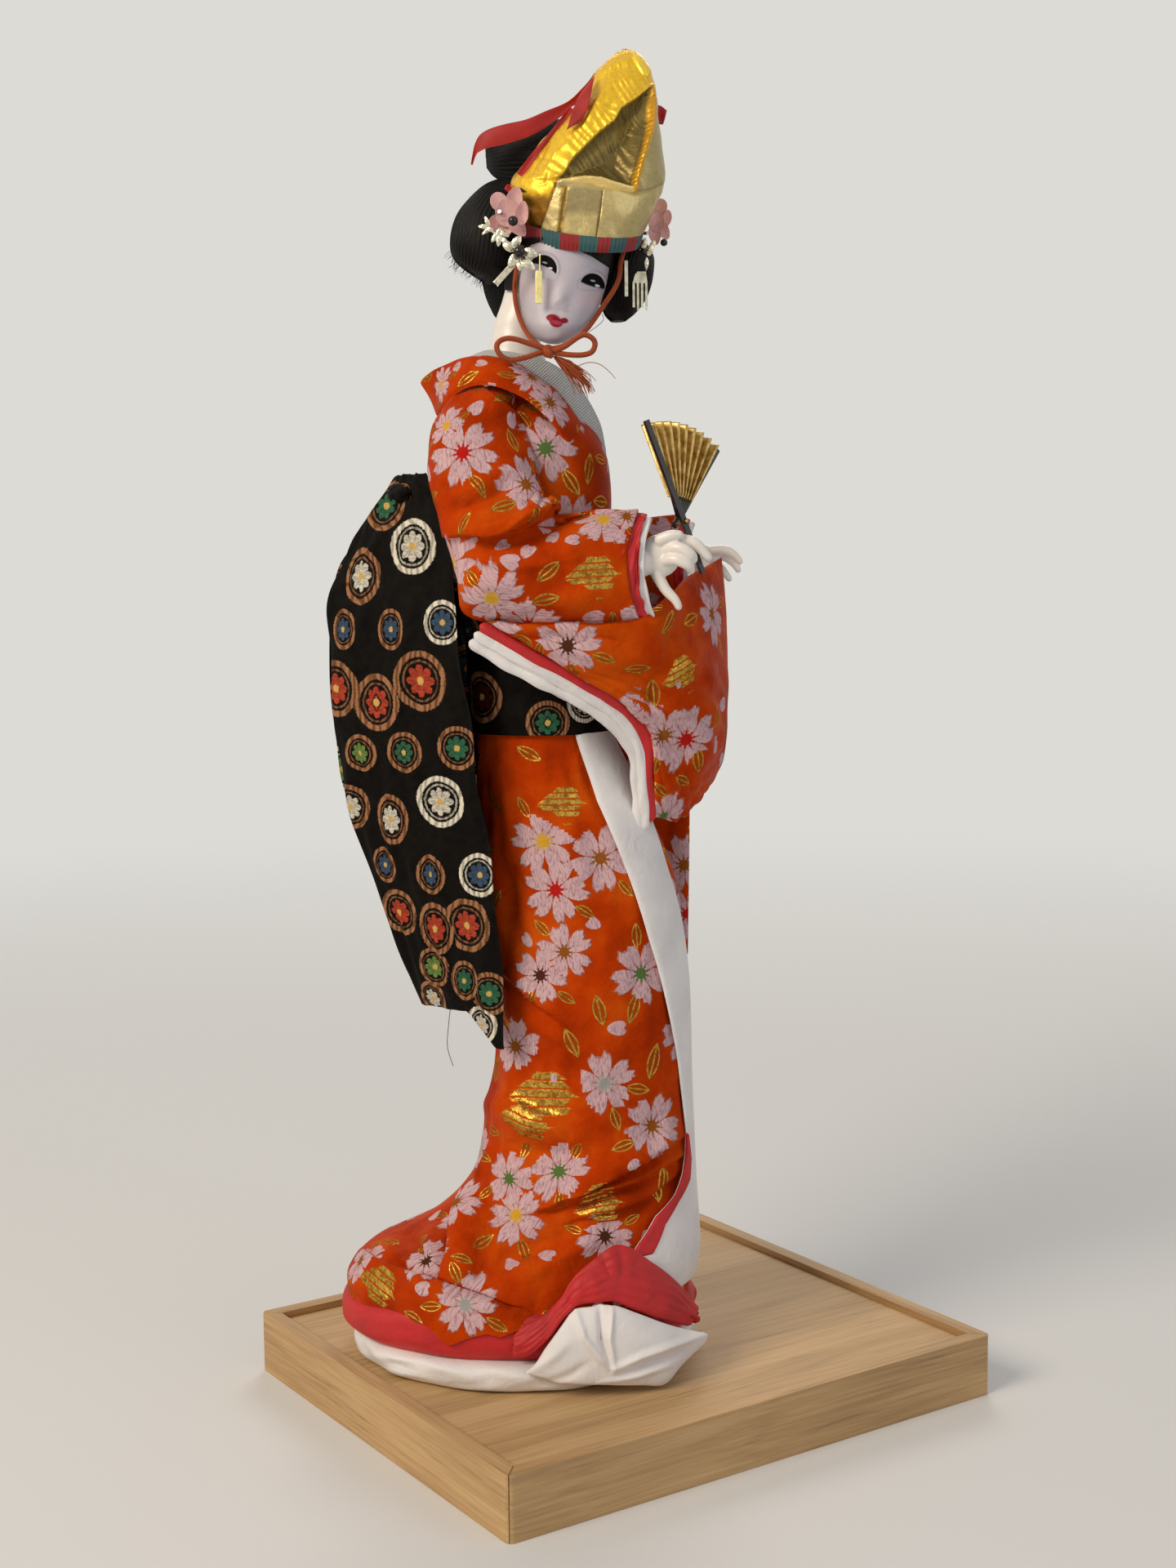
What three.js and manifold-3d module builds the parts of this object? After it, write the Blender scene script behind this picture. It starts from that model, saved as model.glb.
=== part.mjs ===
// A Japanese display doll of a dancer on a wooden stand.
// Millimetres, +Z up. The origin is the middle of the stand's underside, +X runs along its long side.
// The doll stands in a group of its own, turned on the stand: there +X is the way her body faces,
// +Y is her left, and z = 0 is the stand's top panel.
import * as THREE from 'three';
import { mergeVertices } from 'three/addons/utils/BufferGeometryUtils.js';
import Module from 'manifold-3d';

const wasm = await Module();
wasm.setup();

// Driving dimensions of the stand
const standLength = 212;
const standWidth = 181;
const standHeight = 23;
const rimWidth = 6;
const rimLip = 2.5;
const ledgeWidth = 6;
const panelThickness = 5;
const battenWidth = 34;
const battenThickness = 12;
const cornerRound = 2.5;
const gap = 0.3;

// Where the doll stands, and how far she is turned
const dollPlace = new THREE.Vector2(-17.7, 2.3);
const dollTurn = -33.97;
const panelTop = standHeight - rimLip;

// Heights above the panel, and the rises above the sash that the upper body hangs from
const hemHeight = 21;
const waistHeight = 229;
const beltHeight = 58;
const beltTuck = 12;
const elbowRise = 2;
const collarRise = 21;
const pillowRise = 29;
const shoulderRise = 54;
const headRise = 100.5;
const beltTop = waistHeight + beltHeight;
const elbowHeight = beltTop + elbowRise;
const collarFoot = beltTop + collarRise;
const shoulderHeight = beltTop + shoulderRise;

// Cloth and padding
const brocade = 1.4;
const silk = 1;
const foldDepth = 1.6;
const torsoEase = 4;
const ringSides = 22;
const skirtLevels = 9;
const whiteHemHeight = 10;
const whiteHemOval = [-82, 43, -56, 53];
const redHemOval = [-87, 44, -52, 51];
const frontBandWidth = 17;
const frontBandFoot = 0.08;
const collarThickness = 2;
const sleeveSides = 12;
const bagThickness = 2.4;
const cuffX = 25;
const leftCuffX = 44;
const cuffDepth = 11;
const redCuffReach = 1.6;
const whiteCuffReach = 3;
const wristRoom = 1.5;
const cuffClearance = 6;

// Armature
const rodRadius = 2;
const rodSpacing = 22;
const rodX = -4;
const rodReach = 32;
const neckRadius = 9.3;
const stemRadius = 6.5;
const neckX = -24;
const socketDepth = 28;

// Sash
const tailThickness = 2.2;
const pillowX = -55;
const pillowHeight = beltTop + pillowRise;
const pillowRadii = [10, 24, 7];

// Head, in the head's own frame: its middle is z = 0 and the face looks along -Y
const headPlace = new THREE.Vector3(-7, 2, beltTop + headRise);
const headRoll = 12;
const headTurn = 12;
const headTilt = 4;
const hairDepth = 3.4;
const hatWall = 1.2;
const hatHeight = 77;
const hatBottom = 13;
const brimSlope = 16;
const bandHeight = 6;
const bandWall = 1.2;
const ribbonWidth = 9;
const cordRadius = 0.9;

// Hair ornaments
const pinkReach = 7.4;
const silverReach = 5.6;
const petalThickness = 1.2;
const beadRadius = 2.2;
const smallBeadRadius = 1.8;
const pinRadius = 0.7;
const pinLength = 9;
const stripWidth = 2;
const stripLength = 12.5;
const stripThickness = 0.5;
const fringeWidth = 6;
const fringeStrips = 4;
const fringeShare = 0.55;
const fringeShoulder = 4;

// Fan
const guardLength = 37;
const guardWidth = 2.4;
const guardThickness = 1.2;
const fanHandleLength = 19;
const fanAngle = 62;
const leafThickness = 0.9;
const leafInner = 9;
const pleats = 11;
const pleatDepth = 0.8;
const rivetRadius = 0.6;

const v = (x, y, z) => new THREE.Vector3(x, y, z);
const radians = THREE.MathUtils.degToRad;
const lerp = THREE.MathUtils.lerp;

// Solids

/** Makes a geometry from points and triangles, with its faces turned outwards. */
function faceted(points, triangles) {
  const positions = new Float32Array(points.length * 3);
  points.forEach((p, i) => p.toArray(positions, i * 3));
  let volume = 0;
  for (const [a, b, c] of triangles) {
    volume += points[a].dot(v(0, 0, 0).crossVectors(points[b], points[c]));
  }
  const order = volume > 0 ? triangles : triangles.map(([a, b, c]) => [a, c, b]);
  const geometry = new THREE.BufferGeometry();
  geometry.setAttribute('position', new THREE.BufferAttribute(positions, 3));
  geometry.setIndex(order.flat());
  return geometry;
}

/** Joins a stack of rings into a closed body, with a flat fan at each end. */
function loft(rings) {
  const count = rings[0].length;
  const points = rings.flat();
  const triangles = [];
  for (let row = 0; row < rings.length - 1; row += 1) {
    for (let i = 0; i < count; i += 1) {
      const j = (i + 1) % count;
      const [a, b, c, d] = [row * count + i, row * count + j, (row + 1) * count + j, (row + 1) * count + i];
      triangles.push([a, b, c], [a, c, d]);
    }
  }
  for (const [row, turn] of [[0, true], [rings.length - 1, false]]) {
    const middle = v(0, 0, 0);
    rings[row].forEach((p) => middle.addScaledVector(p, 1 / count));
    points.push(middle);
    for (let i = 0; i < count; i += 1) {
      const pair = [row * count + i, row * count + ((i + 1) % count)];
      triangles.push([points.length - 1, ...(turn ? pair.reverse() : pair)]);
    }
  }
  return faceted(points, triangles);
}

/** A sheet with a wall: surface(u, v) is its middle, with u and v from 0 to 1. */
function sheet(surface, columns, rows, thickness, grow = 0) {
  const half = thickness / 2 + grow;
  const step = 1e-3;
  const front = [];
  const back = [];
  for (let j = 0; j <= rows; j += 1) {
    for (let i = 0; i <= columns; i += 1) {
      const [s, t] = [i / columns, j / rows];
      const [s0, s1] = [Math.max(s - step, 0), Math.min(s + step, 1)];
      const [t0, t1] = [Math.max(t - step, 0), Math.min(t + step, 1)];
      const along = surface(s1, t).sub(surface(s0, t));
      const down = surface(s, t1).sub(surface(s, t0));
      const normal = v(0, 0, 0).crossVectors(along, down).normalize();
      const place = surface(s, t);
      if (i === 0 || i === columns) {
        place.addScaledVector(along.normalize(), i === 0 ? -grow : grow);
      }
      if (j === 0 || j === rows) {
        place.addScaledVector(down.normalize(), j === 0 ? -grow : grow);
      }
      front.push(place.clone().addScaledVector(normal, half));
      back.push(place.clone().addScaledVector(normal, -half));
    }
  }
  const wide = columns + 1;
  const offset = front.length;
  const triangles = [];
  const quad = (a, b, c, d) => triangles.push([a, b, c], [a, c, d]);
  for (let j = 0; j < rows; j += 1) {
    for (let i = 0; i < columns; i += 1) {
      const a = j * wide + i;
      quad(a, a + 1, a + 1 + wide, a + wide);
      quad(offset + a, offset + a + wide, offset + a + 1 + wide, offset + a + 1);
    }
  }
  for (let i = 0; i < columns; i += 1) {
    const low = rows * wide + i;
    quad(i + 1, i, offset + i, offset + i + 1);
    quad(low, low + 1, offset + low + 1, offset + low);
  }
  for (let j = 0; j < rows; j += 1) {
    const left = j * wide;
    const right = left + columns;
    quad(left, left + wide, offset + left + wide, offset + left);
    quad(right + wide, right, offset + right, offset + right + wide);
  }
  return faceted([...front, ...back], triangles);
}

/** A round cord or wire along a smooth curve through the points. */
function cord(points, radius, sides, steps, closed = false) {
  const section = new THREE.Shape();
  section.absarc(0, 0, radius, 0, Math.PI * 2);
  const path = new THREE.CatmullRomCurve3(points, closed);
  const section8 = new THREE.Shape(section.getSpacedPoints(sides).slice(0, sides));
  return new THREE.ExtrudeGeometry(section8, { steps, extrudePath: path, bevelEnabled: false });
}

/** A flat plate with the given outline, standing on z = 0. */
function plate(outline, thickness) {
  return new THREE.ExtrudeGeometry(new THREE.Shape(outline), { depth: thickness, bevelEnabled: false });
}

function toSolid(geometry) {
  const bare = geometry.clone();
  bare.deleteAttribute('normal');
  bare.deleteAttribute('uv');
  const merged = mergeVertices(bare, 1e-4);
  return new wasm.Manifold(new wasm.Mesh({
    numProp: 3,
    vertProperties: new Float32Array(merged.attributes.position.array),
    triVerts: new Uint32Array(merged.index.array),
  }));
}

function toGeometry(solid) {
  const mesh = solid.getMesh();
  const geometry = new THREE.BufferGeometry();
  geometry.setAttribute('position', new THREE.BufferAttribute(mesh.vertProperties, 3));
  geometry.setIndex(new THREE.BufferAttribute(mesh.triVerts, 1));
  return geometry;
}

/** Keeps the largest of the loose bodies that a cut leaves. */
function largest(solid) {
  const bodies = solid.decompose();
  return bodies.reduce((a, b) => (b.volume() > a.volume() ? b : a));
}

const cut = (geometry, ...tools) => toGeometry(largest(
  tools.reduce((body, tool) => body.subtract(toSolid(tool)), toSolid(geometry)),
));
const join = (...geometries) => toGeometry(geometries.map(toSolid).reduce((a, b) => a.add(b)));

/** Smooth values between stations, each a list that starts with its own place. */
function between(stations, place) {
  const last = stations.length - 1;
  let i = stations.findIndex((s) => s[0] >= place);
  i = i < 0 ? last - 1 : Math.max(i - 1, 0);
  const [a, b] = [stations[i], stations[i + 1]];
  const [before, after] = [stations[Math.max(i - 1, 0)], stations[Math.min(i + 2, last)]];
  const t = (place - a[0]) / (b[0] - a[0]);
  return a.map((value, k) => {
    const slopeA = (b[k] - before[k]) / (b[0] - before[0]);
    const slopeB = (after[k] - value) / (after[0] - a[0]);
    const span = b[0] - a[0];
    const [t2, t3] = [t * t, t * t * t];
    return (2 * t3 - 3 * t2 + 1) * value + (t3 - 2 * t2 + t) * span * slopeA
      + (3 * t2 - 2 * t3) * b[k] + (t3 - t2) * span * slopeB;
  });
}

/** A level oval ring from a station of height, left, right, near and far edges. */
function oval([height, left, right, near, far], grow = 0, sides = ringSides, place = null) {
  const points = [];
  for (let i = 0; i < sides; i += 1) {
    const angle = (i / sides) * Math.PI * 2;
    const x = (left + right) / 2 + ((right - left) / 2 + grow) * Math.cos(angle);
    const y = (near + far) / 2 + ((far - near) / 2 + grow) * Math.sin(angle);
    points.push(place ? place(x, y, height) : v(x, y, height));
  }
  return points;
}

/** A body through level ovals, grown outwards; its ends reach past the stations. */
function ovalBody(stations, grow = 0, sides = ringSides, levels = stations.length, beyond = grow) {
  const low = stations[0][0];
  const high = stations[stations.length - 1][0];
  const rings = [];
  for (let i = 0; i < levels; i += 1) {
    const station = between(stations, lerp(low, high, i / (levels - 1)));
    if (i === 0) station[0] -= beyond;
    if (i === levels - 1) station[0] += beyond;
    rings.push(oval(station, grow, sides));
  }
  return loft(rings);
}

/** A smooth curve through points given as lists. */
const curve = (points) => new THREE.CatmullRomCurve3(points.map((p) => (p.isVector3 ? p : v(...p))));

function ellipsoid(middle, size, grow, around = 12, rows = 8) {
  const geometry = new THREE.SphereGeometry(1, around, rows);
  geometry.scale(size.x + grow, size.y + grow, size.z + grow);
  return geometry.translate(middle.x, middle.y, middle.z);
}

/** A tapering limb: rings round a path, with a rounded far end unless it is blunt. */
function limb(path, radii, grow = 0, sides = 5, rounded = true) {
  const points = path.map((p) => v(...p));
  const ahead = points.map((p, i) => points[Math.min(i + 1, points.length - 1)].clone()
    .sub(points[Math.max(i - 1, 0)]).normalize());
  const rings = [];
  const ring = (middle, way, radius) => {
    const across = v(0, 1, 0).cross(way);
    if (across.length() < 0.1) across.set(1, 0, 0);
    across.addScaledVector(way, -across.dot(way)).normalize();
    const up = way.clone().cross(across);
    const circle = [];
    for (let k = 0; k < sides; k += 1) {
      const angle = (k / sides) * Math.PI * 2;
      circle.push(middle.clone().addScaledVector(across, radius * Math.cos(angle))
        .addScaledVector(up, radius * Math.sin(angle)));
    }
    rings.push(circle);
  };
  points[0].addScaledVector(ahead[0], -grow);
  points.forEach((p, i) => ring(p, ahead[i], radii[i] + grow));
  if (rounded) {
    const tip = points.length - 1;
    for (const [forward, share] of [[0.55, 0.83], [0.9, 0.45]]) {
      const reach = radii[tip] + grow;
      ring(points[tip].clone().addScaledVector(ahead[tip], reach * forward), ahead[tip], reach * share);
    }
  }
  return loft(rings);
}

/** Adds a named piece to a group. */
function piece(group, name, geometry, color, roughness, metalness = 0) {
  const mesh = new THREE.Mesh(geometry, new THREE.MeshStandardMaterial({ color, roughness, metalness }));
  mesh.name = name;
  group.add(mesh);
  return mesh;
}

// Colours, with roughness and metalness
const wood = ['#b08e5c', 0.7];
const orange = ['#d8400f', 0.45];
const red = ['#c4202c', 0.5];
const white = ['#e9e6e2', 0.6];
const black = ['#17130f', 0.6];
const gold = ['#d9a528', 0.25, 0.9];
const silver = ['#c9ccd0', 0.2, 1];
const steel = ['#8c8f94', 0.4, 0.9];
const hairBlack = ['#0c0b0d', 0.35];
const skin = ['#ded9dc', 0.3];
const pink = ['#e39a92', 0.5];
const straw = ['#c9b178', 0.9];
const chinCord = ['#c9551a', 0.6];
const lacquer = ['#15100d', 0.3];

const root = new THREE.Group();

// The stand: four mitred rails with a ledge, a panel let in on it, and two battens under the panel

const stand = new THREE.Group();
root.add(stand);

/** One rail, its length along X, outside face at y = 0, with a ledge for the panel. */
function rail(length) {
  const section = [
    v(0, 0, 0), v(0, rimWidth + ledgeWidth, 0),
    v(0, rimWidth + ledgeWidth, standHeight - rimLip - panelThickness - gap),
    v(0, rimWidth, standHeight - rimLip - panelThickness - gap),
    v(0, rimWidth, standHeight), v(0, 0, standHeight),
  ];
  const ends = [-1, 1].map((side) => section.map((p) => v(side * (length / 2 - p.y - gap / 2), p.y, p.z)));
  const points = ends.flat();
  const n = section.length;
  const triangles = [];
  for (let i = 0; i < n; i += 1) {
    const j = (i + 1) % n;
    triangles.push([i, j, n + j], [i, n + j, n + i]);
  }
  for (const corners of [[0, 1, 2], [0, 2, 3], [0, 3, 4], [0, 4, 5]]) {
    triangles.push([corners[0], corners[2], corners[1]], corners.map((k) => k + n));
  }
  return faceted(points, triangles);
}

const sides = [
  ['front', standLength, 0, -standWidth / 2, 0],
  ['right', standWidth, standLength / 2, 0, 90],
  ['back', standLength, 0, standWidth / 2, 180],
  ['left', standWidth, -standLength / 2, 0, 270],
];
for (const [name, length, x, y, turn] of sides) {
  let body = toSolid(rail(length));
  for (const side of [-1, 1]) {
    const block = new THREE.BoxGeometry(cornerRound, cornerRound, standHeight * 2);
    block.translate(side * (length / 2 - cornerRound / 2), cornerRound / 2, standHeight / 2);
    const round = new THREE.CylinderGeometry(cornerRound, cornerRound, standHeight * 3, 20);
    round.rotateX(Math.PI / 2);
    round.translate(side * (length / 2 - cornerRound), cornerRound, standHeight / 2);
    body = body.subtract(toSolid(block).subtract(toSolid(round)));
  }
  const mesh = piece(stand, `stand_${name}_rail`, toGeometry(largest(body)), ...wood);
  mesh.position.set(x, y, 0);
  mesh.rotation.z = radians(turn);
}

// Wires that carry the doll run down through the panel into the front-to-back batten
const dollSpin = new THREE.Matrix4().makeRotationZ(radians(dollTurn));
const onStand = (x, y) => v(x, y, 0).applyMatrix4(dollSpin).add(v(dollPlace.x, dollPlace.y, 0));
const rodPlaces = [-1, 1].map((side) => [rodX, (side * rodSpacing) / 2]);
const rodHoles = rodPlaces.map(([x, y]) => {
  const hole = new THREE.CylinderGeometry(rodRadius + gap, rodRadius + gap, standHeight * 4, 8);
  const place = onStand(x, y);
  return hole.rotateX(Math.PI / 2).translate(place.x, place.y, 0);
});

const panelLength = standLength - 2 * (rimWidth + gap);
const panelWidth = standWidth - 2 * (rimWidth + gap);
const panel = new THREE.BoxGeometry(panelLength, panelWidth, panelThickness);
panel.translate(0, 0, panelTop - panelThickness / 2);
piece(stand, 'stand_panel', cut(panel, ...rodHoles), ...wood);

const battenSpan = standWidth - 2 * (rimWidth + ledgeWidth + gap);
const batten = new THREE.BoxGeometry(battenWidth, battenSpan, battenThickness);
const battenPlace = onStand(rodX, 0);
batten.translate(battenPlace.x, 0, panelTop - panelThickness - gap - battenThickness / 2);
piece(stand, 'stand_batten', cut(batten, ...rodHoles), ...wood);

// The doll

const doll = new THREE.Group();
doll.position.set(dollPlace.x, dollPlace.y, panelTop);
doll.rotation.z = radians(dollTurn);
root.add(doll);

const rodBottom = -panelThickness - battenThickness + gap;
const rodTop = waistHeight + rodReach;
rodPlaces.forEach(([x, y], i) => {
  const rod = new THREE.CylinderGeometry(rodRadius, rodRadius, rodTop - rodBottom, 8);
  rod.rotateX(Math.PI / 2).translate(x, y, (rodTop + rodBottom) / 2);
  piece(doll, `leg_wire_${['right', 'left'][i]}`, rod, ...steel);
});
const legHoles = rodPlaces.map(([x, y]) => {
  const hole = new THREE.CylinderGeometry(rodRadius + gap, rodRadius + gap, rodTop * 2 + gap * 2, 8);
  return hole.rotateX(Math.PI / 2).translate(x, y, 0);
});

// Skirt of the kimono: height, left, right, near and far edges of the cloth.
// The back of it trails to the left as a train.
const skirtStations = [
  [hemHeight, -85, 42, -50, 49],
  [hemHeight + 8, -85, 44, -48, 47],
  [hemHeight + 17, -76, 46, -44, 43],
  [hemHeight + 28, -52, 46.5, -37, 37],
  [hemHeight + 46, -37, 46.5, -32, 32],
  [hemHeight + 80, -30, 46, -29, 29],
  [hemHeight + 122, -31, 44.5, -28, 27],
  [hemHeight + 152, -33, 38.5, -26, 25],
  [hemHeight + 180, -34, 28, -23, 22.5],
  [waistHeight, -34.5, 13.5, -20.5, 20.5],
  [waistHeight + beltTuck, -34.5, 12.5, -20, 20],
];
const skirtLow = hemHeight;
const skirtHigh = waistHeight + beltTuck;

/** Radial folds of the skirt's cloth: deep at the hem, none at the waist. */
function skirtFold(angle, share) {
  const depth = foldDepth * (1 - share) ** 1.5;
  return depth * (Math.sin(5 * angle + 2.4 * share) + 0.5 * Math.sin(9 * angle - 3 * share));
}

/** A point on the skirt: angle round it from +X, share of the way up, distance out from the cloth. */
function skirtPoint(angle, share, out = 0) {
  const [height, left, right, near, far] = between(skirtStations, lerp(skirtLow, skirtHigh, share));
  const reach = out + skirtFold(angle, share);
  return v(
    (left + right) / 2 + ((right - left) / 2 + reach) * Math.cos(angle),
    (near + far) / 2 + ((far - near) / 2 + reach) * Math.sin(angle),
    height,
  );
}

/** The skirt's outline as a body, moved out by a distance and carried straight on past both ends. */
function skirtBody(out, beyond) {
  const rings = [];
  for (let i = 0; i <= skirtLevels; i += 1) {
    const ring = [];
    for (let k = 0; k < ringSides; k += 1) {
      ring.push(skirtPoint((k / ringSides) * Math.PI * 2, i / skirtLevels, out));
    }
    rings.push(ring);
  }
  if (beyond > 0) {
    rings.unshift(rings[0].map((p) => p.clone().setZ(p.z - beyond)));
    rings.push(rings[rings.length - 1].map((p) => p.clone().setZ(p.z + beyond)));
  }
  return loft(rings);
}

piece(doll, 'skirt', cut(skirtBody(0, 0), skirtBody(-brocade, beltTuck)), ...orange);
const waddingCore = skirtBody(-brocade - 2 * gap, 0);
piece(doll, 'skirt_wadding', cut(waddingCore, ...legHoles), ...straw);

// Padded hems: the white under-kimono's lies on the panel, the red lining's on top of it

/** A flat padded oval with a round edge, its top and bottom at the given heights. */
function hemPad([left, right, near, far], low, high, grow = 0) {
  const middle = (low + high) / 2;
  const bulge = (high - low) / 2;
  const stations = [
    [low - grow, bulge], [lerp(low, middle, 0.5), bulge * 0.25], [middle, 0],
    [lerp(middle, high, 0.5), bulge * 0.2], [high + grow, bulge * 0.8],
  ];
  return loft(stations.map(([height, inset]) => oval(
    [height, left + inset, right - inset, near + inset, far - inset], grow,
  )));
}
const redLow = whiteHemHeight + gap;
const redHigh = hemHeight - gap;
const whiteHem = (grow) => hemPad(whiteHemOval, 0, whiteHemHeight, grow);
const redHem = (grow) => hemPad(redHemOval, redLow, redHigh, grow);
piece(doll, 'white_hem', cut(whiteHem(0), ...legHoles), ...white);
piece(doll, 'red_hem', cut(redHem(0), ...legHoles), ...red);

// White edge of the under-kimono, which shows down the front opening
const frontBandAngles = [
  [0, -12], [0.12, -12], [0.3, -16], [0.5, -23], [0.65, -31], [0.78, -40], [0.88, -46], [1, -44],
];

/** The band of white silk lying on the skirt along its front edge. */
function frontBand(grow) {
  const top = (waistHeight - gap - skirtLow) / (skirtHigh - skirtLow);
  const surface = (s, t) => {
    const share = lerp(top, frontBandFoot, t);
    const [, middle] = between(frontBandAngles, share);
    const [, left, right] = between(skirtStations, lerp(skirtLow, skirtHigh, share));
    const swing = ((s - 0.5) * frontBandWidth) / ((right - left) / 2);
    return skirtPoint(radians(middle) + swing, share, silk / 2 + 3 * gap);
  };
  return sheet(surface, 3, 12, silk, grow);
}
piece(doll, 'front_band', cut(frontBand(0), skirtBody(gap, 0)), ...white);

// Lower front corner: the red lining turned out over the crumpled white hem
const flapTop = curve([[-2, -48, 21], [12, -47, 41], [28, -40, 45], [46, -27, 26]]);
const flapFoot = curve([[-6, -51, 13], [14, -51, 20], [29, -45, 19], [43, -33, 14]]);
const flapSurface = (s, t) => flapTop.getPoint(s).lerp(flapFoot.getPoint(s), t);
const redFlap = (grow) => sheet(flapSurface, 8, 4, silk, grow);
piece(doll, 'red_front_flap', cut(redFlap(0), skirtBody(gap, 0), redHem(gap), frontBand(gap)), ...red);

/** The white hem's crumpled corner: a low wedge whose rings run from left to right. */
function whiteCorner() {
  const rings = [[-14, 4, -57], [4, 15, -59], [18, 25, -58], [34, 19, -51], [44, 12, -36], [56, 5, -12]];
  return loft(rings.map(([x, top, near]) => [
    v(x, near, gap), v(x - 3, near + 4, top * 0.55), v(x - 4, near + 9, top),
    v(x - 8, near + 20, top * 0.7), v(x - 10, near + 26, gap),
  ]));
}
piece(doll, 'white_front_fold', cut(
  whiteCorner(), skirtBody(gap, 0), redHem(gap), whiteHem(gap), redFlap(gap), frontBand(gap),
), ...white);

// Bodice, with the straw torso inside it: height, left, right, near and far edges
const bodiceLow = waistHeight + beltTuck + 2;
const bodiceStations = [
  [bodiceLow, -34, 12, -20, 20],
  [beltTop - 20, -35.5, 12.5, -21.5, 21.5],
  [beltTop + 4, -38.5, 13, -24.5, 24.5],
  [beltTop + 28, -43.5, 13, -28, 28],
  [beltTop + 44, -45, 10, -29, 29],
  [shoulderHeight, -42, 3, -25, 25],
  [shoulderHeight + 9, -37, -8, -16, 16],
];
const bodice = (out) => ovalBody(bodiceStations, out, ringSides, 7);

/** The collar's edges run from the front of the near side round the nape to the far side. */
function mirroredCurve(points) {
  const far = points.slice(0, -1).reverse().map(([x, y, z]) => [x, -y, z]);
  return curve([...points, ...far]);
}
const collarInner = mirroredCurve([
  [12, -1.5, collarFoot + 8], [9.9, -6, collarFoot + 20], [5, -9, collarFoot + 29],
  [-2.3, -13, collarFoot + 42], [-12.5, -17, collarFoot + 49], [-27, -20, collarFoot + 54.5],
  [-40.4, -17, collarFoot + 56], [-48, -11, collarFoot + 53], [-54.6, 0, collarFoot + 46.5],
]);
const collarOuter = mirroredCurve([
  [11, -6, collarFoot], [8, -15, collarFoot + 8], [2, -19, collarFoot + 19],
  [-4, -22, collarFoot + 29], [-15.6, -27, collarFoot + 40], [-30, -28.5, collarFoot + 45.5],
  [-42, -23, collarFoot + 42], [-49.5, -13, collarFoot + 37], [-52, 0, collarFoot + 34],
]);

/** A collar band: inward moves it towards the neck, and rise lifts its inner edge. */
function collarSheet(inward, rise, thickness, grow) {
  const surface = (s, t) => {
    const place = collarInner.getPoint(s).lerp(collarOuter.getPoint(s), t);
    const towards = v(neckX - place.x, -place.y, 0).normalize();
    return place.addScaledVector(towards, inward).add(v(0, 0, rise * (1 - t)));
  };
  return sheet(surface, 16, 2, thickness, grow);
}
const collar = (grow) => collarSheet(0, 0, collarThickness, grow);
const underCollar = (grow) => collarSheet(collarThickness + gap, 2, silk, grow);
piece(doll, 'kimono_collar', collar(0), ...orange);
piece(doll, 'under_collar', cut(underCollar(0), collar(gap)), ...white);

const neckSocket = new THREE.CylinderGeometry(stemRadius + gap, stemRadius + gap, socketDepth * 2, 16);
neckSocket.rotateX(Math.PI / 2).translate(neckX, 0, shoulderHeight + 9);
piece(doll, 'bodice', cut(
  bodice(0), ovalBody(bodiceStations, -brocade, sleeveSides, 7, brocade),
  collar(gap), underCollar(gap), neckSocket,
), ...orange);
const torsoForm = ovalBody(bodiceStations, -brocade - torsoEase, sleeveSides, 7);
piece(doll, 'torso', cut(torsoForm, neckSocket, ...legHoles), ...straw);

// The obi: a stiff black sash wound round the waist, a pillow behind it and two hanging tails
function belt(grow) {
  return ovalBody([
    [waistHeight + gap, -36.4, 15.4, -22.4, 22.4],
    [waistHeight + beltHeight * 0.5, -37.5, 15.4, -23.4, 23.4],
    [beltTop, -40.4, 15.6, -26.6, 26.6],
  ], grow, ringSides, 4);
}
piece(doll, 'sash_belt', cut(belt(0), skirtBody(gap, 0), skirtBody(-brocade, beltTuck), bodice(gap)), ...black);

const pillow = (grow) => ellipsoid(v(pillowX, 0, pillowHeight), v(...pillowRadii), grow);
const tailNear = curve([
  [-50, -23, pillowHeight + 6], [-41, -31, pillowHeight - 13], [-39, -33, pillowHeight - 54],
  [-34, -32, pillowHeight - 95], [-27, -31, pillowHeight - 144], [-24.5, -30, pillowHeight - 202],
]);
const tailFold = curve([
  [-62, -3, pillowHeight + 6], [-76, -2, pillowHeight - 14], [-88, -1, pillowHeight - 43],
  [-86, -1, pillowHeight - 90], [-78, -1, pillowHeight - 128], [-57, -1, pillowHeight - 188],
]);

/** One tail of the sash, from its edge beside the body out to the fold; side is -1 near, 1 far. */
function tail(side, grow) {
  const surface = (s, t) => {
    const edge = tailNear.getPoint(t);
    const fold = tailFold.getPoint(t);
    const place = edge.lerp(fold, s);
    place.x -= 3 * Math.sin(Math.PI * s);
    place.y *= -side;
    return place;
  };
  return sheet(surface, 6, 10, tailThickness, grow);
}
piece(doll, 'sash_pillow', cut(pillow(0), bodice(gap), tail(-1, gap), tail(1, gap), belt(gap)), ...black);
piece(doll, 'sash_tail_right', cut(tail(-1, 0), bodice(gap), belt(gap)), ...black);
piece(doll, 'sash_tail_left', cut(tail(1, 0), bodice(gap), belt(gap), tail(-1, gap)), ...black);

// Sleeves: an upper arm and a forearm, with the long hanging bag of a dancer's kimono

/** A body along X through sections of place, low, high, near and far edges. */
function sideways(stations, grow, sidesRound, levels) {
  const [low, high] = [stations[0][0], stations[stations.length - 1][0]];
  const rings = [];
  for (let i = 0; i < levels; i += 1) {
    const station = between(stations, lerp(low, high, i / (levels - 1)));
    if (i === 0) station[0] -= grow;
    if (i === levels - 1) station[0] += grow;
    rings.push(oval(station, grow, sidesRound, (a, b, along) => v(along, b, a)));
  }
  return loft(rings);
}

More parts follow.
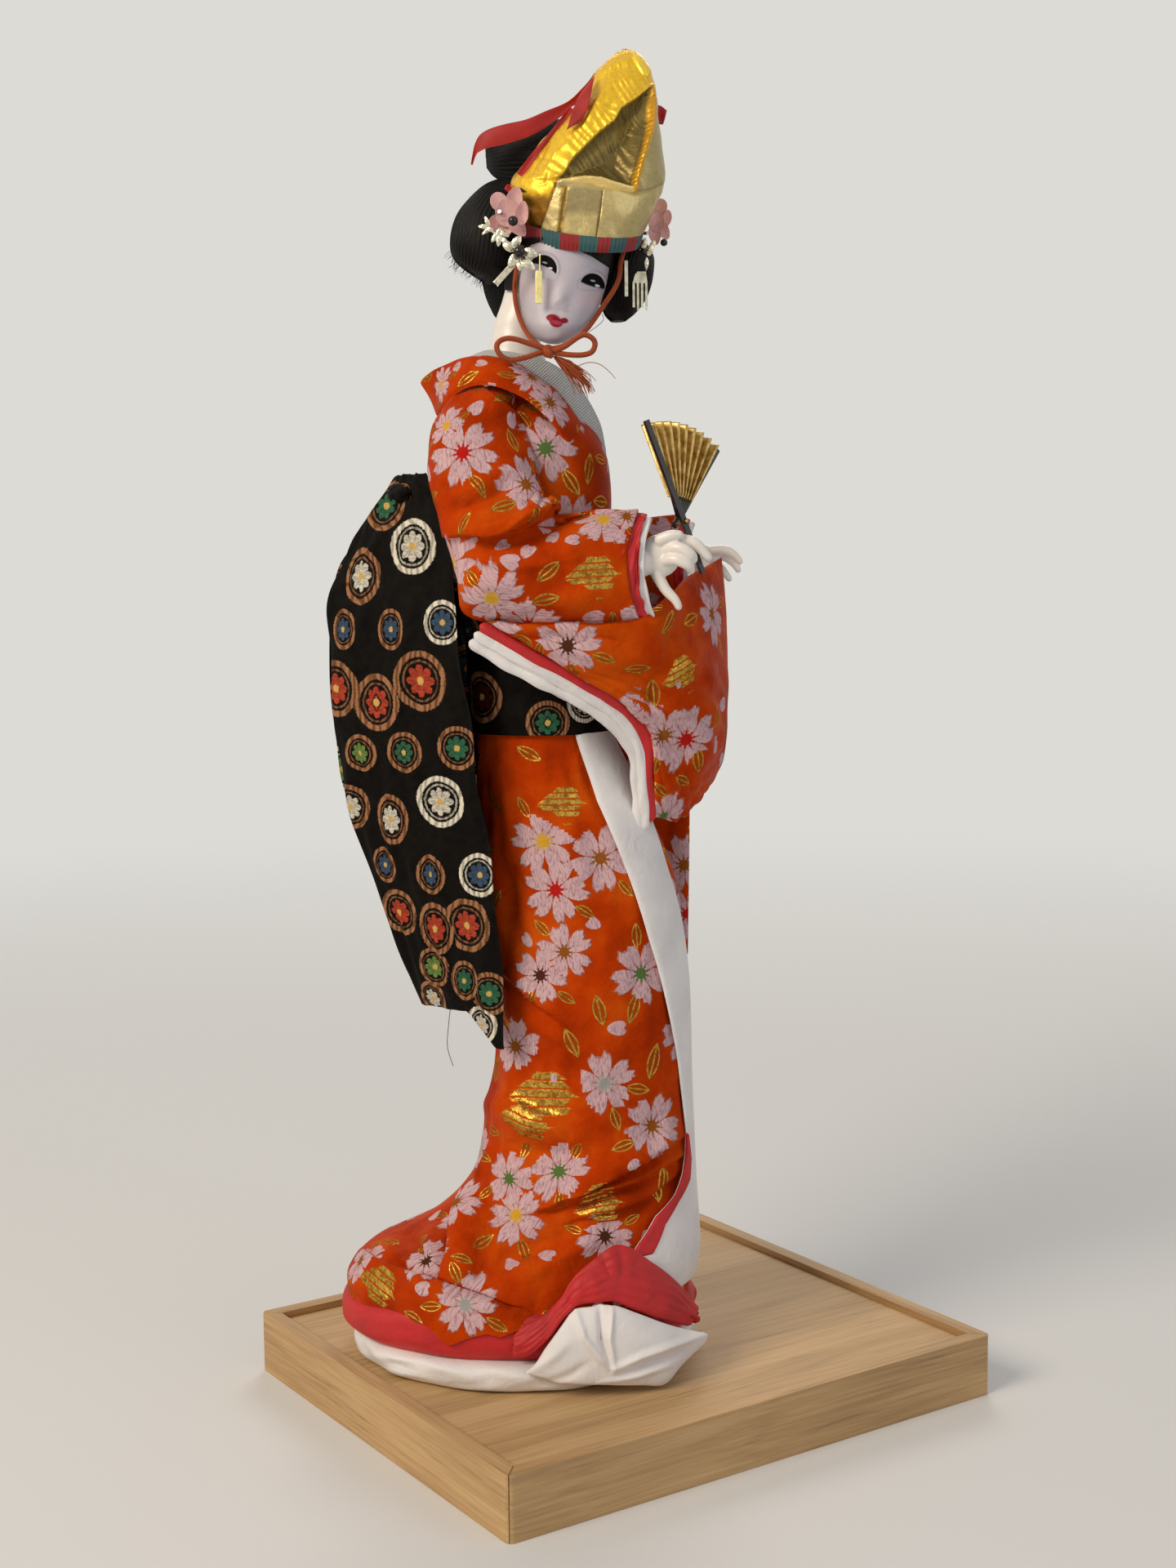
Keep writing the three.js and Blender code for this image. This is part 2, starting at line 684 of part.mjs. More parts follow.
const upperSleeveStations = [
  [elbowHeight - 18, -38, -18, 24, 42],
  [elbowHeight, -44, -18, 20, 45],
  [elbowHeight + 18, -48, -20, 17, 43.5],
  [elbowHeight + 36, -51, -22, 13, 41],
  [elbowHeight + 52, -48, -18, 11, 37],
  [elbowHeight + 62, -40, -20, 12, 31],
];
const mirrorStation = ([place, low, high, near, far]) => [place, low, high, -far, -near];
const upperSleeve = (side, grow) => ovalBody(
  side < 0 ? upperSleeveStations.map(mirrorStation) : upperSleeveStations, grow, sleeveSides, 7,
);
const rightForearm = [
  [-37, elbowHeight - 14, elbowHeight + 13, -43, -27],
  [-22, elbowHeight - 21, elbowHeight + 14, -46, -26],
  [-4, elbowHeight - 24, elbowHeight + 16, -47, -27],
  [12, elbowHeight - 24, elbowHeight + 19, -45, -25],
  [cuffX, elbowHeight - 23, elbowHeight + 19, -41.5, -24.5],
];
const leftForearm = [
  [-37, elbowHeight - 14, elbowHeight + 13, 27, 43],
  [-20, elbowHeight - 20, elbowHeight + 14, 26, 46],
  [5, elbowHeight - 22, elbowHeight + 16, 25, 45],
  [leftCuffX, elbowHeight - 20, elbowHeight + 19, 22, 38],
];
const forearm = (stations, grow) => sideways(stations, grow, sleeveSides, 7);
const rightSleeve = (grow) => join(upperSleeve(-1, grow), forearm(rightForearm, grow));
const leftSleeve = (grow) => join(upperSleeve(1, grow), forearm(leftForearm, grow));

/** What lies inside a cuff: the forearm's last stretch, drawn in by a distance. */
function cuffBody(stations, inset, from, beyond) {
  const end = stations[stations.length - 1];
  const middle = between(stations, end[0] - from);
  const draw = ([place, low, high, near, far], shift) => [
    place + shift, low + inset, high - inset, near + inset, far - inset,
  ];
  return sideways([draw(middle, 0), draw(end, 0), draw(end, beyond)], 0, sleeveSides, 3);
}

const cuffs = [
  ['right', rightForearm, rightSleeve],
  ['left', leftForearm, leftSleeve],
];
const cuffPocket = (stations) => cuffBody(stations, brocade, cuffDepth, 3);
for (const [name, stations, sleeve] of cuffs) {
  piece(doll, `${name}_sleeve`, cut(
    sleeve(0), cuffPocket(stations), bodice(gap), belt(gap), collar(gap), underCollar(gap),
    tail(name === 'right' ? -1 : 1, gap),
  ), ...orange);
  const layers = [
    [`${name}_cuff_red`, red, brocade + gap, redCuffReach],
    [`${name}_cuff_white`, white, brocade + silk + 2 * gap, whiteCuffReach],
  ];
  for (const [label, look, inset, reach] of layers) {
    const outer = cuffBody(stations, inset, cuffDepth - gap, reach);
    const inner = cuffBody(stations, inset + silk, cuffDepth + 2, reach + 2);
    piece(doll, label, cut(outer, inner), ...look);
  }
}

// Hands of white-lacquered composition, each with its wrist inside the cuff
const rightWrist = cuffX - cuffDepth + wristRoom;
const leftWrist = leftCuffX - cuffDepth + wristRoom;
const rightWristPath = [
  [rightWrist, -33, elbowHeight - 1], [cuffX, -33, elbowHeight + 1], [32, -33, elbowHeight + 3],
];
const leftWristPath = [
  [leftWrist, 30, elbowHeight - 1], [leftCuffX, 30, elbowHeight + 1], [50, 30, elbowHeight + 2],
];
const rightFingers = [
  [[[37, -34, elbowHeight + 8], [43, -35, elbowHeight + 7.5], [49, -34.5, elbowHeight + 1.5]], [2.2, 1.9, 1.3]],
  [[[35, -36, elbowHeight + 5], [40, -38.5, elbowHeight + 3.5], [43, -36, elbowHeight + 1]], [2.2, 2, 1.5]],
  [[[34, -36, elbowHeight + 1], [39, -38.5, elbowHeight - 0.5], [42, -36, elbowHeight - 2.5]], [2.1, 1.9, 1.4]],
  [[[30, -34, elbowHeight - 3], [33, -35, elbowHeight - 9], [37, -36, elbowHeight - 15.5]], [2.4, 2.1, 1.5]],
];
const leftFingers = [
  [[[53, 28, elbowHeight + 5], [59, 27, elbowHeight + 4.5], [64, 26, elbowHeight]], [2, 1.8, 1.2]],
  [[[53, 31, elbowHeight + 3], [59, 31, elbowHeight + 1.5], [63.5, 30, elbowHeight - 3]], [2, 1.8, 1.2]],
  [[[52, 33, elbowHeight], [57, 33.5, elbowHeight - 2.5], [60.5, 33, elbowHeight - 6.5]], [1.9, 1.7, 1.2]],
  [[[50, 27, elbowHeight - 1], [54, 25, elbowHeight - 4], [57, 24.5, elbowHeight - 7]], [2.1, 1.8, 1.3]],
];

/** A hand: a wrist, a palm and four fingers, all grown by a distance. */
function hand(wrist, wristRadii, palm, palmSize, fingers, grow) {
  return join(
    limb(wrist, wristRadii, grow), ellipsoid(palm, palmSize, grow, 10, 7),
    ...fingers.map(([path, radii]) => limb(path, radii, grow)),
  );
}
const rightHand = (grow) => hand(
  rightWristPath, [4.2, 4.2, 5], v(32.5, -33, elbowHeight + 3.5), v(7, 4.2, 7.8), rightFingers, grow,
);
const leftHand = (grow) => hand(
  leftWristPath, [3.2, 3.2, 4.2], v(51, 30, elbowHeight + 2), v(6.5, 4, 5.5), leftFingers, grow,
);

// Fan, in a frame of its own: the rivet is the origin, the near guard points along +Y and the
// far guard is turned from it by the fan's angle about +Z
const nearGuardWay = v(-12.7, -3, 34.6).normalize();
const farGuardHint = v(16.6, 21, 25.5);
const fanNormal = v(0, 0, 0).crossVectors(nearGuardWay, farGuardHint).normalize();
const fanFrame = new THREE.Matrix4().makeBasis(
  v(0, 0, 0).crossVectors(nearGuardWay, fanNormal), nearGuardWay, fanNormal,
);
const fan = new THREE.Group();
fan.position.set(38.8, -33, elbowHeight + 14.5);
fan.quaternion.setFromRotationMatrix(fanFrame);
doll.add(fan);

/** A lacquered guard: a flat tapering stick with an eye for the rivet. */
function guard(reach, below) {
  const half = guardWidth / 2;
  const outline = new THREE.Shape([
    new THREE.Vector2(-half * 0.8, -below), new THREE.Vector2(half * 0.8, -below),
    new THREE.Vector2(half, 0), new THREE.Vector2(half * 1.2, reach), new THREE.Vector2(-half * 0.6, reach),
    new THREE.Vector2(-half, 0),
  ]);
  const eye = new THREE.Path();
  eye.absarc(0, 0, rivetRadius + gap, 0, Math.PI * 2);
  outline.holes.push(eye);
  return new THREE.ExtrudeGeometry(outline, { depth: guardThickness, bevelEnabled: false, curveSegments: 8 });
}
const guardSeat = pleatDepth + leafThickness / 2 + gap;
const nearGuard = (below) => guard(guardLength, below).translate(0, 0, -guardSeat - guardThickness);
piece(fan, 'fan_near_guard', nearGuard(fanHandleLength), ...lacquer);
const farGuard = guard(guardLength, guardWidth / 2).translate(0, 0, guardSeat).rotateZ(radians(fanAngle));
piece(fan, 'fan_far_guard', farGuard, ...lacquer);
const leafSurface = (s, t) => {
  const angle = radians(lerp(1.5, fanAngle - 1.5, s));
  const reach = lerp(leafInner, guardLength - 1, t);
  const fold = Math.abs(((s * pleats) % 1) - 0.5) * 4 - 1;
  return v(-Math.sin(angle) * reach, Math.cos(angle) * reach, fold * pleatDepth * t);
};
piece(fan, 'fan_leaf', sheet(leafSurface, pleats * 2, 2, leafThickness), ...gold);
const rivetLength = 2 * (guardSeat + guardThickness) + 2;
const rivet = new THREE.CylinderGeometry(rivetRadius, rivetRadius, rivetLength, 12).rotateX(Math.PI / 2);
piece(fan, 'fan_rivet', rivet, ...silver);
fan.updateMatrixWorld(true);

const fanToDoll = (geometry) => {
  fan.updateMatrix();
  return geometry.applyMatrix4(fan.matrix);
};
const handleRoom = new THREE.BoxGeometry(guardWidth + 2 * gap, fanHandleLength * 2, guardThickness + 2 * gap);
handleRoom.translate(0, 0, -guardSeat - guardThickness / 2);
piece(doll, 'right_hand', cut(rightHand(0), fanToDoll(handleRoom)), ...skin);
piece(doll, 'left_hand', leftHand(0), ...skin);

// Hanging bags of the sleeves

/** A cloth between four edge curves that meet at their ends. */
function clothBetween(top, foot, left, right) {
  return (s, t) => {
    const place = top.getPoint(s).multiplyScalar(1 - t).addScaledVector(foot.getPoint(s), t);
    place.addScaledVector(left.getPoint(t), 1 - s).addScaledVector(right.getPoint(t), s);
    place.addScaledVector(top.getPoint(0), -(1 - s) * (1 - t)).addScaledVector(top.getPoint(1), -s * (1 - t));
    place.addScaledVector(foot.getPoint(0), -(1 - s) * t).addScaledVector(foot.getPoint(1), -s * t);
    return place;
  };
}
const bagTopZ = elbowHeight - 20;
const bagTop = curve([
  [-36, -38, bagTopZ + 2], [-18, -43, bagTopZ], [2, -44, bagTopZ - 1],
  [24, -38, bagTopZ], [42, -12, bagTopZ + 8], [57, 25, elbowHeight - 8],
]);
const bagFoot = curve([[30, -16, elbowHeight - 90], [38, 2, elbowHeight - 93], [46, 20, elbowHeight - 89]]);
const bagBack = curve([
  [-36, -38, bagTopZ + 2], [-12, -36, elbowHeight - 30], [14, -31, elbowHeight - 43],
  [28, -24, elbowHeight - 59], [30, -16, elbowHeight - 90],
]);
const bagFront = curve([
  [57, 25, elbowHeight - 8], [58.5, 25, elbowHeight - 33], [57, 25, elbowHeight - 69],
  [46, 20, elbowHeight - 89],
]);
const bagSurface = clothBetween(bagTop, bagFoot, bagBack, bagFront);
const rightBag = (grow) => sheet(bagSurface, 10, 8, bagThickness, grow);
const cuffRoom = cuffBody(rightForearm, 0, cuffDepth, cuffClearance);
const bagNeighbours = [belt(gap), skirtBody(gap, 0), frontBand(gap), rightSleeve(gap), leftHand(gap), cuffRoom];
piece(doll, 'right_sleeve_bag', cut(rightBag(0), ...bagNeighbours), ...orange);

/** A lining layer along the open back edge of the right sleeve's bag. */
function bagLining(inner, outer, depth, grow = 0) {
  const surface = (s, t) => {
    const place = bagBack.getPoint(lerp(0.04, 0.97, t));
    const ahead = bagBack.getTangent(lerp(0.04, 0.97, t));
    const across = v(-ahead.z, 0, ahead.x).normalize();
    return place.addScaledVector(across, -lerp(inner, outer, s)).add(v(0, depth, 0));
  };
  return sheet(surface, 1, 10, silk, grow);
}
const redBagLining = (grow) => bagLining(-3, 6, bagThickness / 2 + silk / 2 + gap, grow);
const whiteBagLining = (grow) => bagLining(0, 13, bagThickness / 2 + silk * 1.5 + 2 * gap, grow);
piece(doll, 'right_bag_red', cut(redBagLining(0), rightBag(gap), ...bagNeighbours), ...red);
piece(doll, 'right_bag_white', cut(
  whiteBagLining(0), rightBag(gap), redBagLining(gap), ...bagNeighbours,
), ...white);

const leftBagTop = curve([
  [-10, 34, elbowHeight - 22], [16, 35, elbowHeight - 24], [leftCuffX, 31, elbowHeight - 20],
]);
const leftBagFoot = curve([
  [-14, 37, elbowHeight - 151], [14, 40, elbowHeight - 157], [44, 32, elbowHeight - 149],
]);
const leftBagBack = curve([
  [-10, 34, elbowHeight - 22], [-14, 38, elbowHeight - 89], [-14, 37, elbowHeight - 151],
]);
const leftBagFront = curve([
  [leftCuffX, 31, elbowHeight - 20], [45, 33, elbowHeight - 84], [44, 32, elbowHeight - 149],
]);
const leftBagSurface = clothBetween(leftBagTop, leftBagFoot, leftBagBack, leftBagFront);
const leftBag = (grow) => sheet(leftBagSurface, 8, 10, bagThickness, grow);
piece(doll, 'left_sleeve_bag', cut(
  leftBag(0), leftSleeve(gap), rightBag(gap), belt(gap), skirtBody(gap, 0), frontBand(gap),
), ...orange);

// Head

const head = new THREE.Group();
head.position.copy(headPlace);
const headFrame = new THREE.Matrix4().makeRotationY(radians(headRoll));
headFrame.multiply(new THREE.Matrix4().makeRotationZ(radians(headTurn)));
headFrame.multiply(new THREE.Matrix4().makeRotationX(radians(-headTilt)));
head.quaternion.setFromRotationMatrix(headFrame);
doll.add(head);
head.updateMatrix();
const headInverse = head.matrix.clone().invert();
const toHead = (geometry) => geometry.applyMatrix4(headInverse);
const atHead = (x, y, z) => v(x, y, z).applyMatrix4(headInverse);

const skullStations = [
  [-25, -3.5, 3.5, -17.5, -10], [-22, -7.5, 7.5, -19.5, -4], [-15, -12, 12, -20.5, 6],
  [-5, -15.5, 15.5, -20.5, 14], [6, -17, 17, -20, 18], [16, -16.5, 16.5, -17.5, 19],
  [25, -12, 12, -11, 15], [30, -5, 5, -4, 7],
];
const skull = (grow) => ovalBody(skullStations, grow, 18, 9);
const stemFoot = shoulderHeight + 9 - socketDepth + gap;
const neck = (grow) => toHead(limb([
  [neckX, 0, stemFoot], [neckX, 0, shoulderHeight + 6], [neckX + 1, 0, shoulderHeight + 14],
  [neckX + 4, 0, shoulderHeight + 28], [neckX + 11, 1, headPlace.z - 14],
], [stemRadius, stemRadius, neckRadius, neckRadius - 0.6, neckRadius], grow, 12, false));
piece(head, 'head', join(skull(0), neck(0)), ...skin);

// Hair ornaments: the way each faces, where its flower sits, and its silver blossoms with their reach
const ornaments = [
  ['right', v(-0.45, -0.9, 0.05), v(-24, -16, 19.5), [
    [v(-29.5, -14.7, 20), 3], [v(-27, -17, 14), 3.4], [v(-20.5, -20.5, 7.5), silverReach],
  ]],
  ['left', v(0.8, -0.6, 0), v(33, 1, 28), [
    [v(32.5, -3, 20), 3], [v(30.5, -5.5, 15), silverReach * 0.8],
  ]],
];

/** Turns a geometry that faces +Z to face a way, and sets it at a place. */
function facing(geometry, way, place) {
  const turn = new THREE.Quaternion().setFromUnitVectors(v(0, 0, 1), way.clone().normalize());
  return geometry.applyQuaternion(turn).translate(place.x, place.y, place.z);
}

/** An ornament's pin, whose head end touches the back of the flower. */
function pinRod([, way, place], grow) {
  const rod = new THREE.CylinderGeometry(pinRadius + grow, pinRadius + grow, pinLength + 2 * grow, 10);
  const unit = way.clone().normalize();
  return facing(rod.rotateX(Math.PI / 2), unit, place.clone().addScaledVector(unit, -gap - pinLength / 2));
}
const pinRooms = ornaments.map((ornament) => pinRod(ornament, gap));

// Hat of gold cloth on a paper shell, with a patterned band; it rises towards the back of the head
const hatStations = [
  [hatBottom - 6, -18, 25, -21, 16],
  [hatBottom + 17, -24, 28.5, -21, 18],
  [hatBottom + 33, -17, 29.5, -17, 18],
  [hatBottom + 49, -11, 25, -11, 16],
  [hatBottom + hatHeight - 13, -4.5, 19.5, -5, 12.5],
  [hatBottom + hatHeight - 4, 1, 12.5, 0, 9],
  [hatBottom + hatHeight, 4.5, 7.5, 3, 6],
];
const hatOuter = (out) => ovalBody(hatStations, out, 18, 7);

/** Everything below the hat's slanting lower edge, raised by a distance. */
function belowBrim(rise) {
  const box = new THREE.BoxGeometry(120, 120, 80);
  box.translate(0, 0, -40);
  box.rotateX(radians(brimSlope));
  return box.translate(0, -20, hatBottom + rise);
}
const hatFilled = (grow) => cut(hatOuter(grow), belowBrim(-grow));
piece(head, 'hat', cut(hatOuter(0), hatOuter(-hatWall), belowBrim(0), skull(gap), ...pinRooms), ...gold);
const bandRing = (grow) => toGeometry(
  toSolid(cut(hatOuter(bandWall + gap + grow), hatOuter(gap - grow), belowBrim(-1 - grow)))
    .intersect(toSolid(belowBrim(bandHeight + grow))),
);
piece(head, 'hat_band', cut(bandRing(0), skull(gap), ...pinRooms), ...red);

// Hair: real strands glued on a cap, dressed in side wings, a nape roll and a top knot
const hairShapes = [
  ['hair_cap', v(0, 4, 3), v(17 + hairDepth, 19 + hairDepth, 22 + hairDepth)],
  ['hair_right_wing', v(-27, 10, 10), v(13.5, 15, 18)],
  ['hair_left_wing', v(25, 8, 8), v(9.5, 13, 16)],
  ['hair_nape_roll', v(-3, 25, 0), v(20, 12, 20)],
  ['hair_top_knot', v(-13, 24, 35), v(20, 12, 15)],
];
const hairSolids = [];
const faceRoom = new THREE.BoxGeometry(60, 30, 60).translate(0, -23, 0);
for (const [name, middle, size] of hairShapes) {
  const tools = [
    skull(gap), neck(gap), hatFilled(gap), bandRing(gap), ...hairSolids.map((shape) => shape(gap)),
  ];
  if (name === 'hair_cap') tools.push(faceRoom);
  tools.push(...pinRooms);
  piece(head, name, cut(ellipsoid(middle, size, 0), ...tools), ...hairBlack);
  hairSolids.push((grow) => ellipsoid(middle, size, grow));
}

// Red ribbon tied round the hat
const ribbonRun = curve([[3, 9, 83], [-5, 16, 82], [-14, 21, 74], [-26, 24, 66], [-38, 25, 58], [-47, 24, 51]]);
const ribbonTail = (s, t) => ribbonRun.getPoint(t).add(v(0, 0, (s - 0.5) * ribbonWidth * (1 + 0.5 * t)));
const ribbonSide = curve([[-3, 14, 80], [-11, 15, 66], [-19, 14, 49], [-27, 11, 33]]);
const sideStrip = (s, t) => ribbonSide.getPoint(t).add(v((s - 0.5) * 5, -(s - 0.5) * 5, 0));
piece(head, 'hat_ribbon', cut(
  join(sheet(ribbonTail, 2, 10, silk), sheet(sideStrip, 2, 8, silk * 2)),
  hatOuter(gap), ...hairSolids.map((shape) => shape(gap)),
), ...red);

// Chin cord with its bow and tassel
const chinPath = [
  [-21, -13, 14], [-19.5, -16, 4], [-17, -15, -6], [-12, -19, -16], [-2.5, -21, -26.2], [3.5, -21.5, -26.4],
  [13, -18, -17], [18.5, -12, -4], [22, -4, 10],
].map((p) => v(...p));
const chinLoop = (grow) => cord(chinPath, cordRadius + grow, 6, 22);
piece(head, 'chin_cord', cut(
  chinLoop(0), skull(gap / 3), bandRing(gap), hatFilled(gap), ...hairSolids.map((shape) => shape(gap)),
), ...chinCord);
const knotPlace = v(0.5, -24, -28.5);
const bowLoop = (side, grow) => cord([
  knotPlace.clone(), v(side * 8, -25, -24), v(side * 17, -25.5, -23.5), v(side * 19.5, -25.5, -27),
  v(side * 14, -25.5, -31), v(side * 6, -24.8, -30.5), knotPlace.clone().add(v(0, 0, -1)),
], cordRadius + grow, 5, 15);
const knot = (grow) => ellipsoid(knotPlace, v(3, 2, 2.3), grow, 8, 6);
piece(head, 'chin_bow', cut(
  join(bowLoop(-1, 0), bowLoop(1, 0), knot(0)), chinLoop(gap), skull(gap),
), ...chinCord);
const tassel = limb([[3, -25.5, -30.5], [6, -26, -35], [9.5, -25.5, -41]], [1.4, 2.6, 3.2], 0, 10, false);
piece(head, 'tassel', cut(tassel, knot(gap), bowLoop(1, gap)), ...chinCord);

// Hair ornaments of silk petals and silver foil, each on a pin pushed into the hair

/** A flower cut from sheet: round petals about a middle, as a plate facing +Z. */
function flower(petals, reach, thickness, waist = 0.5) {
  const points = [];
  const steps = petals * 4;
  for (let i = 0; i < steps; i += 1) {
    const angle = (i / steps) * Math.PI * 2;
    const radius = reach * (waist + (1 - waist) * Math.abs(Math.cos((petals * angle) / 2)) ** 0.6);
    points.push(new THREE.Vector2(radius * Math.cos(angle), radius * Math.sin(angle)));
  }
  return plate(points, thickness);
}

/** A faceted glass bead: a dome with its flat foot at z = 0. */
function beadDome(radius) {
  return loft([0, 0.5, 0.9].map((rise) => {
    const reach = radius * Math.sqrt(1 - rise * rise);
    return oval([radius * rise * 0.8, -reach, reach, -reach, reach], 0, 8);
  }));
}

const hairTools = (grow) => [
  skull(grow), hatFilled(grow), bandRing(grow), ...hairSolids.map((shape) => shape(grow)),
];
for (const [name, way, place, blossoms] of ornaments) {
  const unit = way.clone().normalize();
  const forward = (middle, distance) => middle.clone().addScaledVector(unit, distance);
  const blossom = (petals, reach, waist, middle, grow) => facing(
    flower(petals, reach + grow, petalThickness + 2 * grow, waist), unit, forward(middle, -grow),
  );
  const centres = blossoms.map(([middle]) => forward(middle, petalThickness / 2).toArray());
  const wire = (grow) => limb(centres, centres.map(() => petalThickness / 2), grow, 6, false);
  const spray = (grow) => join(
    wire(grow), ...blossoms.map(([middle, reach]) => blossom(6, reach, 0.35, middle, grow)),
  );
  const [main] = blossoms[blossoms.length - 1];
  const seat = petalThickness * 0.8;
  piece(head, `${name}_pin`, cut(pinRod([name, way, place], 0), skull(gap)), ...silver);
  const bead = facing(beadDome(beadRadius), unit, forward(place, seat));
  const pinkFlower = join(blossom(5, pinkReach, 0.5, place, 0), bead);
  piece(head, `${name}_pink_flower`, cut(pinkFlower, spray(gap), ...hairTools(gap)), ...pink);
  const beaded = join(spray(0), facing(beadDome(smallBeadRadius), unit, forward(main, seat)));
  piece(head, `${name}_silver_spray`, cut(beaded, ...hairTools(gap)), ...silver);
}

// Silver strips that swing from the sprays, each hanging straight down
const stripHang = (x, y, z) => v(x, y, z).applyMatrix4(head.matrix);

/** A foil strip hanging by its top edge, seen from the front. */
function hangingStrip(place, width) {
  const strip = new THREE.BoxGeometry(width, stripThickness, stripLength);
  return strip.translate(place.x, place.y, place.z - stripLength / 2);
}

/** A foil plate cut into a fringe of narrow strips below its shoulder. */
function fringe(place) {
  const half = fringeWidth / 2;
  const pitch = fringeWidth / fringeStrips;
  const outline = [[-half, -fringeShoulder], [-half * 0.6, 0], [half * 0.6, 0], [half, -fringeShoulder]];
  for (let k = fringeStrips - 1; k >= 0; k -= 1) {
    const left = -half + k * pitch;
    const right = left + pitch * fringeShare;
    const foot = -stripLength - (k % 2);
    if (k < fringeStrips - 1) outline.push([right, -fringeShoulder]);
    outline.push([right, foot], [left, foot]);
    if (k > 0) outline.push([left, -fringeShoulder]);
  }
  outline[3] = [-half + (fringeStrips - 1) * pitch + pitch * fringeShare, -fringeShoulder];
  const points = outline.map(([x, z]) => new THREE.Vector2(x, z));
  return plate(points, stripThickness).rotateX(Math.PI / 2).translate(place.x, place.y, place.z);
}
piece(doll, 'right_strip', hangingStrip(stripHang(-16.2, -23.2, 4.1), stripWidth), ...silver);
piece(doll, 'left_strip', hangingStrip(stripHang(24.6, -10.6, 14.2), stripWidth * 0.6), ...silver);
piece(doll, 'left_fringe', fringe(stripHang(31, -8.6, 12)), ...silver);

export default root;
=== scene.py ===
"""A Japanese dancer doll in a brocade kimono and a gold hat, on a framed wooden stand."""

import math

import bpy
import numpy as np
from mathutils import Matrix, Vector


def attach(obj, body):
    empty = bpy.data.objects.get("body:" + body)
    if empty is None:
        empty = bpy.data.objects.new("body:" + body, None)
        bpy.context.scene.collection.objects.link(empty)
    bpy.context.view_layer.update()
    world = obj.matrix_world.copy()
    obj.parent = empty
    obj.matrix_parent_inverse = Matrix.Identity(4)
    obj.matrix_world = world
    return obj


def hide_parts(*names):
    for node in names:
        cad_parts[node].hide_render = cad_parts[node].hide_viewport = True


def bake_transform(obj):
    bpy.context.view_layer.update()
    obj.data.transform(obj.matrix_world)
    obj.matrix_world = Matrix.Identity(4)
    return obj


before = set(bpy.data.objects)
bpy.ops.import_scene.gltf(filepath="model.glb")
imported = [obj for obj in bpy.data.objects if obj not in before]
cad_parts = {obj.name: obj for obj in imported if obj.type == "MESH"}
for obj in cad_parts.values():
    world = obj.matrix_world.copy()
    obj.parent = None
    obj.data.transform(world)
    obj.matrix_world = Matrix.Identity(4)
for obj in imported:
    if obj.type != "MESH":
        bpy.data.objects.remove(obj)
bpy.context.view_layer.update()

scene = bpy.context.scene

# Camera, light and floor
# A telephoto view from the doll's right front, a little above her waist, in soft studio light.
# The floor is pale, and the camera and reflections see a paler, even background behind it.

MM = 0.001
PHOTO_WIDTH, PHOTO_HEIGHT = 1440, 1920
CAMERA_PLACE = np.array([-442.8, -639.8, 313.8])
CAMERA_WAY = math.atan2(0.55874, 0.82934)
CAMERA_PITCH = 0.1083945
CAMERA_ROLL = 0.00971346
LENS, SENSOR = 48.6, 36.0

ahead = np.array([math.sin(CAMERA_WAY) * math.cos(CAMERA_PITCH),
                  math.cos(CAMERA_WAY) * math.cos(CAMERA_PITCH), -math.sin(CAMERA_PITCH)])
level = np.array([math.cos(CAMERA_WAY), -math.sin(CAMERA_WAY), 0.0])
above = np.cross(level, ahead)
camera_right = level * math.cos(CAMERA_ROLL) - above * math.sin(CAMERA_ROLL)
camera_up = above * math.cos(CAMERA_ROLL) + level * math.sin(CAMERA_ROLL)

camera = bpy.data.objects.new("camera", bpy.data.cameras.new("camera"))
scene.collection.objects.link(camera)
scene.camera = camera
camera.data.lens = LENS
camera.data.sensor_width = SENSOR
camera.data.sensor_fit = "AUTO"
camera.data.clip_start, camera.data.clip_end = 0.01, 50.0
turn = Matrix(np.column_stack([camera_right, camera_up, -ahead]).tolist())
camera.matrix_world = Matrix.Translation(Vector(CAMERA_PLACE * MM)) @ turn.to_4x4()


def pixels(points):
    """Columns and rows in the photograph of points in world mm, and their distance ahead of the camera."""
    away = points - CAMERA_PLACE
    depth = away @ ahead
    focal = LENS / SENSOR * PHOTO_HEIGHT
    column = PHOTO_WIDTH / 2 + focal * (away @ camera_right) / depth
    row = PHOTO_HEIGHT / 2 - focal * (away @ camera_up) / depth
    return column, row, depth


def linear(code):
    """An sRGB hex colour such as '#a0b0c0' as linear red, green, blue and alpha."""
    parts = [int(code[i:i + 2], 16) / 255 for i in (1, 3, 5)]
    return tuple(c / 12.92 if c <= 0.04045 else ((c + 0.055) / 1.055) ** 2.4 for c in parts) + (1.0,)


def node(tree, kind, inputs=None, **settings):
    """Adds a shader node, sets its fields, and fills or links its inputs, each given as a value, a node,
    (node, output) or a Signal."""
    made = tree.nodes.new("ShaderNode" + kind)
    for field, value in settings.items():
        setattr(made, field, value)
    for key, value in (inputs or {}).items():
        if isinstance(value, Signal):
            value = value.socket
        elif isinstance(value, bpy.types.Node):
            value = value.outputs[0]
        elif isinstance(value, tuple) and isinstance(value[0], bpy.types.Node):
            value = value[0].outputs[value[1]]
        if isinstance(value, bpy.types.NodeSocket):
            tree.links.new(value, made.inputs[key])
        else:
            made.inputs[key].default_value = value
    return made


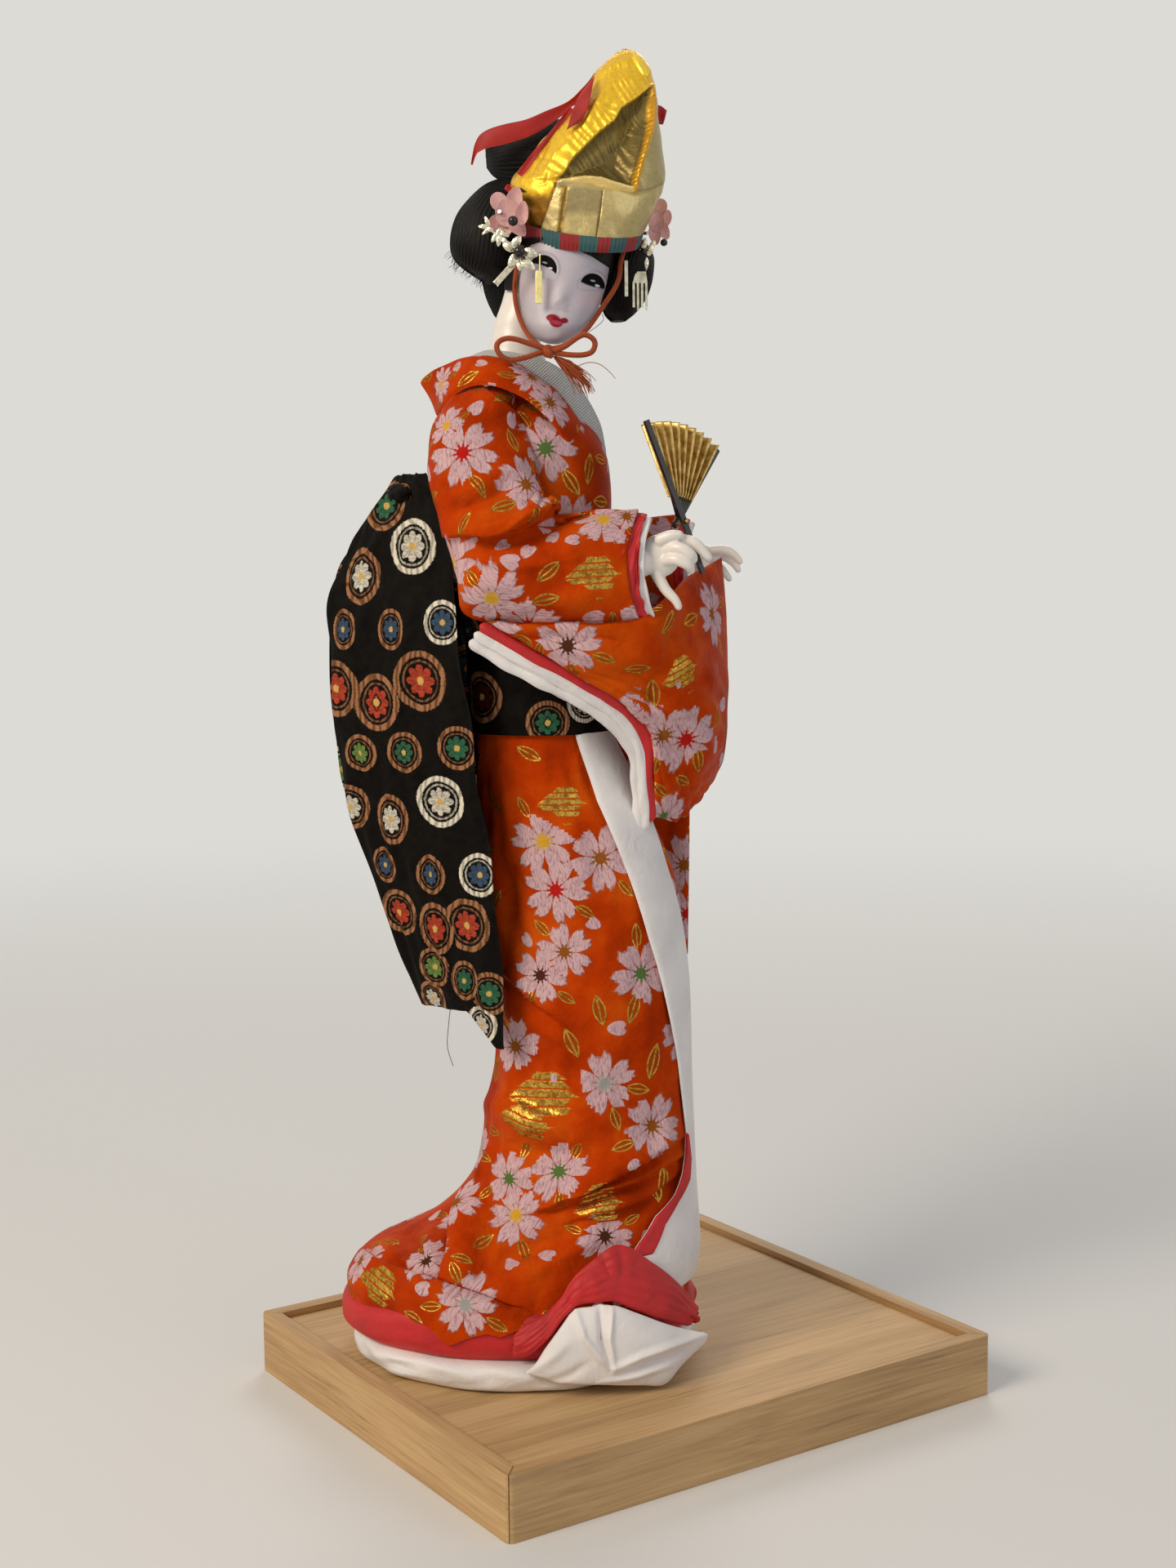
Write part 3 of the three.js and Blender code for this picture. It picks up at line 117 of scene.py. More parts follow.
class Signal:
    """A number in a shader tree. Each sign and method adds one Math node, so that a formula can be written
    out; a | b is the larger of two numbers and a & b the smaller."""

    def __init__(self, tree, source, output=0):
        self.tree, self.socket = tree, source.outputs[output]

    def math(self, operation, *values):
        return Signal(self.tree,
                      node(self.tree, "Math", dict(enumerate((self,) + values)), operation=operation))

    def __add__(self, other):
        return self.math("ADD", other)

    def __mul__(self, other):
        return self.math("MULTIPLY", other)

    def __sub__(self, other):
        return self.math("SUBTRACT", other)

    def __rsub__(self, other):
        return Signal(self.tree, node(self.tree, "Math", {0: other, 1: self}, operation="SUBTRACT"))

    def __or__(self, other):
        return self.math("MAXIMUM", other)

    def __and__(self, other):
        return self.math("MINIMUM", other)

    def __abs__(self):
        return self.math("ABSOLUTE")

    def rises(self, start, end):
        """A ramp from 0 at start to 1 at end, flat beyond them."""
        return Signal(self.tree, node(self.tree, "MapRange", {0: self, 1: start, 2: end}))


def mixed(tree, share, below, colour, **settings):
    """The colour below, covered by another colour by a share 0..1."""
    return node(tree, "Mix", {0: share, 6: below, 7: colour}, data_type="RGBA", **settings).outputs[2]


def material(name):
    """An empty node material and its tree."""
    made = bpy.data.materials.new(name)
    made.use_nodes = True
    made.node_tree.nodes.clear()
    return made, made.node_tree


def surface(tree, sockets):
    """Ends a material's tree with a Principled surface of the given sockets."""
    node(tree, "OutputMaterial", {"Surface": node(tree, "BsdfPrincipled", sockets)})


def object_noise(tree, scale, detail=2.0, **more):
    """Noise over the piece's own metres."""
    return node(tree, "TexNoise", {"Vector": node(tree, "TexCoord").outputs["Object"], "Scale": scale,
                                   "Detail": detail, **more})


def ramp(tree, source, stops, interpolation="LINEAR"):
    """A colour ramp over source, with (place, hex or grey) stops."""
    made = node(tree, "ValToRGB", {0: source})
    made.color_ramp.interpolation = interpolation
    band = made.color_ramp.elements
    while len(band) < len(stops):
        band.new(0.5)
    for element, (place, colour) in zip(band, stops):
        element.position = place
        element.color = linear(colour) if isinstance(colour, str) else (colour, colour, colour, 1)
    return made


def drifting(name, scale, detail, tones, rough, sockets, relief=None, **noise):
    """A material whose colour and gloss drift with one noise: tones is a hex colour or the stops of its ramp,
    rough the roughness or its two ends, relief the strength and depth in metres of a bump."""
    made, tree = material(name)
    tone = object_noise(tree, scale, detail, **noise)
    sockets["Base Color"] = linear(tones) if isinstance(tones, str) else ramp(tree, tone, tones)
    sockets["Roughness"] = rough
    if isinstance(rough, tuple):
        sockets["Roughness"] = node(tree, "MapRange", {0: tone, 3: rough[0], 4: rough[1]})
    if relief:
        sockets["Normal"] = node(tree, "Bump", {"Height": tone, "Strength": relief[0], "Distance": relief[1]})
    surface(tree, sockets)
    return made


FLOOR_SIZE = 12.0
floor_mesh = bpy.data.meshes.new("floor")
half = FLOOR_SIZE / 2
floor_mesh.from_pydata([(-half, -half, 0), (half, -half, 0), (half, half, 0), (-half, half, 0)], [],
                       [(0, 1, 2, 3)])
floor = bpy.data.objects.new("floor", floor_mesh)
scene.collection.objects.link(floor)
floor_material, tree = material("matt studio floor")
shade = node(tree, "BsdfPrincipled", {"Base Color": linear("#dedfe0"), "Roughness": 0.8})
WORLD_LIGHT, WORLD_SEEN = 0.36, linear("#dddbd6")
FLOOR_FADE = (0.4, 1.7)
away = node(tree, "VectorMath", {0: node(tree, "TexCoord").outputs["Object"]},
            operation="LENGTH").outputs["Value"]
fade = node(tree, "MapRange", {0: away, 1: FLOOR_FADE[0], 2: FLOOR_FADE[1]}, interpolation_type="SMOOTHSTEP")
fade = Signal(tree, fade) * Signal(tree, node(tree, "LightPath"), "Is Camera Ray")
far_floor = node(tree, "Emission", {"Color": WORLD_SEEN, "Strength": 1.0})
node(tree, "OutputMaterial", {"Surface": node(tree, "MixShader", {0: fade, 1: shade, 2: far_floor})})
floor_mesh.materials.append(floor_material)

world = bpy.data.worlds.new("studio")
scene.world = world
world.use_nodes = True
tree = world.node_tree
tree.nodes.clear()
rays = node(tree, "LightPath")
seen = Signal(tree, rays, "Is Camera Ray") | Signal(tree, rays, "Is Transmission Ray")
seen = seen | Signal(tree, rays, "Is Glossy Ray")
lit = node(tree, "Background", {"Color": linear("#f4f3f1"), "Strength": WORLD_LIGHT})
shown = node(tree, "Background", {"Color": WORLD_SEEN, "Strength": 1.0})
node(tree, "OutputWorld", {"Surface": node(tree, "MixShader", {0: seen, 1: lit, 2: shown})})

# Each lamp: name, place in metres, size, watts and colour; all of them aim at the doll's waist
LAMPS = (
    ("key", (-1.62, -0.25, 1.3), 0.95, 26.0, "#fff0da"),
    ("fill", (0.7, -1.9, 0.9), 1.6, 5.5, "#eef2ff"),
    ("back", (1.0, 1.2, 1.4), 0.9, 9.0, "#fff6ea"),
)
AIM = Vector((0, 0, 0.24))
for name, place, size, watts, colour in LAMPS:
    lamp = bpy.data.lights.new(name, "AREA")
    lamp.shape = "DISK"
    lamp.size = size
    lamp.energy = watts
    lamp.color = linear(colour)[:3]
    holder = bpy.data.objects.new(name, lamp)
    scene.collection.objects.link(holder)
    holder.location = place
    holder.rotation_euler = (AIM - Vector(place)).to_track_quat("-Z", "Y").to_euler()
scene.view_settings.view_transform = "Standard"

# Wooden stand
# A low box of pale paulownia: four mitred rails round a panel let in flush with their inner ledge.
# The wood is planed and oiled, so the grain shows as fine long streaks with a few darker lines.

CORNER_ROUND, ROUNDED_FROM = 0.6 * MM, math.radians(40)


def finish_node(name, finish):
    """Gives a kept CAD node its finish."""
    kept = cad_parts[name]
    kept.data.materials.clear()
    kept.data.materials.append(finish)
    return kept


def ease(kept, width, angle):
    """Welds a CAD node's corners, then rounds its edges that turn more than the angle."""
    kept.modifiers.new("weld", "WELD").merge_threshold = 0.00001
    eased = kept.modifiers.new("eased edges", "BEVEL")
    eased.width, eased.segments, eased.limit_method, eased.angle_limit = width, 2, "ANGLE", angle


def paulownia(name, along_y, base, offset):
    """Planed, oiled paulownia: grain streaks about 1 mm apart and slow warm bands along the board."""
    made, tree = material(name)
    place = node(tree, "TexCoord").outputs["Object"]
    turned = node(tree, "Mapping", {"Vector": place, "Location": (offset, offset * 0.7, 0),
                                    "Rotation": (0, 0, math.pi / 2 if along_y else 0)})
    bend = node(tree, "TexNoise", {"Vector": turned, "Scale": 9.0, "Detail": 2.0})
    drawn = node(tree, "Mapping", {"Vector": turned, "Scale": (9.0, 260.0, 260.0)})
    swayed = node(tree, "VectorMath", {0: drawn, 1: (bend, "Color")}, operation="ADD")
    fine = node(tree, "TexNoise", {"Vector": swayed, "Scale": 3.0, "Detail": 6.0, "Roughness": 0.62})
    broad_way = node(tree, "Mapping", {"Vector": turned, "Scale": (3.0, 38.0, 38.0)})
    broad = node(tree, "TexNoise", {"Vector": broad_way, "Scale": 2.0, "Detail": 3.0, "Distortion": 0.4})
    both = node(tree, "Mix", {"Factor": 0.45, 2: (fine, "Fac"), 3: (broad, "Fac")}, data_type="FLOAT")
    colour = ramp(tree, both, ((0.3, base[0]), (0.46, base[1]), (0.56, base[2]), (0.72, base[3])))
    pores = ramp(tree, (fine, "Fac"), ((0.30, 0.0), (0.36, 1.0)))
    dark = mixed(tree, 0.25, colour, pores, blend_type="MULTIPLY")
    rough = node(tree, "MapRange", {0: (fine, "Fac"), 3: 0.5, 4: 0.68})
    relief = node(tree, "Bump", {"Height": (fine, "Fac"), "Strength": 0.25, "Distance": 0.0004})
    surface(tree, {"Base Color": dark, "Roughness": rough, "Normal": relief})
    return made


RAIL_TONES = ("#8f6f49", "#b08d5f", "#c09c6c", "#cdae80")
PANEL_TONES = ("#977851", "#b79566", "#c5a375", "#d2b488")
stand_boards = (("stand_front_rail", False, RAIL_TONES, 0.0), ("stand_back_rail", False, RAIL_TONES, 0.3),
                ("stand_right_rail", True, RAIL_TONES, 0.6), ("stand_left_rail", True, RAIL_TONES, 0.9),
                ("stand_panel", False, PANEL_TONES, 1.3), ("stand_batten", True, RAIL_TONES, 1.7))
for name, along_y, tones, offset in stand_boards:
    board = finish_node(name, paulownia(f"oiled paulownia, {name}", along_y, tones, offset))
    ease(board, CORNER_ROUND, ROUNDED_FROM)

# Two steel wires run up from the stand inside the skirt and carry the straw-wound body
wire_steel = drifting("drawn steel wire", 900.0, 2.0, "#a9abad", (0.25, 0.42), {"Metallic": 1.0})
straw, tree = material("wound rice straw")
bands = node(tree, "TexWave", {"Vector": node(tree, "TexCoord").outputs["Object"], "Scale": 160.0,
                               "Distortion": 2.0}, bands_direction="Z")
colour = ramp(tree, bands, ((0.0, "#8a7440"), (1.0, "#c9b27a")))
relief = node(tree, "Bump", {"Height": bands, "Strength": 0.6, "Distance": 0.0008})
surface(tree, {"Base Color": colour, "Roughness": 0.8, "Normal": relief})
for name in ("leg_wire_right", "leg_wire_left", "right_pin", "left_pin"):
    finish_node(name, wire_steel)
finish_node("torso", straw)

# White hem pad
# The under-kimono's hem, white silk over a thick roll of wadding, lies on the stand and carries the rest.
# It is one soft roll with a few pinched folds where the cloth is gathered at the front corner.

DOLL_PLACE = np.array([-17.7, 2.3, 20.5])


def on_stand(points):
    """Doll points (x to the photo's right, y away, z above the panel, in mm), turned about z onto the
    stand."""
    x, y, z = points[..., 0], points[..., 1], points[..., 2]
    turned = (math.cos(CAMERA_WAY) * x + math.sin(CAMERA_WAY) * y,
              math.cos(CAMERA_WAY) * y - math.sin(CAMERA_WAY) * x, z)
    return np.stack(turned, -1) + DOLL_PLACE


def from_stand(points):
    """The turn back: world mm points as doll points."""
    x, y, z = np.moveaxis(points - DOLL_PLACE, -1, 0)
    return np.stack((math.cos(CAMERA_WAY) * x - math.sin(CAMERA_WAY) * y,
                     math.cos(CAMERA_WAY) * y + math.sin(CAMERA_WAY) * x, z), -1)


def smooth(stations, shares):
    """Catmull-Rom spline through the stations, at shares 0..1 of the way; each row of stations is one
    point."""
    stations = np.asarray(stations, float)
    place = np.clip(np.asarray(shares, float), 0, 1) * (len(stations) - 1)
    first = np.minimum(place.astype(int), len(stations) - 2)
    t = (place - first)[..., None] if stations.ndim > 1 else place - first
    ends = np.concatenate([2 * stations[:1] - stations[1:2], stations, 2 * stations[-1:] - stations[-2:-1]])
    a, b, c, d = (ends[first + i] for i in range(4))
    return b + 0.5 * t * (c - a + t * (2 * a - 5 * b + 4 * c - d + t * (3 * (b - c) + d - a)))


def even(stations, count):
    """The spline's points at equal steps of its length."""
    fine = smooth(stations, np.linspace(0, 1, 400))
    run = np.concatenate([[0], np.cumsum(np.linalg.norm(np.diff(fine, axis=0), axis=1))])
    want = np.linspace(0, run[-1], count)
    return np.stack([np.interp(want, run, fine[:, i]) for i in range(fine.shape[1])], 1)


def grid_normals(points, closed):
    """Unit normals of a grid of points (rows, columns, 3): the cross product of its two directions."""
    if closed:
        across = np.roll(points, -1, 1) - np.roll(points, 1, 1)
    else:
        across = np.gradient(points, axis=1)
    up = np.gradient(points, axis=0)
    normal = np.cross(across, up)
    return normal / np.maximum(np.linalg.norm(normal, axis=-1, keepdims=True), 1e-9)


def lay(name, points, finish, closed=False, loop=False, caps=False, body="root", slot=None, stands_for=()):
    """A piece from a grid of doll points: rows run up, columns across. closed joins the last column to the
    first, loop the last row to the first, and caps fill a tube's ends. The UV map "cloth" holds mm along row
    and column."""
    rows, columns = points.shape[:2]
    number = np.arange(rows * columns).reshape(rows, columns)
    wide, tall = columns - (not closed), rows - (not loop)
    left, low = np.arange(wide), np.arange(tall)
    right, high = (left + 1) % columns, (low + 1) % rows
    corner = ((low, left), (low, right), (high, right), (high, left))
    faces = np.stack([number[np.ix_(*at)] for at in corner], -1).reshape(-1, 4)
    middle = np.concatenate([points, points[:, :1]], 1)[rows // 2]
    edge = np.concatenate([points, points[:1]])[:, 0]
    u, v = (np.concatenate([[0], np.cumsum(np.linalg.norm(np.diff(line, axis=0), axis=1))])
            for line in (middle, edge))
    steps = ((low, left), (low, left + 1), (low + 1, left + 1), (low + 1, left))
    uv = np.stack([np.stack(np.meshgrid(u[across], v[up]), -1) for up, across in steps], -2).reshape(-1, 2)
    corners = faces.tolist()
    if caps:
        corners += [number[0, ::-1].tolist(), number[-1].tolist()]
        uv = np.concatenate([uv, np.zeros((2 * columns, 2))])
    mesh = bpy.data.meshes.new(name)
    mesh.from_pydata((on_stand(points).reshape(-1, 3) * MM).tolist(), [], corners)
    mesh.uv_layers.new(name="cloth").data.foreach_set("uv", uv.astype(np.float32).ravel())
    mesh.shade_smooth()
    mesh.materials.append(finish)
    piece = bpy.data.objects.new(name, mesh)
    scene.collection.objects.link(piece)
    return dress(piece, body, slot, stands_for)


def solid(name, points, finish, **more):
    """A closed piece from a grid that is a tube or a folded sheet, with its ends capped."""
    return lay(name, points, finish, closed=True, caps=True, **more)


def full_turn(count):
    """Equal steps round a circle."""
    return np.linspace(0, 2 * np.pi, count + 1)[:-1]


def stacked(ovals, rows, columns):
    """A closed grid through level ovals, each a z and its four sides, and the ovals at its rows."""
    stations = smooth(ovals, np.linspace(0, 1, rows))
    shape = oval(stations[:, None, 1:], full_turn(columns)[None])
    return np.concatenate([shape, np.broadcast_to(stations[:, None, :1], shape.shape[:2] + (1,))],
                          -1), stations


def thicken(piece, depth):
    """Gives a sheet its cloth's thickness inwards, in mm."""
    wall = piece.modifiers.new("cloth", "SOLIDIFY")
    wall.thickness, wall.offset = depth * MM, -1


def dress(piece, body, slot, stands_for=()):
    """Rides the piece on its body and hides the nodes that it stands for; slot is not used."""
    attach(piece, body)
    if stands_for:
        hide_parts(*stands_for)
    return piece


def as_seen(points, normals):
    """A grid's columns and rows in the photo, its photo pixels per mm, and how far (0..1) it faces the
    camera."""
    place = on_stand(points)
    facing = on_stand(points + normals) - place
    away = place - CAMERA_PLACE
    seen = np.clip(-(facing * away).sum(-1) / np.linalg.norm(away, axis=-1) / 0.25, 0, 1)
    column, row, depth = pixels(place)
    return column, row, LENS / SENSOR * PHOTO_HEIGHT / depth, seen


def off_photo(column, row, y):
    """The doll point that lies y mm away and shows at a photo pixel."""
    focal = LENS / SENSOR * PHOTO_HEIGHT
    column, row, y = (np.asarray(k, float)[..., None] for k in np.broadcast_arrays(column, row, y))
    ray = (ahead + camera_right * (column - PHOTO_WIDTH / 2) / focal
           - camera_up * (row - PHOTO_HEIGHT / 2) / focal)
    eye, way = from_stand(CAMERA_PLACE[None]), from_stand(ray + DOLL_PLACE)
    return eye + way * (y - eye[..., 1:2]) / way[..., 1:2]


def line_gap(column, row, line):
    """Each pixel's distance to a line of photo pixels, how far along the line (0..1) the nearest spot is,
    and on which side of the line the pixel lies: 1 to the right of its way, -1 to the left."""
    line = np.asarray(line, float)
    nearest, where, side = np.full(column.shape, 1e9), np.zeros(column.shape), np.ones(column.shape)
    for i, (start, stop) in enumerate(zip(line[:-1], line[1:])):
        run = stop - start
        held = np.clip(((column - start[0]) * run[0] + (row - start[1]) * run[1]) / (run @ run), 0, 1)
        gap = np.hypot(column - start[0] - held * run[0], row - start[1] - held * run[1])
        where = np.where(gap < nearest, (i + held) / (len(line) - 1), where)
        side = np.where(gap < nearest, np.sign(run[0] * (row - start[1]) - run[1] * (column - start[0])),
                        side)
        nearest = np.minimum(nearest, gap)
    return nearest, where, side


def creased(points, normals, creases):
    """Moves a grid along its normals by each crease: a line of photo pixels, its width and its height in mm.
    A point's share is a bell of its distance to the line over the width, on the side that the camera sees."""
    column, row, size, seen = as_seen(points, normals)
    lift = np.zeros(column.shape)
    for line, width, height in creases:
        gap, where, side = line_gap(column, row, line)
        ends = np.sin(np.pi * np.clip(where, 0.04, 0.96)) ** 0.5
        lift += height * ends * np.exp(-(gap / size / width) ** 2)
    return points + normals * (lift * seen)[..., None]


def pleated(points, normals, pleats):
    """Lays folds in a grid: right of each line's way the cloth stands height mm proud and falls off over the
    width, and just left of it, it dips by half as much."""
    column, row, size, seen = as_seen(points, normals)
    lift = np.zeros(column.shape)
    for line, width, height in pleats:
        gap, where, side = line_gap(column, row, line)
        gap = gap / size
        ends = np.sin(np.pi * np.clip(where, 0.03, 0.97)) ** 0.6
        proud = np.where(side > 0, np.exp(-(gap / width) ** 2), -0.55 * np.exp(-(gap / width / 0.45) ** 2))
        lift += height * ends * proud * np.tanh(gap / 0.5)
    return points + normals * (lift * seen)[..., None]


def ripples(u, v, seed, waves, size):
    """A sum of waves of random way and phase over the two shares u and v, about size high."""
    draw = np.random.default_rng(seed)
    total = np.zeros(np.broadcast(u, v).shape)
    for _ in range(waves):
        across, up = draw.uniform(-1, 1, 2) * draw.uniform(2, 9)
        total += np.sin(2 * np.pi * (across * u + up * v) + draw.uniform(0, 6.28))
    return total * size / math.sqrt(waves)


def silk(name, colour, shadow, sheen_tint, relief=0.3):
    """Plain habutai silk: a fine even weave with soft wrinkles, a low sheen and faint cloudy tone."""
    made, tree = material(name)
    cloth = node(tree, "UVMap", uv_map="cloth")
    base = ramp(tree, object_noise(tree, 60.0, 4.0), ((0.3, shadow), (0.65, colour)))
    warp, weft = (node(tree, "TexWave", {"Vector": cloth, "Scale": scale, "Distortion": 0.6, "Detail": 1.0},
                       bands_direction=way) for scale, way in ((0.55, "X"), (0.5, "Y")))
    fine = node(tree, "Bump", {"Height": Signal(tree, warp) + Signal(tree, weft), "Strength": relief * 0.5,
                               "Distance": 0.0001})
    soft = node(tree, "Bump", {"Height": object_noise(tree, 130.0, 5.0, Distortion=1.2), "Strength": relief,
                               "Distance": 0.0016, "Normal": fine})
    surface(tree, {"Base Color": base, "Roughness": 0.62, "Normal": soft, "Sheen Weight": 0.35,
                   "Sheen Roughness": 0.4, "Sheen Tint": linear(sheen_tint)})
    return made


white_silk = silk("white habutai silk", "#e9e6e5", "#dad7d8", "#ffffff")
red_silk = silk("crimson habutai silk", "#c41c20", "#a8161b", "#ff8060")


def oval(sides, angle):
    """An oval round the doll at an angle from her left: sides holds its left and right x and near and far
    y."""
    left, right, near, far = np.moveaxis(np.asarray(sides, float), -1, 0)
    return np.stack(((left + right) / 2 + (right - left) / 2 * np.cos(angle),
                     (near + far) / 2 + (far - near) / 2 * np.sin(angle)), -1)


def roll(name, sides, low, high, width, lean, waves, finish, **more):
    """A stuffed roll of cloth on an oval: at each angle round it, the section is a rounded box width deep,
    flat underneath, leaning out by lean mm at its foot, and the waves let its skin out and in."""
    turn = full_turn(360)[:, None]
    high = high if np.isscalar(high) else high[:, None]
    section = full_turn(48)[None]
    out = np.sign(np.cos(section)) * np.abs(np.cos(section)) ** 0.7
    rise = np.sign(np.sin(section)) * np.abs(np.sin(section)) ** 0.7
    tall = high - low
    skin = ripples(turn / (2 * np.pi) * 3, section / 6.28, *waves) * np.clip(out, 0, 1)
    reach = (out - 1) * width / 2 - lean * (rise + 1) / 2 + skin * (1 - np.clip(rise, 0, 1) ** 4)
    edges = np.stack(np.broadcast_arrays(sides[0] - reach, sides[1] + reach, sides[2] - reach,
                                         sides[3] + reach), -1)
    flat = oval(edges, turn)
    z = low + tall * (0.5 + rise / 2) + 0 * turn
    return lay(name, np.concatenate([flat, z[..., None]], -1), finish, closed=True, loop=True, **more)


white_hem = roll("white_hem_pad", (-82, 43, -56, 53), 0.0, 10.2, 16, -1.5, (3, 18, 0.6), white_silk,
                 slot="white_silk", stands_for=("white_hem",))

# Red hem pad
# The kimono's own hem is lined in crimson silk, stuffed and rolled out under the brocade's edge.

RED_SIDES, RED_TOP = (-87, 44, -52, 51), 21.2
RED_RISE = ((415, 0), (456, 3.0), (500, 5.2), (560, 6.4), (620, 6.4), (660, 6.0), (730, 5.0), (800, 0))
round_hem = full_turn(360)
hem_line = oval(np.broadcast_to(RED_SIDES, (360, 4)), round_hem)
column, row, depth = pixels(on_stand(np.concatenate([hem_line, np.full((360, 1), RED_TOP)], 1)))
near_side = np.sin(round_hem + 0.55) < 0
rise = np.where(near_side, np.interp(column, *np.array(RED_RISE).T), 0)
red_hem = roll("red_hem_pad", RED_SIDES, 9.6, RED_TOP + rise, 15, -1.0, (8, 10, 0.35), red_silk,
               slot="red_silk", stands_for=("red_hem",))

# Skirt of the kimono
# Orange silk brocade over a padded body: it falls close to the knees and spreads into a padded train.
# Cherry blossoms in pale pink thread, gold leaves and drifts of gold cloud are woven into it.

ORANGE, ORANGE_DEEP, ORANGE_LIGHT = "#b73906", "#932805", "#c9500d"
PETAL, PETAL_SHADE, GOLD, GOLD_DEEP = "#cfacb0", "#ad838c", "#c9a046", "#8a5f20"
HEARTS = {"red": "#b3201b", "green": "#56703c", "brown": "#8f5420", "gold": "#cf9f33", "grey": "#9b9c98",
          "dark": "#4d2b1f"}
NOTHING, BLOSSOM, LEAF, CLOUD, PETAL_ALONE = range(5)


def woven(name, thread, fraying):
    """A brocade's empty tree and what its figure is drawn from: the cloth's mm, the place on the motif,
    frayed by the noise of its thread, the motif's number and its coloured silk."""
    made, tree = material(name)
    cloth = node(tree, "UVMap", uv_map="cloth")
    jitter = node(tree, "VectorMath", {0: (object_noise(tree, thread), "Color"), 1: (0.5, 0.5, 0.5)},
                  operation="SUBTRACT")
    jitter = node(tree, "VectorMath", {0: jitter, "Scale": fraying}, operation="SCALE")
    motif = node(tree, "VectorMath", {0: node(tree, "UVMap", uv_map="motif"), 1: jitter}, operation="ADD")
    kind = Signal(tree, node(tree, "Attribute", attribute_name="kind"), "Fac")
    tint = node(tree, "Attribute", attribute_name="tint").outputs["Color"]
    return made, tree, cloth, motif, kind, tint


def brocade(name):
    """Silk satin ground with supplementary wefts: raised matt petals and flat, glinting gilt-paper leaves."""
    made, tree, cloth, motif, kind, tint = woven(name, 1100.0, 0.06)
    axes = node(tree, "SeparateXYZ", {0: motif})
    across, up = Signal(tree, axes, 0), Signal(tree, axes, 1)
    is_blossom, is_leaf, is_cloud, is_alone = (kind.math("COMPARE", float(number), 0.25)
                                               for number in (BLOSSOM, LEAF, CLOUD, PETAL_ALONE))
    radius = (across * across + up * up).math("SQRT")
    angle = up.math("ARCTAN2", across)
    fifth = angle.math("PINGPONG", math.pi / 5).math("DIVIDE", math.pi / 5)
    edge = Signal(tree, ramp(tree, fifth, ((0.0, 0.80), (0.12, 0.90), (0.28, 1.0), (0.5, 0.98), (0.7, 0.88),
                                           (0.87, 0.66), (1.0, 0.42))))
    ragged = (angle * 31.0).math("SINE") * fifth.rises(0.75, 0.3)
    inside = edge + ragged * 0.045 - radius
    blossom = is_blossom * inside.rises(0.0, 0.05)
    slim = up * (across * -0.35 + 1.35)
    petal_reach = (across * across + slim * slim).math("SQRT")
    notch = abs(up).rises(0.28, 0.0) * across.rises(0.3, 0.8)
    petals = blossom | is_alone * (0.95 - notch * 0.35 - petal_reach).rises(0.0, 0.08)
    rim = inside.rises(0.09, 0.05) * inside.rises(0.0, 0.02) * blossom
    tenth = angle.math("PINGPONG", math.pi / 10)
    heart = blossom * (radius.rises(0.19, 0.16) | tenth.rises(0.19, 0.11) * radius.rises(0.28, 0.24))
    spokes = tenth.rises(0.1, 0.04) * radius.rises(0.4, 0.34) * blossom
    lens = (1.0 - across * across) * 0.42 - abs(up)
    leaf = is_leaf * lens.rises(0.0, 0.04)
    leaf_line = lens.rises(0.15, 0.09) | abs(up).rises(0.08, 0.03)
    band = up * 6.5
    row_way = node(tree, "CombineXYZ", {0: across * 0.7, 1: band.math("FLOOR") * 3.7, 2: 0.0})
    row_noise = Signal(tree, node(tree, "TexNoise", {"Vector": row_way, "Scale": 1.3, "Detail": 1.0}))
    span = row_noise * 1.5 + abs(up) * -1.5
    slit = band.math("PINGPONG", 0.5).rises(0.06, 0.14)
    gilt = leaf * leaf_line | is_cloud * slit * (span - abs(across)).rises(-0.02, 0.05)

    tone = object_noise(tree, 35.0, 5.0, Roughness=0.6)
    stitch_way = node(tree, "Mapping", {"Vector": cloth, "Rotation": (0, 0, 0.6), "Scale": (1.9, 0.45, 1.0)})
    stitch = node(tree, "TexNoise", {"Vector": stitch_way, "Scale": 1.0, "Detail": 3.0, "Distortion": 0.7})
    glint = object_noise(tree, 420.0, 4.0, Distortion=1.5)
    colour = ramp(tree, tone, ((0.32, ORANGE_DEEP), (0.5, ORANGE), (0.68, ORANGE_LIGHT)))
    for share, paint in ((leaf * 0.7, linear("#93420f")),
                         (gilt, ramp(tree, glint, ((0.35, GOLD_DEEP), (0.6, GOLD)))),
                         (petals, ramp(tree, stitch, ((0.36, PETAL_SHADE), (0.52, PETAL)))),
                         (rim * 0.6, linear("#8f4a24")), (spokes * 0.7, linear("#8c5232")), (heart, tint)):
        colour = mixed(tree, share, colour, paint)
    twill = Signal(tree,
                   node(tree, "TexWave", {"Vector": cloth, "Scale": 0.42, "Distortion": 1.0, "Detail": 2.0},
                              bands_direction="DIAGONAL"))
    crepe = Signal(tree, object_noise(tree, 700.0))
    raised = petals * (Signal(tree, stitch) * 1.2 + 0.7) + gilt * (Signal(tree, glint) * 0.9)
    weave = node(tree, "Bump",
                 {"Height": raised + (twill + crepe) * 0.12, "Strength": 0.65, "Distance": 0.0004})
    relief = node(tree, "Bump", {"Height": object_noise(tree, 110.0, 4.0, Distortion=0.8), "Strength": 0.5,
                                 "Distance": 0.002, "Normal": weave})
    surface(tree,
            {"Base Color": colour, "Roughness": petals * 0.25 + (gilt * -0.14 + 0.47),
             "Metallic": gilt * 0.85,
                   "Normal": relief, "Specular IOR Level": 0.03, "Specular Tint": linear("#ff9a50")})
    return made


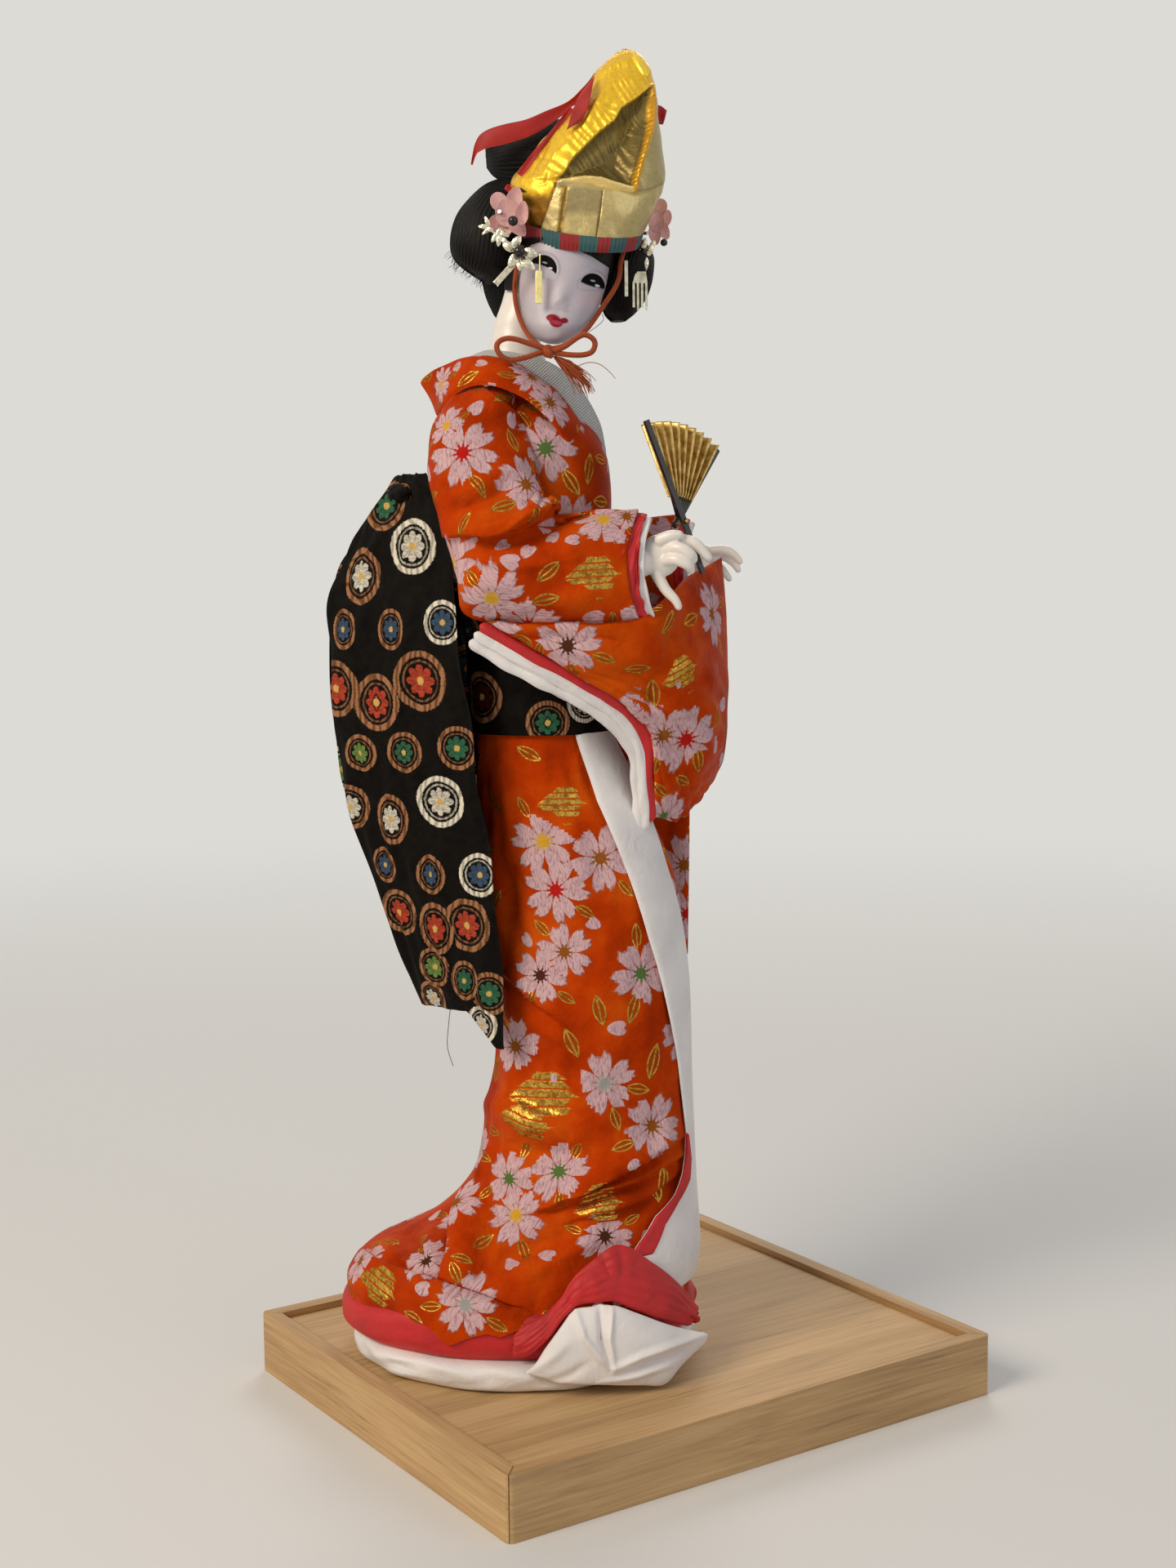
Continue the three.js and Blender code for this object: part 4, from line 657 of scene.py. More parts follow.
def pattern(piece, placed, seed, spacing, reach, mix, palette=HEARTS):
    """Gives every face the motif nearest to it. placed holds (photo column, row, kind, heart, reach in mm,
    turn); the rest is a seeded scatter of the mix's kinds, spacing mm apart, with leaves set round each
    blossom. The UV map "motif" holds each corner's place on its motif's tangent plane, as a share of its
    reach."""
    mesh = piece.data
    place = np.empty(len(mesh.vertices) * 3)
    mesh.vertices.foreach_get("co", place)
    place = place.reshape(-1, 3) / MM
    normal = np.empty(len(place) * 3)
    mesh.vertices.foreach_get("normal", normal)
    normal = normal.reshape(-1, 3)
    column, row, depth = pixels(place)
    ray = place - CAMERA_PLACE
    facing = -(normal * ray).sum(1) / depth
    draw = np.random.default_rng(seed)
    motifs = []

    spots, reaches = np.zeros((0, 3)), np.zeros(0)

    def clear_of_all(at, size, room):
        return not len(spots) or (np.linalg.norm(spots - at, axis=1) > (reaches + size) * room).all()

    def add(index, kind, heart, size, turn):
        nonlocal spots, reaches
        motifs.append((place[index], normal[index], kind, linear(palette[heart]), size, turn))
        spots, reaches = np.append(spots, place[index][None], 0), np.append(reaches, size)

    def leaves(index, size, turn):
        out = normal[index]
        level = np.cross((0, 0, 1), out)
        level /= np.linalg.norm(level) + 1e-9
        steep = np.cross(out, level)
        for slot in draw.choice(5, 3, replace=False):
            way = turn + (slot + 0.5) * 2 * np.pi / 5 + draw.uniform(-0.15, 0.15)
            leaf_size = size * draw.uniform(0.34, 0.44)
            aim = place[index] + (math.cos(way) * level + math.sin(way) * steep) * (size * 1.12)
            if clear_of_all(aim, leaf_size, 0.72):
                add(np.argmin(((place - aim) ** 2).sum(1)), LEAF, "gold", leaf_size, way)

    def settle(index, kind, heart, size, turn):
        add(index, kind, heart, size, turn)
        if kind == BLOSSOM:
            sprigs.append((index, size, turn))

    sprigs = []
    for px, py, kind, heart, size, turn in placed:
        gap = np.hypot(column - px, row - py) + np.where(facing > 0.05, 0, 400) + depth * 0.02
        settle(np.argmin(gap), kind, heart, size, turn)
    kinds = [kind for kind, share in mix for _ in range(share)]
    for index in draw.permutation(len(place))[:1600]:
        kind = kinds[draw.integers(len(kinds))]
        heart = list(palette)[draw.integers(len(palette))]
        size = reach * draw.uniform(0.85, 1.1) * {CLOUD: 1.3, PETAL_ALONE: 0.3, LEAF: 0.42}.get(kind, 1)
        turn = draw.uniform(-0.2, 0.2) if kind == CLOUD else draw.uniform(0, 6.28)
        if clear_of_all(place[index], size, spacing):
            settle(index, kind, heart, size, turn)
    for sprig in sprigs:
        leaves(*sprig)

    corner = np.empty(len(mesh.loops), int)
    mesh.loops.foreach_get("vertex_index", corner)
    total = np.empty(len(mesh.polygons), int)
    mesh.polygons.foreach_get("loop_total", total)
    of_face = np.repeat(np.arange(len(total)), total)
    middle = np.zeros((len(total), 3))
    np.add.at(middle, of_face, place[corner])
    middle /= total[:, None]
    outward = np.empty(len(total) * 3)
    mesh.polygons.foreach_get("normal", outward)
    outward = outward.reshape(-1, 3)
    best = np.full(len(total), 1.25)
    chosen = np.full(len(total), -1)
    for i, (centre, out, kind, heart, size, turn) in enumerate(motifs):
        share = np.linalg.norm(middle - centre, axis=1) / size + np.where(outward @ out > 0.1, 0, 9)
        closer = share < best
        best = np.where(closer, share, best)
        chosen = np.where(closer, i, chosen)
    centre, out, kind, heart, size, turn = (np.array([m[i] for m in motifs]) for i in range(6))
    level = np.cross((0, 0, 1), out)
    level /= np.linalg.norm(level, axis=1, keepdims=True) + 1e-9
    steep = np.cross(out, level)
    cos, sin = np.cos(turn)[:, None], np.sin(turn)[:, None]
    first, second = level * cos + steep * sin, steep * cos - level * sin
    pick = chosen[of_face]
    away = place[corner] - centre[pick]
    local = np.stack(((away * first[pick]).sum(1), (away * second[pick]).sum(1)), 1) / size[pick][:, None]
    local[pick < 0] = 9
    mesh.uv_layers.new(name="motif").data.foreach_set("uv", local.astype(np.float32).ravel())
    kinds = np.where(chosen < 0, 0, kind[chosen]).astype(np.float32)
    mesh.attributes.new("kind", "FLOAT", "FACE").data.foreach_set("value", kinds)
    tints = heart[chosen].astype(np.float32).ravel()
    mesh.attributes.new("tint", "FLOAT_COLOR", "FACE").data.foreach_set("color", tints)
    return piece


orange_brocade = brocade("orange silk brocade with pink and gilt wefts")
KIMONO_MIX = ((BLOSSOM, 14), (CLOUD, 2), (PETAL_ALONE, 1), (LEAF, 2))

SKIRT_OVALS = ((21, -85, 42, -50, 49), (29, -85, 43.5, -48, 47), (38, -76, 44.5, -44, 43),
               (49, -52, 44, -37, 37),
               (67, -37, 43, -32, 32), (101, -30, 41.8, -29, 29), (143, -31, 40.8, -28, 27),
               (173, -33, 36.4, -26, 25), (201, -34, 27.2, -23, 22.5), (229, -34.5, 13.5, -20.5, 20.5),
               (241, -34.5, 12.5, -20, 20))
SKIRT_CREASES = (
    (((592, 1462), (578, 1510), (572, 1545), (560, 1566)), 3.7, 2.8),
    (((700, 1510), (640, 1530), (590, 1556)), 3.7, -3.0),
    (((830, 1440), (780, 1480), (730, 1500)), 3.7, -2.4),
    (((700, 930), (712, 1000), (740, 1080)), 5.0, -2.0),
    (((620, 1060), (626, 1120), (640, 1180)), 3.7, -2.2),
    (((540, 1490), (528, 1530), (510, 1570)), 4.3, 2.0),
    (((590, 1345), (640, 1372), (700, 1392)), 4.3, 3.2),
    (((600, 1400), (660, 1415), (720, 1412)), 3.7, -3.0),
    (((640, 1440), (700, 1450), (770, 1420)), 3.1, 1.4),
    (((620, 1560), (680, 1545), (740, 1510)), 3.7, 2.2),
    (((470, 1530), (440, 1560), (425, 1585)), 3.1, 1.0),
)
SKIRT_PLEATS = (
    (((534, 1574), (552, 1542), (558, 1504), (567, 1470), (580, 1436)), 5.8, 6.0),
    (((436, 1522), (470, 1546), (537, 1567), (580, 1580), (645, 1606)), 5.0, 3.0),
    (((500, 1500), (520, 1530), (536, 1556)), 4.3, -1.6),
    (((465, 1512), (480, 1534), (500, 1552)), 3.6, -1.2),
    (((600, 1450), (612, 1500), (600, 1556)), 5.0, -1.5),
    (((840, 1391), (790, 1420), (740, 1446), (676, 1478)), 5.8, 4.8),
    (((846, 1410), (776, 1448), (720, 1468), (650, 1486)), 4.3, 4.4),
    (((835, 1436), (790, 1466), (740, 1486), (700, 1496)), 3.6, 2.8),
    (((694, 1258), (651, 1224), (612, 1190)), 5.8, 3.2),
    (((700, 1286), (650, 1262), (606, 1242)), 5.0, 1.3),
    (((606, 1330), (660, 1362), (716, 1372)), 5.8, 1.2),
)
SKIRT_MOTIFS = (
    (665, 1030, BLOSSOM, "gold", 12.3, 0.4), (735, 1050, BLOSSOM, "brown", 12.3, 1.1),
    (680, 1090, BLOSSOM, "red", 12.3, 0.1), (690, 1165, BLOSSOM, "brown", 10.6, 0.6),
    (662, 1195, BLOSSOM, "dark", 10.6, 1.3), (785, 1190, BLOSSOM, "green", 12.3, 0.9),
    (632, 1280, BLOSSOM, "brown", 11.4, 0.2), (740, 1328, BLOSSOM, "grey", 11.9, 0.5),
    (797, 1377, BLOSSOM, "brown", 12.3, 1.0), (623, 1442, BLOSSOM, "green", 11.0, 1.4),
    (684, 1436, BLOSSOM, "green", 11.9, 0.3), (632, 1488, BLOSSOM, "gold", 11.4, 0.8),
    (741, 1513, BLOSSOM, "dark", 11.0, 1.0), (523, 1544, BLOSSOM, "dark", 10.6, 0.7),
    (569, 1598, BLOSSOM, "grey", 11.4, 0.2), (441, 1544, BLOSSOM, "brown", 10.6, 0.5),
    (679, 1319, PETAL_ALONE, "gold", 3.5, 0), (627, 1549, PETAL_ALONE, "gold", 4, 0),
    (669, 1537, PETAL_ALONE, "gold", 4, 0), (518, 1578, PETAL_ALONE, "gold", 4, 0),
    (755, 1260, PETAL_ALONE, "red", 4, 0), (668, 1345, CLOUD, "gold", 21, 0.05),
    (644, 1378, CLOUD, "gold", 17, -0.2), (462, 1576, CLOUD, "gold", 17, -0.25),
    (690, 985, CLOUD, "gold", 14, 0.0), (735, 1477, CLOUD, "gold", 14, 0.15),
    (735, 1235, LEAF, "gold", 6, 1.8),
    (775, 1235, LEAF, "gold", 6, 1.2), (700, 1275, LEAF, "gold", 6, 2.0), (800, 1300, LEAF, "gold", 7, 1.3),
    (812, 1450, LEAF, "gold", 7, 1.2), (765, 1405, LEAF, "gold", 5, 0.3), (590, 1240, LEAF, "gold", 6, 2.1),
    (480, 1520, LEAF, "gold", 5, 0.4), (645, 1405, LEAF, "gold", 5, 1.2),
)
SKIRT_ROWS, SKIRT_COLUMNS = 262, 370
skirt_grid, stations = stacked(SKIRT_OVALS, SKIRT_ROWS, SKIRT_COLUMNS)
round_skirt, share_up = full_turn(SKIRT_COLUMNS)[None] / 6.28, np.linspace(0, 1, SKIRT_ROWS)[:, None]
hug = np.clip((stations[:, 0] - 30) / 40, 0, 1) * np.clip((232 - stations[:, 0]) / 20, 0, 1)
wrinkles = (ripples(round_skirt * 1.5, share_up, 21, 9, 0.9) + ripples(round_skirt * 4, share_up * 2.5, 22,
                                                                       14, 0.3))
skirt_grid += grid_normals(skirt_grid, True) * (wrinkles * hug[:, None])[..., None]
skirt_grid = creased(skirt_grid, grid_normals(skirt_grid, True), SKIRT_CREASES)
skirt_grid = pleated(skirt_grid, grid_normals(skirt_grid, True), SKIRT_PLEATS)
HEM_EDGE = ((476, 1594), (500, 1602), (514, 1608), (530, 1622), (553, 1644), (579, 1634), (598, 1629),
            (614, 1634),
            (652, 1615))
HEM_LAP = ((476, 0), (500, 0.45), (520, 0.8), (545, 1), (560, 1), (600, 0.9), (630, 0.8), (652, 0))
column, row, size, seen = as_seen(skirt_grid, grid_normals(skirt_grid, True))
lap = np.interp(column[0], *np.array(HEM_LAP).T) * (seen[6] > 0)
drop = np.clip((np.interp(column[0], *np.array(HEM_EDGE).T) - row[0]) / size[0], -3, 8) * lap
outward = grid_normals(skirt_grid, True) * (1, 1, 0)
lowest = np.clip((46 - stations[:, 0]) / 16, 0, 1)[:, None]
skirt_grid = skirt_grid + outward * (3.9 * lap * lowest)[..., None]
skirt_grid[..., 2] -= drop * np.clip((36 - stations[:, 0]) / 15, 0, 1)[:, None]
skirt = lay("kimono_skirt", skirt_grid, orange_brocade, closed=True, slot="orange_brocade",
            stands_for=("skirt", "skirt_wadding"))
pattern(skirt, SKIRT_MOTIFS, 5, 0.92, 12, KIMONO_MIX)

# White front band, red facing and turned-up corner
# The white silk neck band of the under-kimono runs down the opening and widens over the knee.
# Beside it the kimono's edge shows its crimson facing, and at the hem a corner of it is turned up.


def thick(points, depth, ends=True):
    """A sheet of cloth with a rounded rim from a grid: the front is the grid, the back lies depth behind
    it."""
    rows, columns = points.shape[:2]
    rim = (1 - np.abs(np.linspace(-1, 1, columns)) ** 10) ** 0.5
    if ends:
        rim = rim * ((1 - np.abs(np.linspace(-1, 1, rows)) ** 24) ** 0.5)[:, None]
    else:
        rim = np.broadcast_to(rim, (rows, columns))
    normal = grid_normals(points, False)
    front = points - normal * (depth / 2 * (1 - rim))[..., None]
    back = points - normal * (depth / 2 * (1 + rim))[..., None]
    return np.concatenate([front, back[:, ::-1]], 1)


def found(grid, marks, lift=0.0):
    """The grid's points, lifted along its normals, that the camera sees nearest to the photo's pixels
    marks."""
    normal = grid_normals(grid, True)
    place = on_stand(grid).reshape(-1, 3)
    out = on_stand(grid + normal).reshape(-1, 3) - place
    column, row, depth = pixels(place)
    hidden = np.where((out * (place - CAMERA_PLACE)).sum(1) < 0, 0, 500)
    best = [np.argmin(np.hypot(column - px, row - py) + hidden) for px, py in marks]
    return (grid + normal * lift).reshape(-1, 3)[best]


def band_on_skirt(left, right, low, high, out, depth, rows=200, columns=24):
    """A band on the skirt from z low to high, between two lines of (z, angle); out is its lift off the
    brocade."""
    z = np.linspace(low, high, rows)
    ovals = np.stack([np.interp(z, stations[:, 0], stations[:, i]) for i in range(5)], 1)
    edges = [np.interp(z, *np.array(sorted(line)).T) for line in (left, right)]
    share = np.linspace(0, 1, columns)
    angle = edges[0][:, None] * (1 - share) + edges[1][:, None] * share
    shape = oval(ovals[:, None, 1:], angle)
    points = np.concatenate([shape, np.broadcast_to(z[:, None, None], shape.shape[:2] + (1,))], -1)
    normal = grid_normals(points, False)
    return thick(points + normal * (out + depth), depth)


def lines_on_skirt(marks):
    """(z, angle) on the skirt's oval of each of the photo's pixels in marks."""
    spots = found(skirt_grid, marks)
    ovals = np.stack([np.interp(spots[:, 2], stations[:, 0], stations[:, i]) for i in range(5)], 1)
    middle = np.stack(((ovals[:, 1] + ovals[:, 2]) / 2, (ovals[:, 3] + ovals[:, 4]) / 2), 1)
    size = np.stack((ovals[:, 2] - ovals[:, 1], ovals[:, 4] - ovals[:, 3]), 1) / 2
    way = (spots[:, :2] - middle) / size
    return list(zip(spots[:, 2].tolist(), np.arctan2(way[:, 1], way[:, 0]).tolist()))


def strip_of(stations, rows, columns, wave=0.0):
    """A strip between two photo lines: each station holds the upper pixel, the lower pixel, and y at both."""
    table = np.array([tuple(station) + (station[4],) * (6 - len(station)) for station in stations], float)
    table = smooth(table, np.linspace(0, 1, rows))
    upper, lower = (off_photo(table[:, i], table[:, i + 1], table[:, j]) for i, j in ((0, 4), (2, 5)))
    share = np.linspace(0, 1, columns)[None, :, None]
    strip = upper[:, None] * (1 - share) + lower[:, None] * share
    return strip + grid_normals(strip, False) * (wave * np.sin(np.pi * share[..., 0])
                                                 * np.sin(np.linspace(0, 9, rows))[:, None])[..., None]


def facing_out(points, centre, closed=False):
    """The grid with its columns turned round, where its normals would look towards the centre."""
    looks = (grid_normals(points, closed) * (points - centre)).sum()
    return points if looks > 0 else points[:, ::-1]


BAND_LEFT = ((700, 890), (727, 980), (763, 1059), (790, 1150), (812, 1225), (828, 1300), (838, 1385))
BAND_RIGHT = ((745, 890), (785, 980), (814, 1059), (835, 1150))
FACING_LEFT = ((838, 1385), (836, 1412), (829, 1437), (816, 1462), (800, 1490), (779, 1522), (765, 1545))
FACING_RIGHT = ((838.5, 1386), (839, 1417), (836, 1443), (824, 1470), (810, 1499), (796, 1533), (786, 1556))
KNEE_Z = 95.0
band_left = lines_on_skirt(BAND_LEFT)
facing_left, facing_right = lines_on_skirt(FACING_LEFT), lines_on_skirt(FACING_RIGHT)
band_right = lines_on_skirt(BAND_RIGHT) + [(120.0, 0.02), (KNEE_Z, 0.12), (60.0, 0.22), (26.0, 0.25)]
white_band = solid("front_band_white",
                   band_on_skirt(band_left + facing_left[1:], band_right, 27, 235, 0.5, 1.6),
                   white_silk, slot="white_silk", stands_for=("front_band",))
facing_grid = band_on_skirt(facing_left, facing_right, 42, facing_left[0][0], 1.2, 1.4, 80, 14)
red_facing = solid("front_facing_red", facing_grid, red_silk, slot="red_silk")

FLAP = ((628, 1630, 628, 1664, -52, -54.5), (645, 1620, 648, 1662, -51.5, -54.8),
        (664, 1610, 672, 1641, -50.5, -55),
        (687, 1586, 692, 1614, -49.5, -54.8), (706, 1558, 708, 1600, -48, -54),
        (731, 1537, 733, 1597, -46, -52.6),
        (752, 1523, 752, 1596, -43.5, -51), (773, 1526, 780, 1606, -41, -49),
        (795, 1542, 806, 1615, -37.5, -45),
        (824, 1564, 826, 1621, -32.5, -40.5), (850, 1593, 841, 1625, -28, -36),
        (856, 1600, 848, 1623, -27, -34.5))
FLAP_CREASES = (
    (((738, 1536), (744, 1552), (748, 1566)), 1.7, -1.1), (((748, 1530), (750, 1550), (748, 1580)), 2.2, 0.7),
    (((757, 1526), (762, 1545), (760, 1565)), 1.8, -0.6),
    (((690, 1590), (705, 1606), (722, 1596)), 2.0, -0.8),
    (((700, 1575), (722, 1570), (745, 1590)), 3.0, 0.8), (((780, 1540), (806, 1570), (835, 1600)), 6.0, 1.2),
    (((664, 1616), (668, 1628), (670, 1640)), 2.0, -0.6),
)
flap_grid = facing_out(strip_of(FLAP, 200, 60), np.array([10.0, 0, 30]))
flap_grid = creased(flap_grid, grid_normals(flap_grid, False), FLAP_CREASES)
across, down = np.linspace(0, 1, 200)[:, None], np.linspace(0, 1, 60)[None]
swell = np.sin(np.pi * down) ** 0.7 * (1.3 + 0.2 * ripples(across * 1.5, down, 4, 6, 1.0))
flap_grid = flap_grid + grid_normals(flap_grid, False) * swell[..., None]
flap = solid("turned_up_corner", thick(flap_grid, 2.2), red_silk, slot="red_silk",
             stands_for=("red_front_flap",))

# White cloth spread at the front
# The under-kimono's front corner is folded in darts and spreads over the stand beside the red corner.

FOLD = ((703, 1600, 641, 1685, -55, -60.5), (728, 1597, 690, 1697, -54, -61.5),
        (752, 1595, 745, 1700, -52.5, -59),
        (780, 1604, 786, 1700, -50, -55.5), (812, 1616, 814, 1699, -46, -52),
        (838, 1624, 829, 1680, -41.5, -46.5),
        (857, 1628, 846, 1660, -37.5, -41), (868, 1632, 864, 1645, -33, -36))
FOLD_CREASES = (
    (((704, 1602), (716, 1640), (735, 1664), (750, 1679)), 1.3, 1.6),
    (((735, 1602), (738, 1640), (749, 1679)), 1.2, -2.2),
    (((750, 1598), (746, 1640), (752, 1676)), 1.0, 1.5),
    (((752, 1678), (785, 1662), (812, 1652), (862, 1634)), 1.4, 1.9),
    (((756, 1686), (790, 1672), (836, 1656)), 1.4, -1.6),
    (((700, 1640), (676, 1662), (646, 1682)), 2.2, 1.2),
    (((722, 1668), (700, 1684), (668, 1694)), 1.6, -1.0),
    (((735, 1694), (780, 1686), (820, 1672)), 1.2, 0.9),
    (((765, 1612), (790, 1636), (830, 1640)), 5.0, 0.8),
)
fold_grid = facing_out(strip_of(FOLD, 200, 110), np.array([10.0, 0, 30]))
fold_out = grid_normals(fold_grid, False)
share = np.linspace(0, 1, 110)[None]
bulge = 3.2 * np.sin(np.pi * share) ** 0.8 * np.sin(np.pi * np.linspace(0.04, 1, 200))[:, None] ** 0.4
fold_grid = creased(fold_grid + fold_out * bulge[..., None], fold_out, FOLD_CREASES)
fold_grid[..., 2] = np.maximum(fold_grid[..., 2], 0.2)
fold_body = thick(fold_grid, 4.5)
fold_body[..., 2] = np.maximum(fold_body[..., 2], 0.1)
white_fold = solid("front_fold_white", fold_body, white_silk, slot="white_silk",
                   stands_for=("white_front_fold",))

# Sash
# A stiff black brocade belt is wound over the waist, tied behind over a small pillow.
# Its long ends hang down her back like two broad boards, woven with ringed medallions in coloured silks.

ROUND_WHITE, ROUND_BROWN, OVAL_BROWN, LOZENGE = 11, 12, 13, 14
MEDALLIONS = {"white": "#d8d2c2", "blue": "#3c5570", "red": "#b8452f", "green": "#2f6a4c", "leaf": "#6f8f4a",
              "wine": "#4f1712"}


def sash_brocade(name):
    """Black twill with medallions in floss silk: a cord ring, a dark ground and a flower drawn in long
    stitches."""
    made, tree, cloth, motif, kind, tint = woven(name, 1300.0, 0.1)
    axes = node(tree, "SeparateXYZ", {0: motif})
    across, up = Signal(tree, axes, 0), Signal(tree, axes, 1)
    is_white, is_oval, is_lozenge = (kind.math("COMPARE", float(number), 0.25)
                                     for number in (ROUND_WHITE, OVAL_BROWN, LOZENGE))
    wide = across * (is_oval * 0.3 + 1.0)
    radius = (wide * wide + up * up).math("SQRT")
    some = kind.math("GREATER_THAN", 0.5)
    disc = some * radius.rises(1.0, 0.97)
    ring = disc * radius.rises(0.76, 0.79)
    line = disc * (radius.rises(0.70, 0.67) * radius.rises(0.60, 0.63))
    eighth = up.math("ARCTAN2", wide).math("PINGPONG", math.pi / 8).math("DIVIDE", math.pi / 8)
    flower = some * (0.56 - eighth * eighth * 0.16 - radius).rises(0.0, 0.03)
    slits = eighth.rises(0.9, 0.98) * radius.rises(0.16, 0.2)
    lozenge = is_lozenge * abs(abs(wide) * 1.5 + abs(up) - 0.3).rises(0.06, 0.03)
    core = some * radius.rises(0.15, 0.12)
    floss_way = node(tree, "Mapping", {"Vector": motif, "Rotation": (0, 0, 0.5), "Scale": (2.2, 9.0, 1.0)})
    floss = Signal(tree, node(tree, "TexNoise", {"Vector": floss_way, "Scale": 2.2, "Detail": 3.0,
                                                 "Distortion": 0.8}))
    place = node(tree, "TexCoord").outputs["Object"]
    cord_way = node(tree, "TexWave", {"Vector": place, "Scale": 260.0, "Distortion": 3.0, "Detail": 2.0})
    twill = Signal(tree,
                   node(tree, "TexWave", {"Vector": cloth, "Scale": 0.42, "Distortion": 0.8, "Detail": 2.0},
                              bands_direction="DIAGONAL"))
    copper = ramp(tree, cord_way, ((0.1, "#6a4429"), (0.7, "#a0714f")))
    cream = ramp(tree, cord_way, ((0.1, "#a9a18f"), (0.7, "#e2dccb")))
    ring_colour = mixed(tree, is_white, copper, cream)
    shaded = mixed(tree, floss.rises(0.62, 0.38), tint, linear("#2a1a12"))
    colour = ramp(tree, object_noise(tree, 300.0, 4.0), ((0.35, "#080605"), (0.65, "#120f0b")))
    for share, paint in ((ring, ring_colour), (line * 0.55, ring_colour),
                         (flower, mixed(tree, 0.55, tint, shaded)),
                         (flower * slits * 0.85, linear("#17110d")), (lozenge, linear("#17110d")),
                         (core, linear("#c9a45a"))):
        colour = mixed(tree, share, colour, paint)
    worked = ring | flower
    raised = worked * (floss * 1.3 + 0.8) + twill * 0.16
    weave = node(tree, "Bump", {"Height": raised, "Strength": 0.7, "Distance": 0.0004})
    surface(tree, {"Base Color": colour, "Roughness": worked * -0.12 + 0.62, "Normal": weave,
                   "Specular IOR Level": 0.06})
    return made


black_brocade = sash_brocade("black sash brocade with medallions")
BELT = ((229.3, -36.4, 15.4, -22.4, 22.4), (243, -36.8, 15.4, -22.9, 22.9), (258, -37.5, 15.4, -23.4, 23.4),
        (287, -40.4, 15.6, -26.6, 26.6))
BELT_ROWS = 90
belt_grid = stacked(BELT, BELT_ROWS, 240)[0]
belt_swell = 0.5 * np.sin(np.linspace(0, 1, BELT_ROWS) * 9.4) ** 2
belt_grid += grid_normals(belt_grid, True) * belt_swell[:, None, None]
belt = lay("sash_belt_brocade", belt_grid, black_brocade, closed=True, slot="black_brocade",
           stands_for=("sash_belt",))
thicken(belt, 1.2)
MEDALLION_MIX = ((ROUND_WHITE, 1), (OVAL_BROWN, 1), (LOZENGE, 1), (ROUND_BROWN, 1))
pattern(belt, ((590, 853, ROUND_BROWN, "wine", 9.5, 0), (670, 885, LOZENGE, "green", 8, 0),
               (715, 862, ROUND_WHITE, "white", 7, 0)), 11, 1.05, 8, MEDALLION_MIX, MEDALLIONS)

TAIL_NEAR = ((-50, -23, 322), (-41, -31, 303), (-39, -33, 262), (-34, -32, 221), (-27, -31, 172),
             (-24.5, -30, 114))
TAIL_FOLD = ((-62, -3, 322), (-76, -2, 302), (-88, -1, 273), (-86, -1, 226), (-78, -1, 188), (-57, -1, 128))
TAIL_DEPTH = 2.0
TAIL_FOOT = ((0, 3.6), (0.07, 2.8), (0.15, 4.8), (0.36, 10.2), (0.6, 6.4), (1, 0))
TAIL_MARKS = (
    (505, 670, ROUND_WHITE, "white", 10, 0), (441, 706, OVAL_BROWN, "white", 10.5, 0.1),
    (473, 620, ROUND_BROWN, "green", 9.5, 0.3), (420, 770, OVAL_BROWN, "blue", 7.5, 0),
    (480, 770, OVAL_BROWN, "blue", 7.5, 0), (540, 762, ROUND_WHITE, "blue", 8, 0),
    (411, 845, ROUND_BROWN, "red", 10.5, 0), (462, 859, LOZENGE, "red", 10.5, 0),
    (516, 833, ROUND_BROWN, "red", 11, 0), (441, 921, ROUND_BROWN, "leaf", 7, 0),
    (495, 921, LOZENGE, "green", 7.5, 0), (559, 915, ROUND_BROWN, "green", 8, 0),
    (430, 988, ROUND_BROWN, "white", 8.5, 0), (478, 1005, OVAL_BROWN, "white", 9.5, 0),
    (539, 983, ROUND_WHITE, "white", 9.5, 0), (473, 1059, OVAL_BROWN, "blue", 7, 0),
    (527, 1070, OVAL_BROWN, "blue", 7.5, 0), (586, 1072, ROUND_WHITE, "blue", 8, 0),
    (488, 1118, ROUND_BROWN, "red", 9, 0), (531, 1138, OVAL_BROWN, "red", 10, 0),
    (573, 1133, ROUND_BROWN, "red", 10, 0), (532, 1184, ROUND_BROWN, "leaf", 7.5, 0),
    (569, 1200, OVAL_BROWN, "green", 7.5, 0), (600, 1217, ROUND_BROWN, "green", 8, 0),
    (530, 1222, ROUND_BROWN, "white", 7, 0), (590, 1255, ROUND_WHITE, "white", 7, 0),
)
down, across = np.linspace(0, 1, 230), np.linspace(0, 1, 70)
near_edge, fold_edge = smooth(TAIL_NEAR, down), smooth(TAIL_FOLD, down)
for side, name in ((1, "right"), (-1, "left")):
    tail = near_edge[:, None] * (1 - across[None, :, None]) + fold_edge[:, None] * across[None, :, None]
    tail[..., 0] -= 3 * np.sin(np.pi * across)[None]
    ragged_foot = np.interp(across, *np.array(TAIL_FOOT).T)[None]
    tail[..., 2] += ragged_foot * np.clip((down[:, None] - 0.8) / 0.2, 0, 1) ** 1.5
    tail[..., :2] += ripples(down[:, None], across[None], 30 + side, 8, 0.6)[..., None]
    tail[..., 1] *= side
    tail = tail[::-1, ::-1] if side > 0 else tail[::-1]
    piece = solid(f"sash_tail_{name}_brocade", thick(tail, TAIL_DEPTH), black_brocade, slot="black_brocade",
                  stands_for=(f"sash_tail_{name}",))
    pattern(piece, TAIL_MARKS if side > 0 else (), 17 + side, 1.08, 8.5, MEDALLION_MIX, MEDALLIONS)

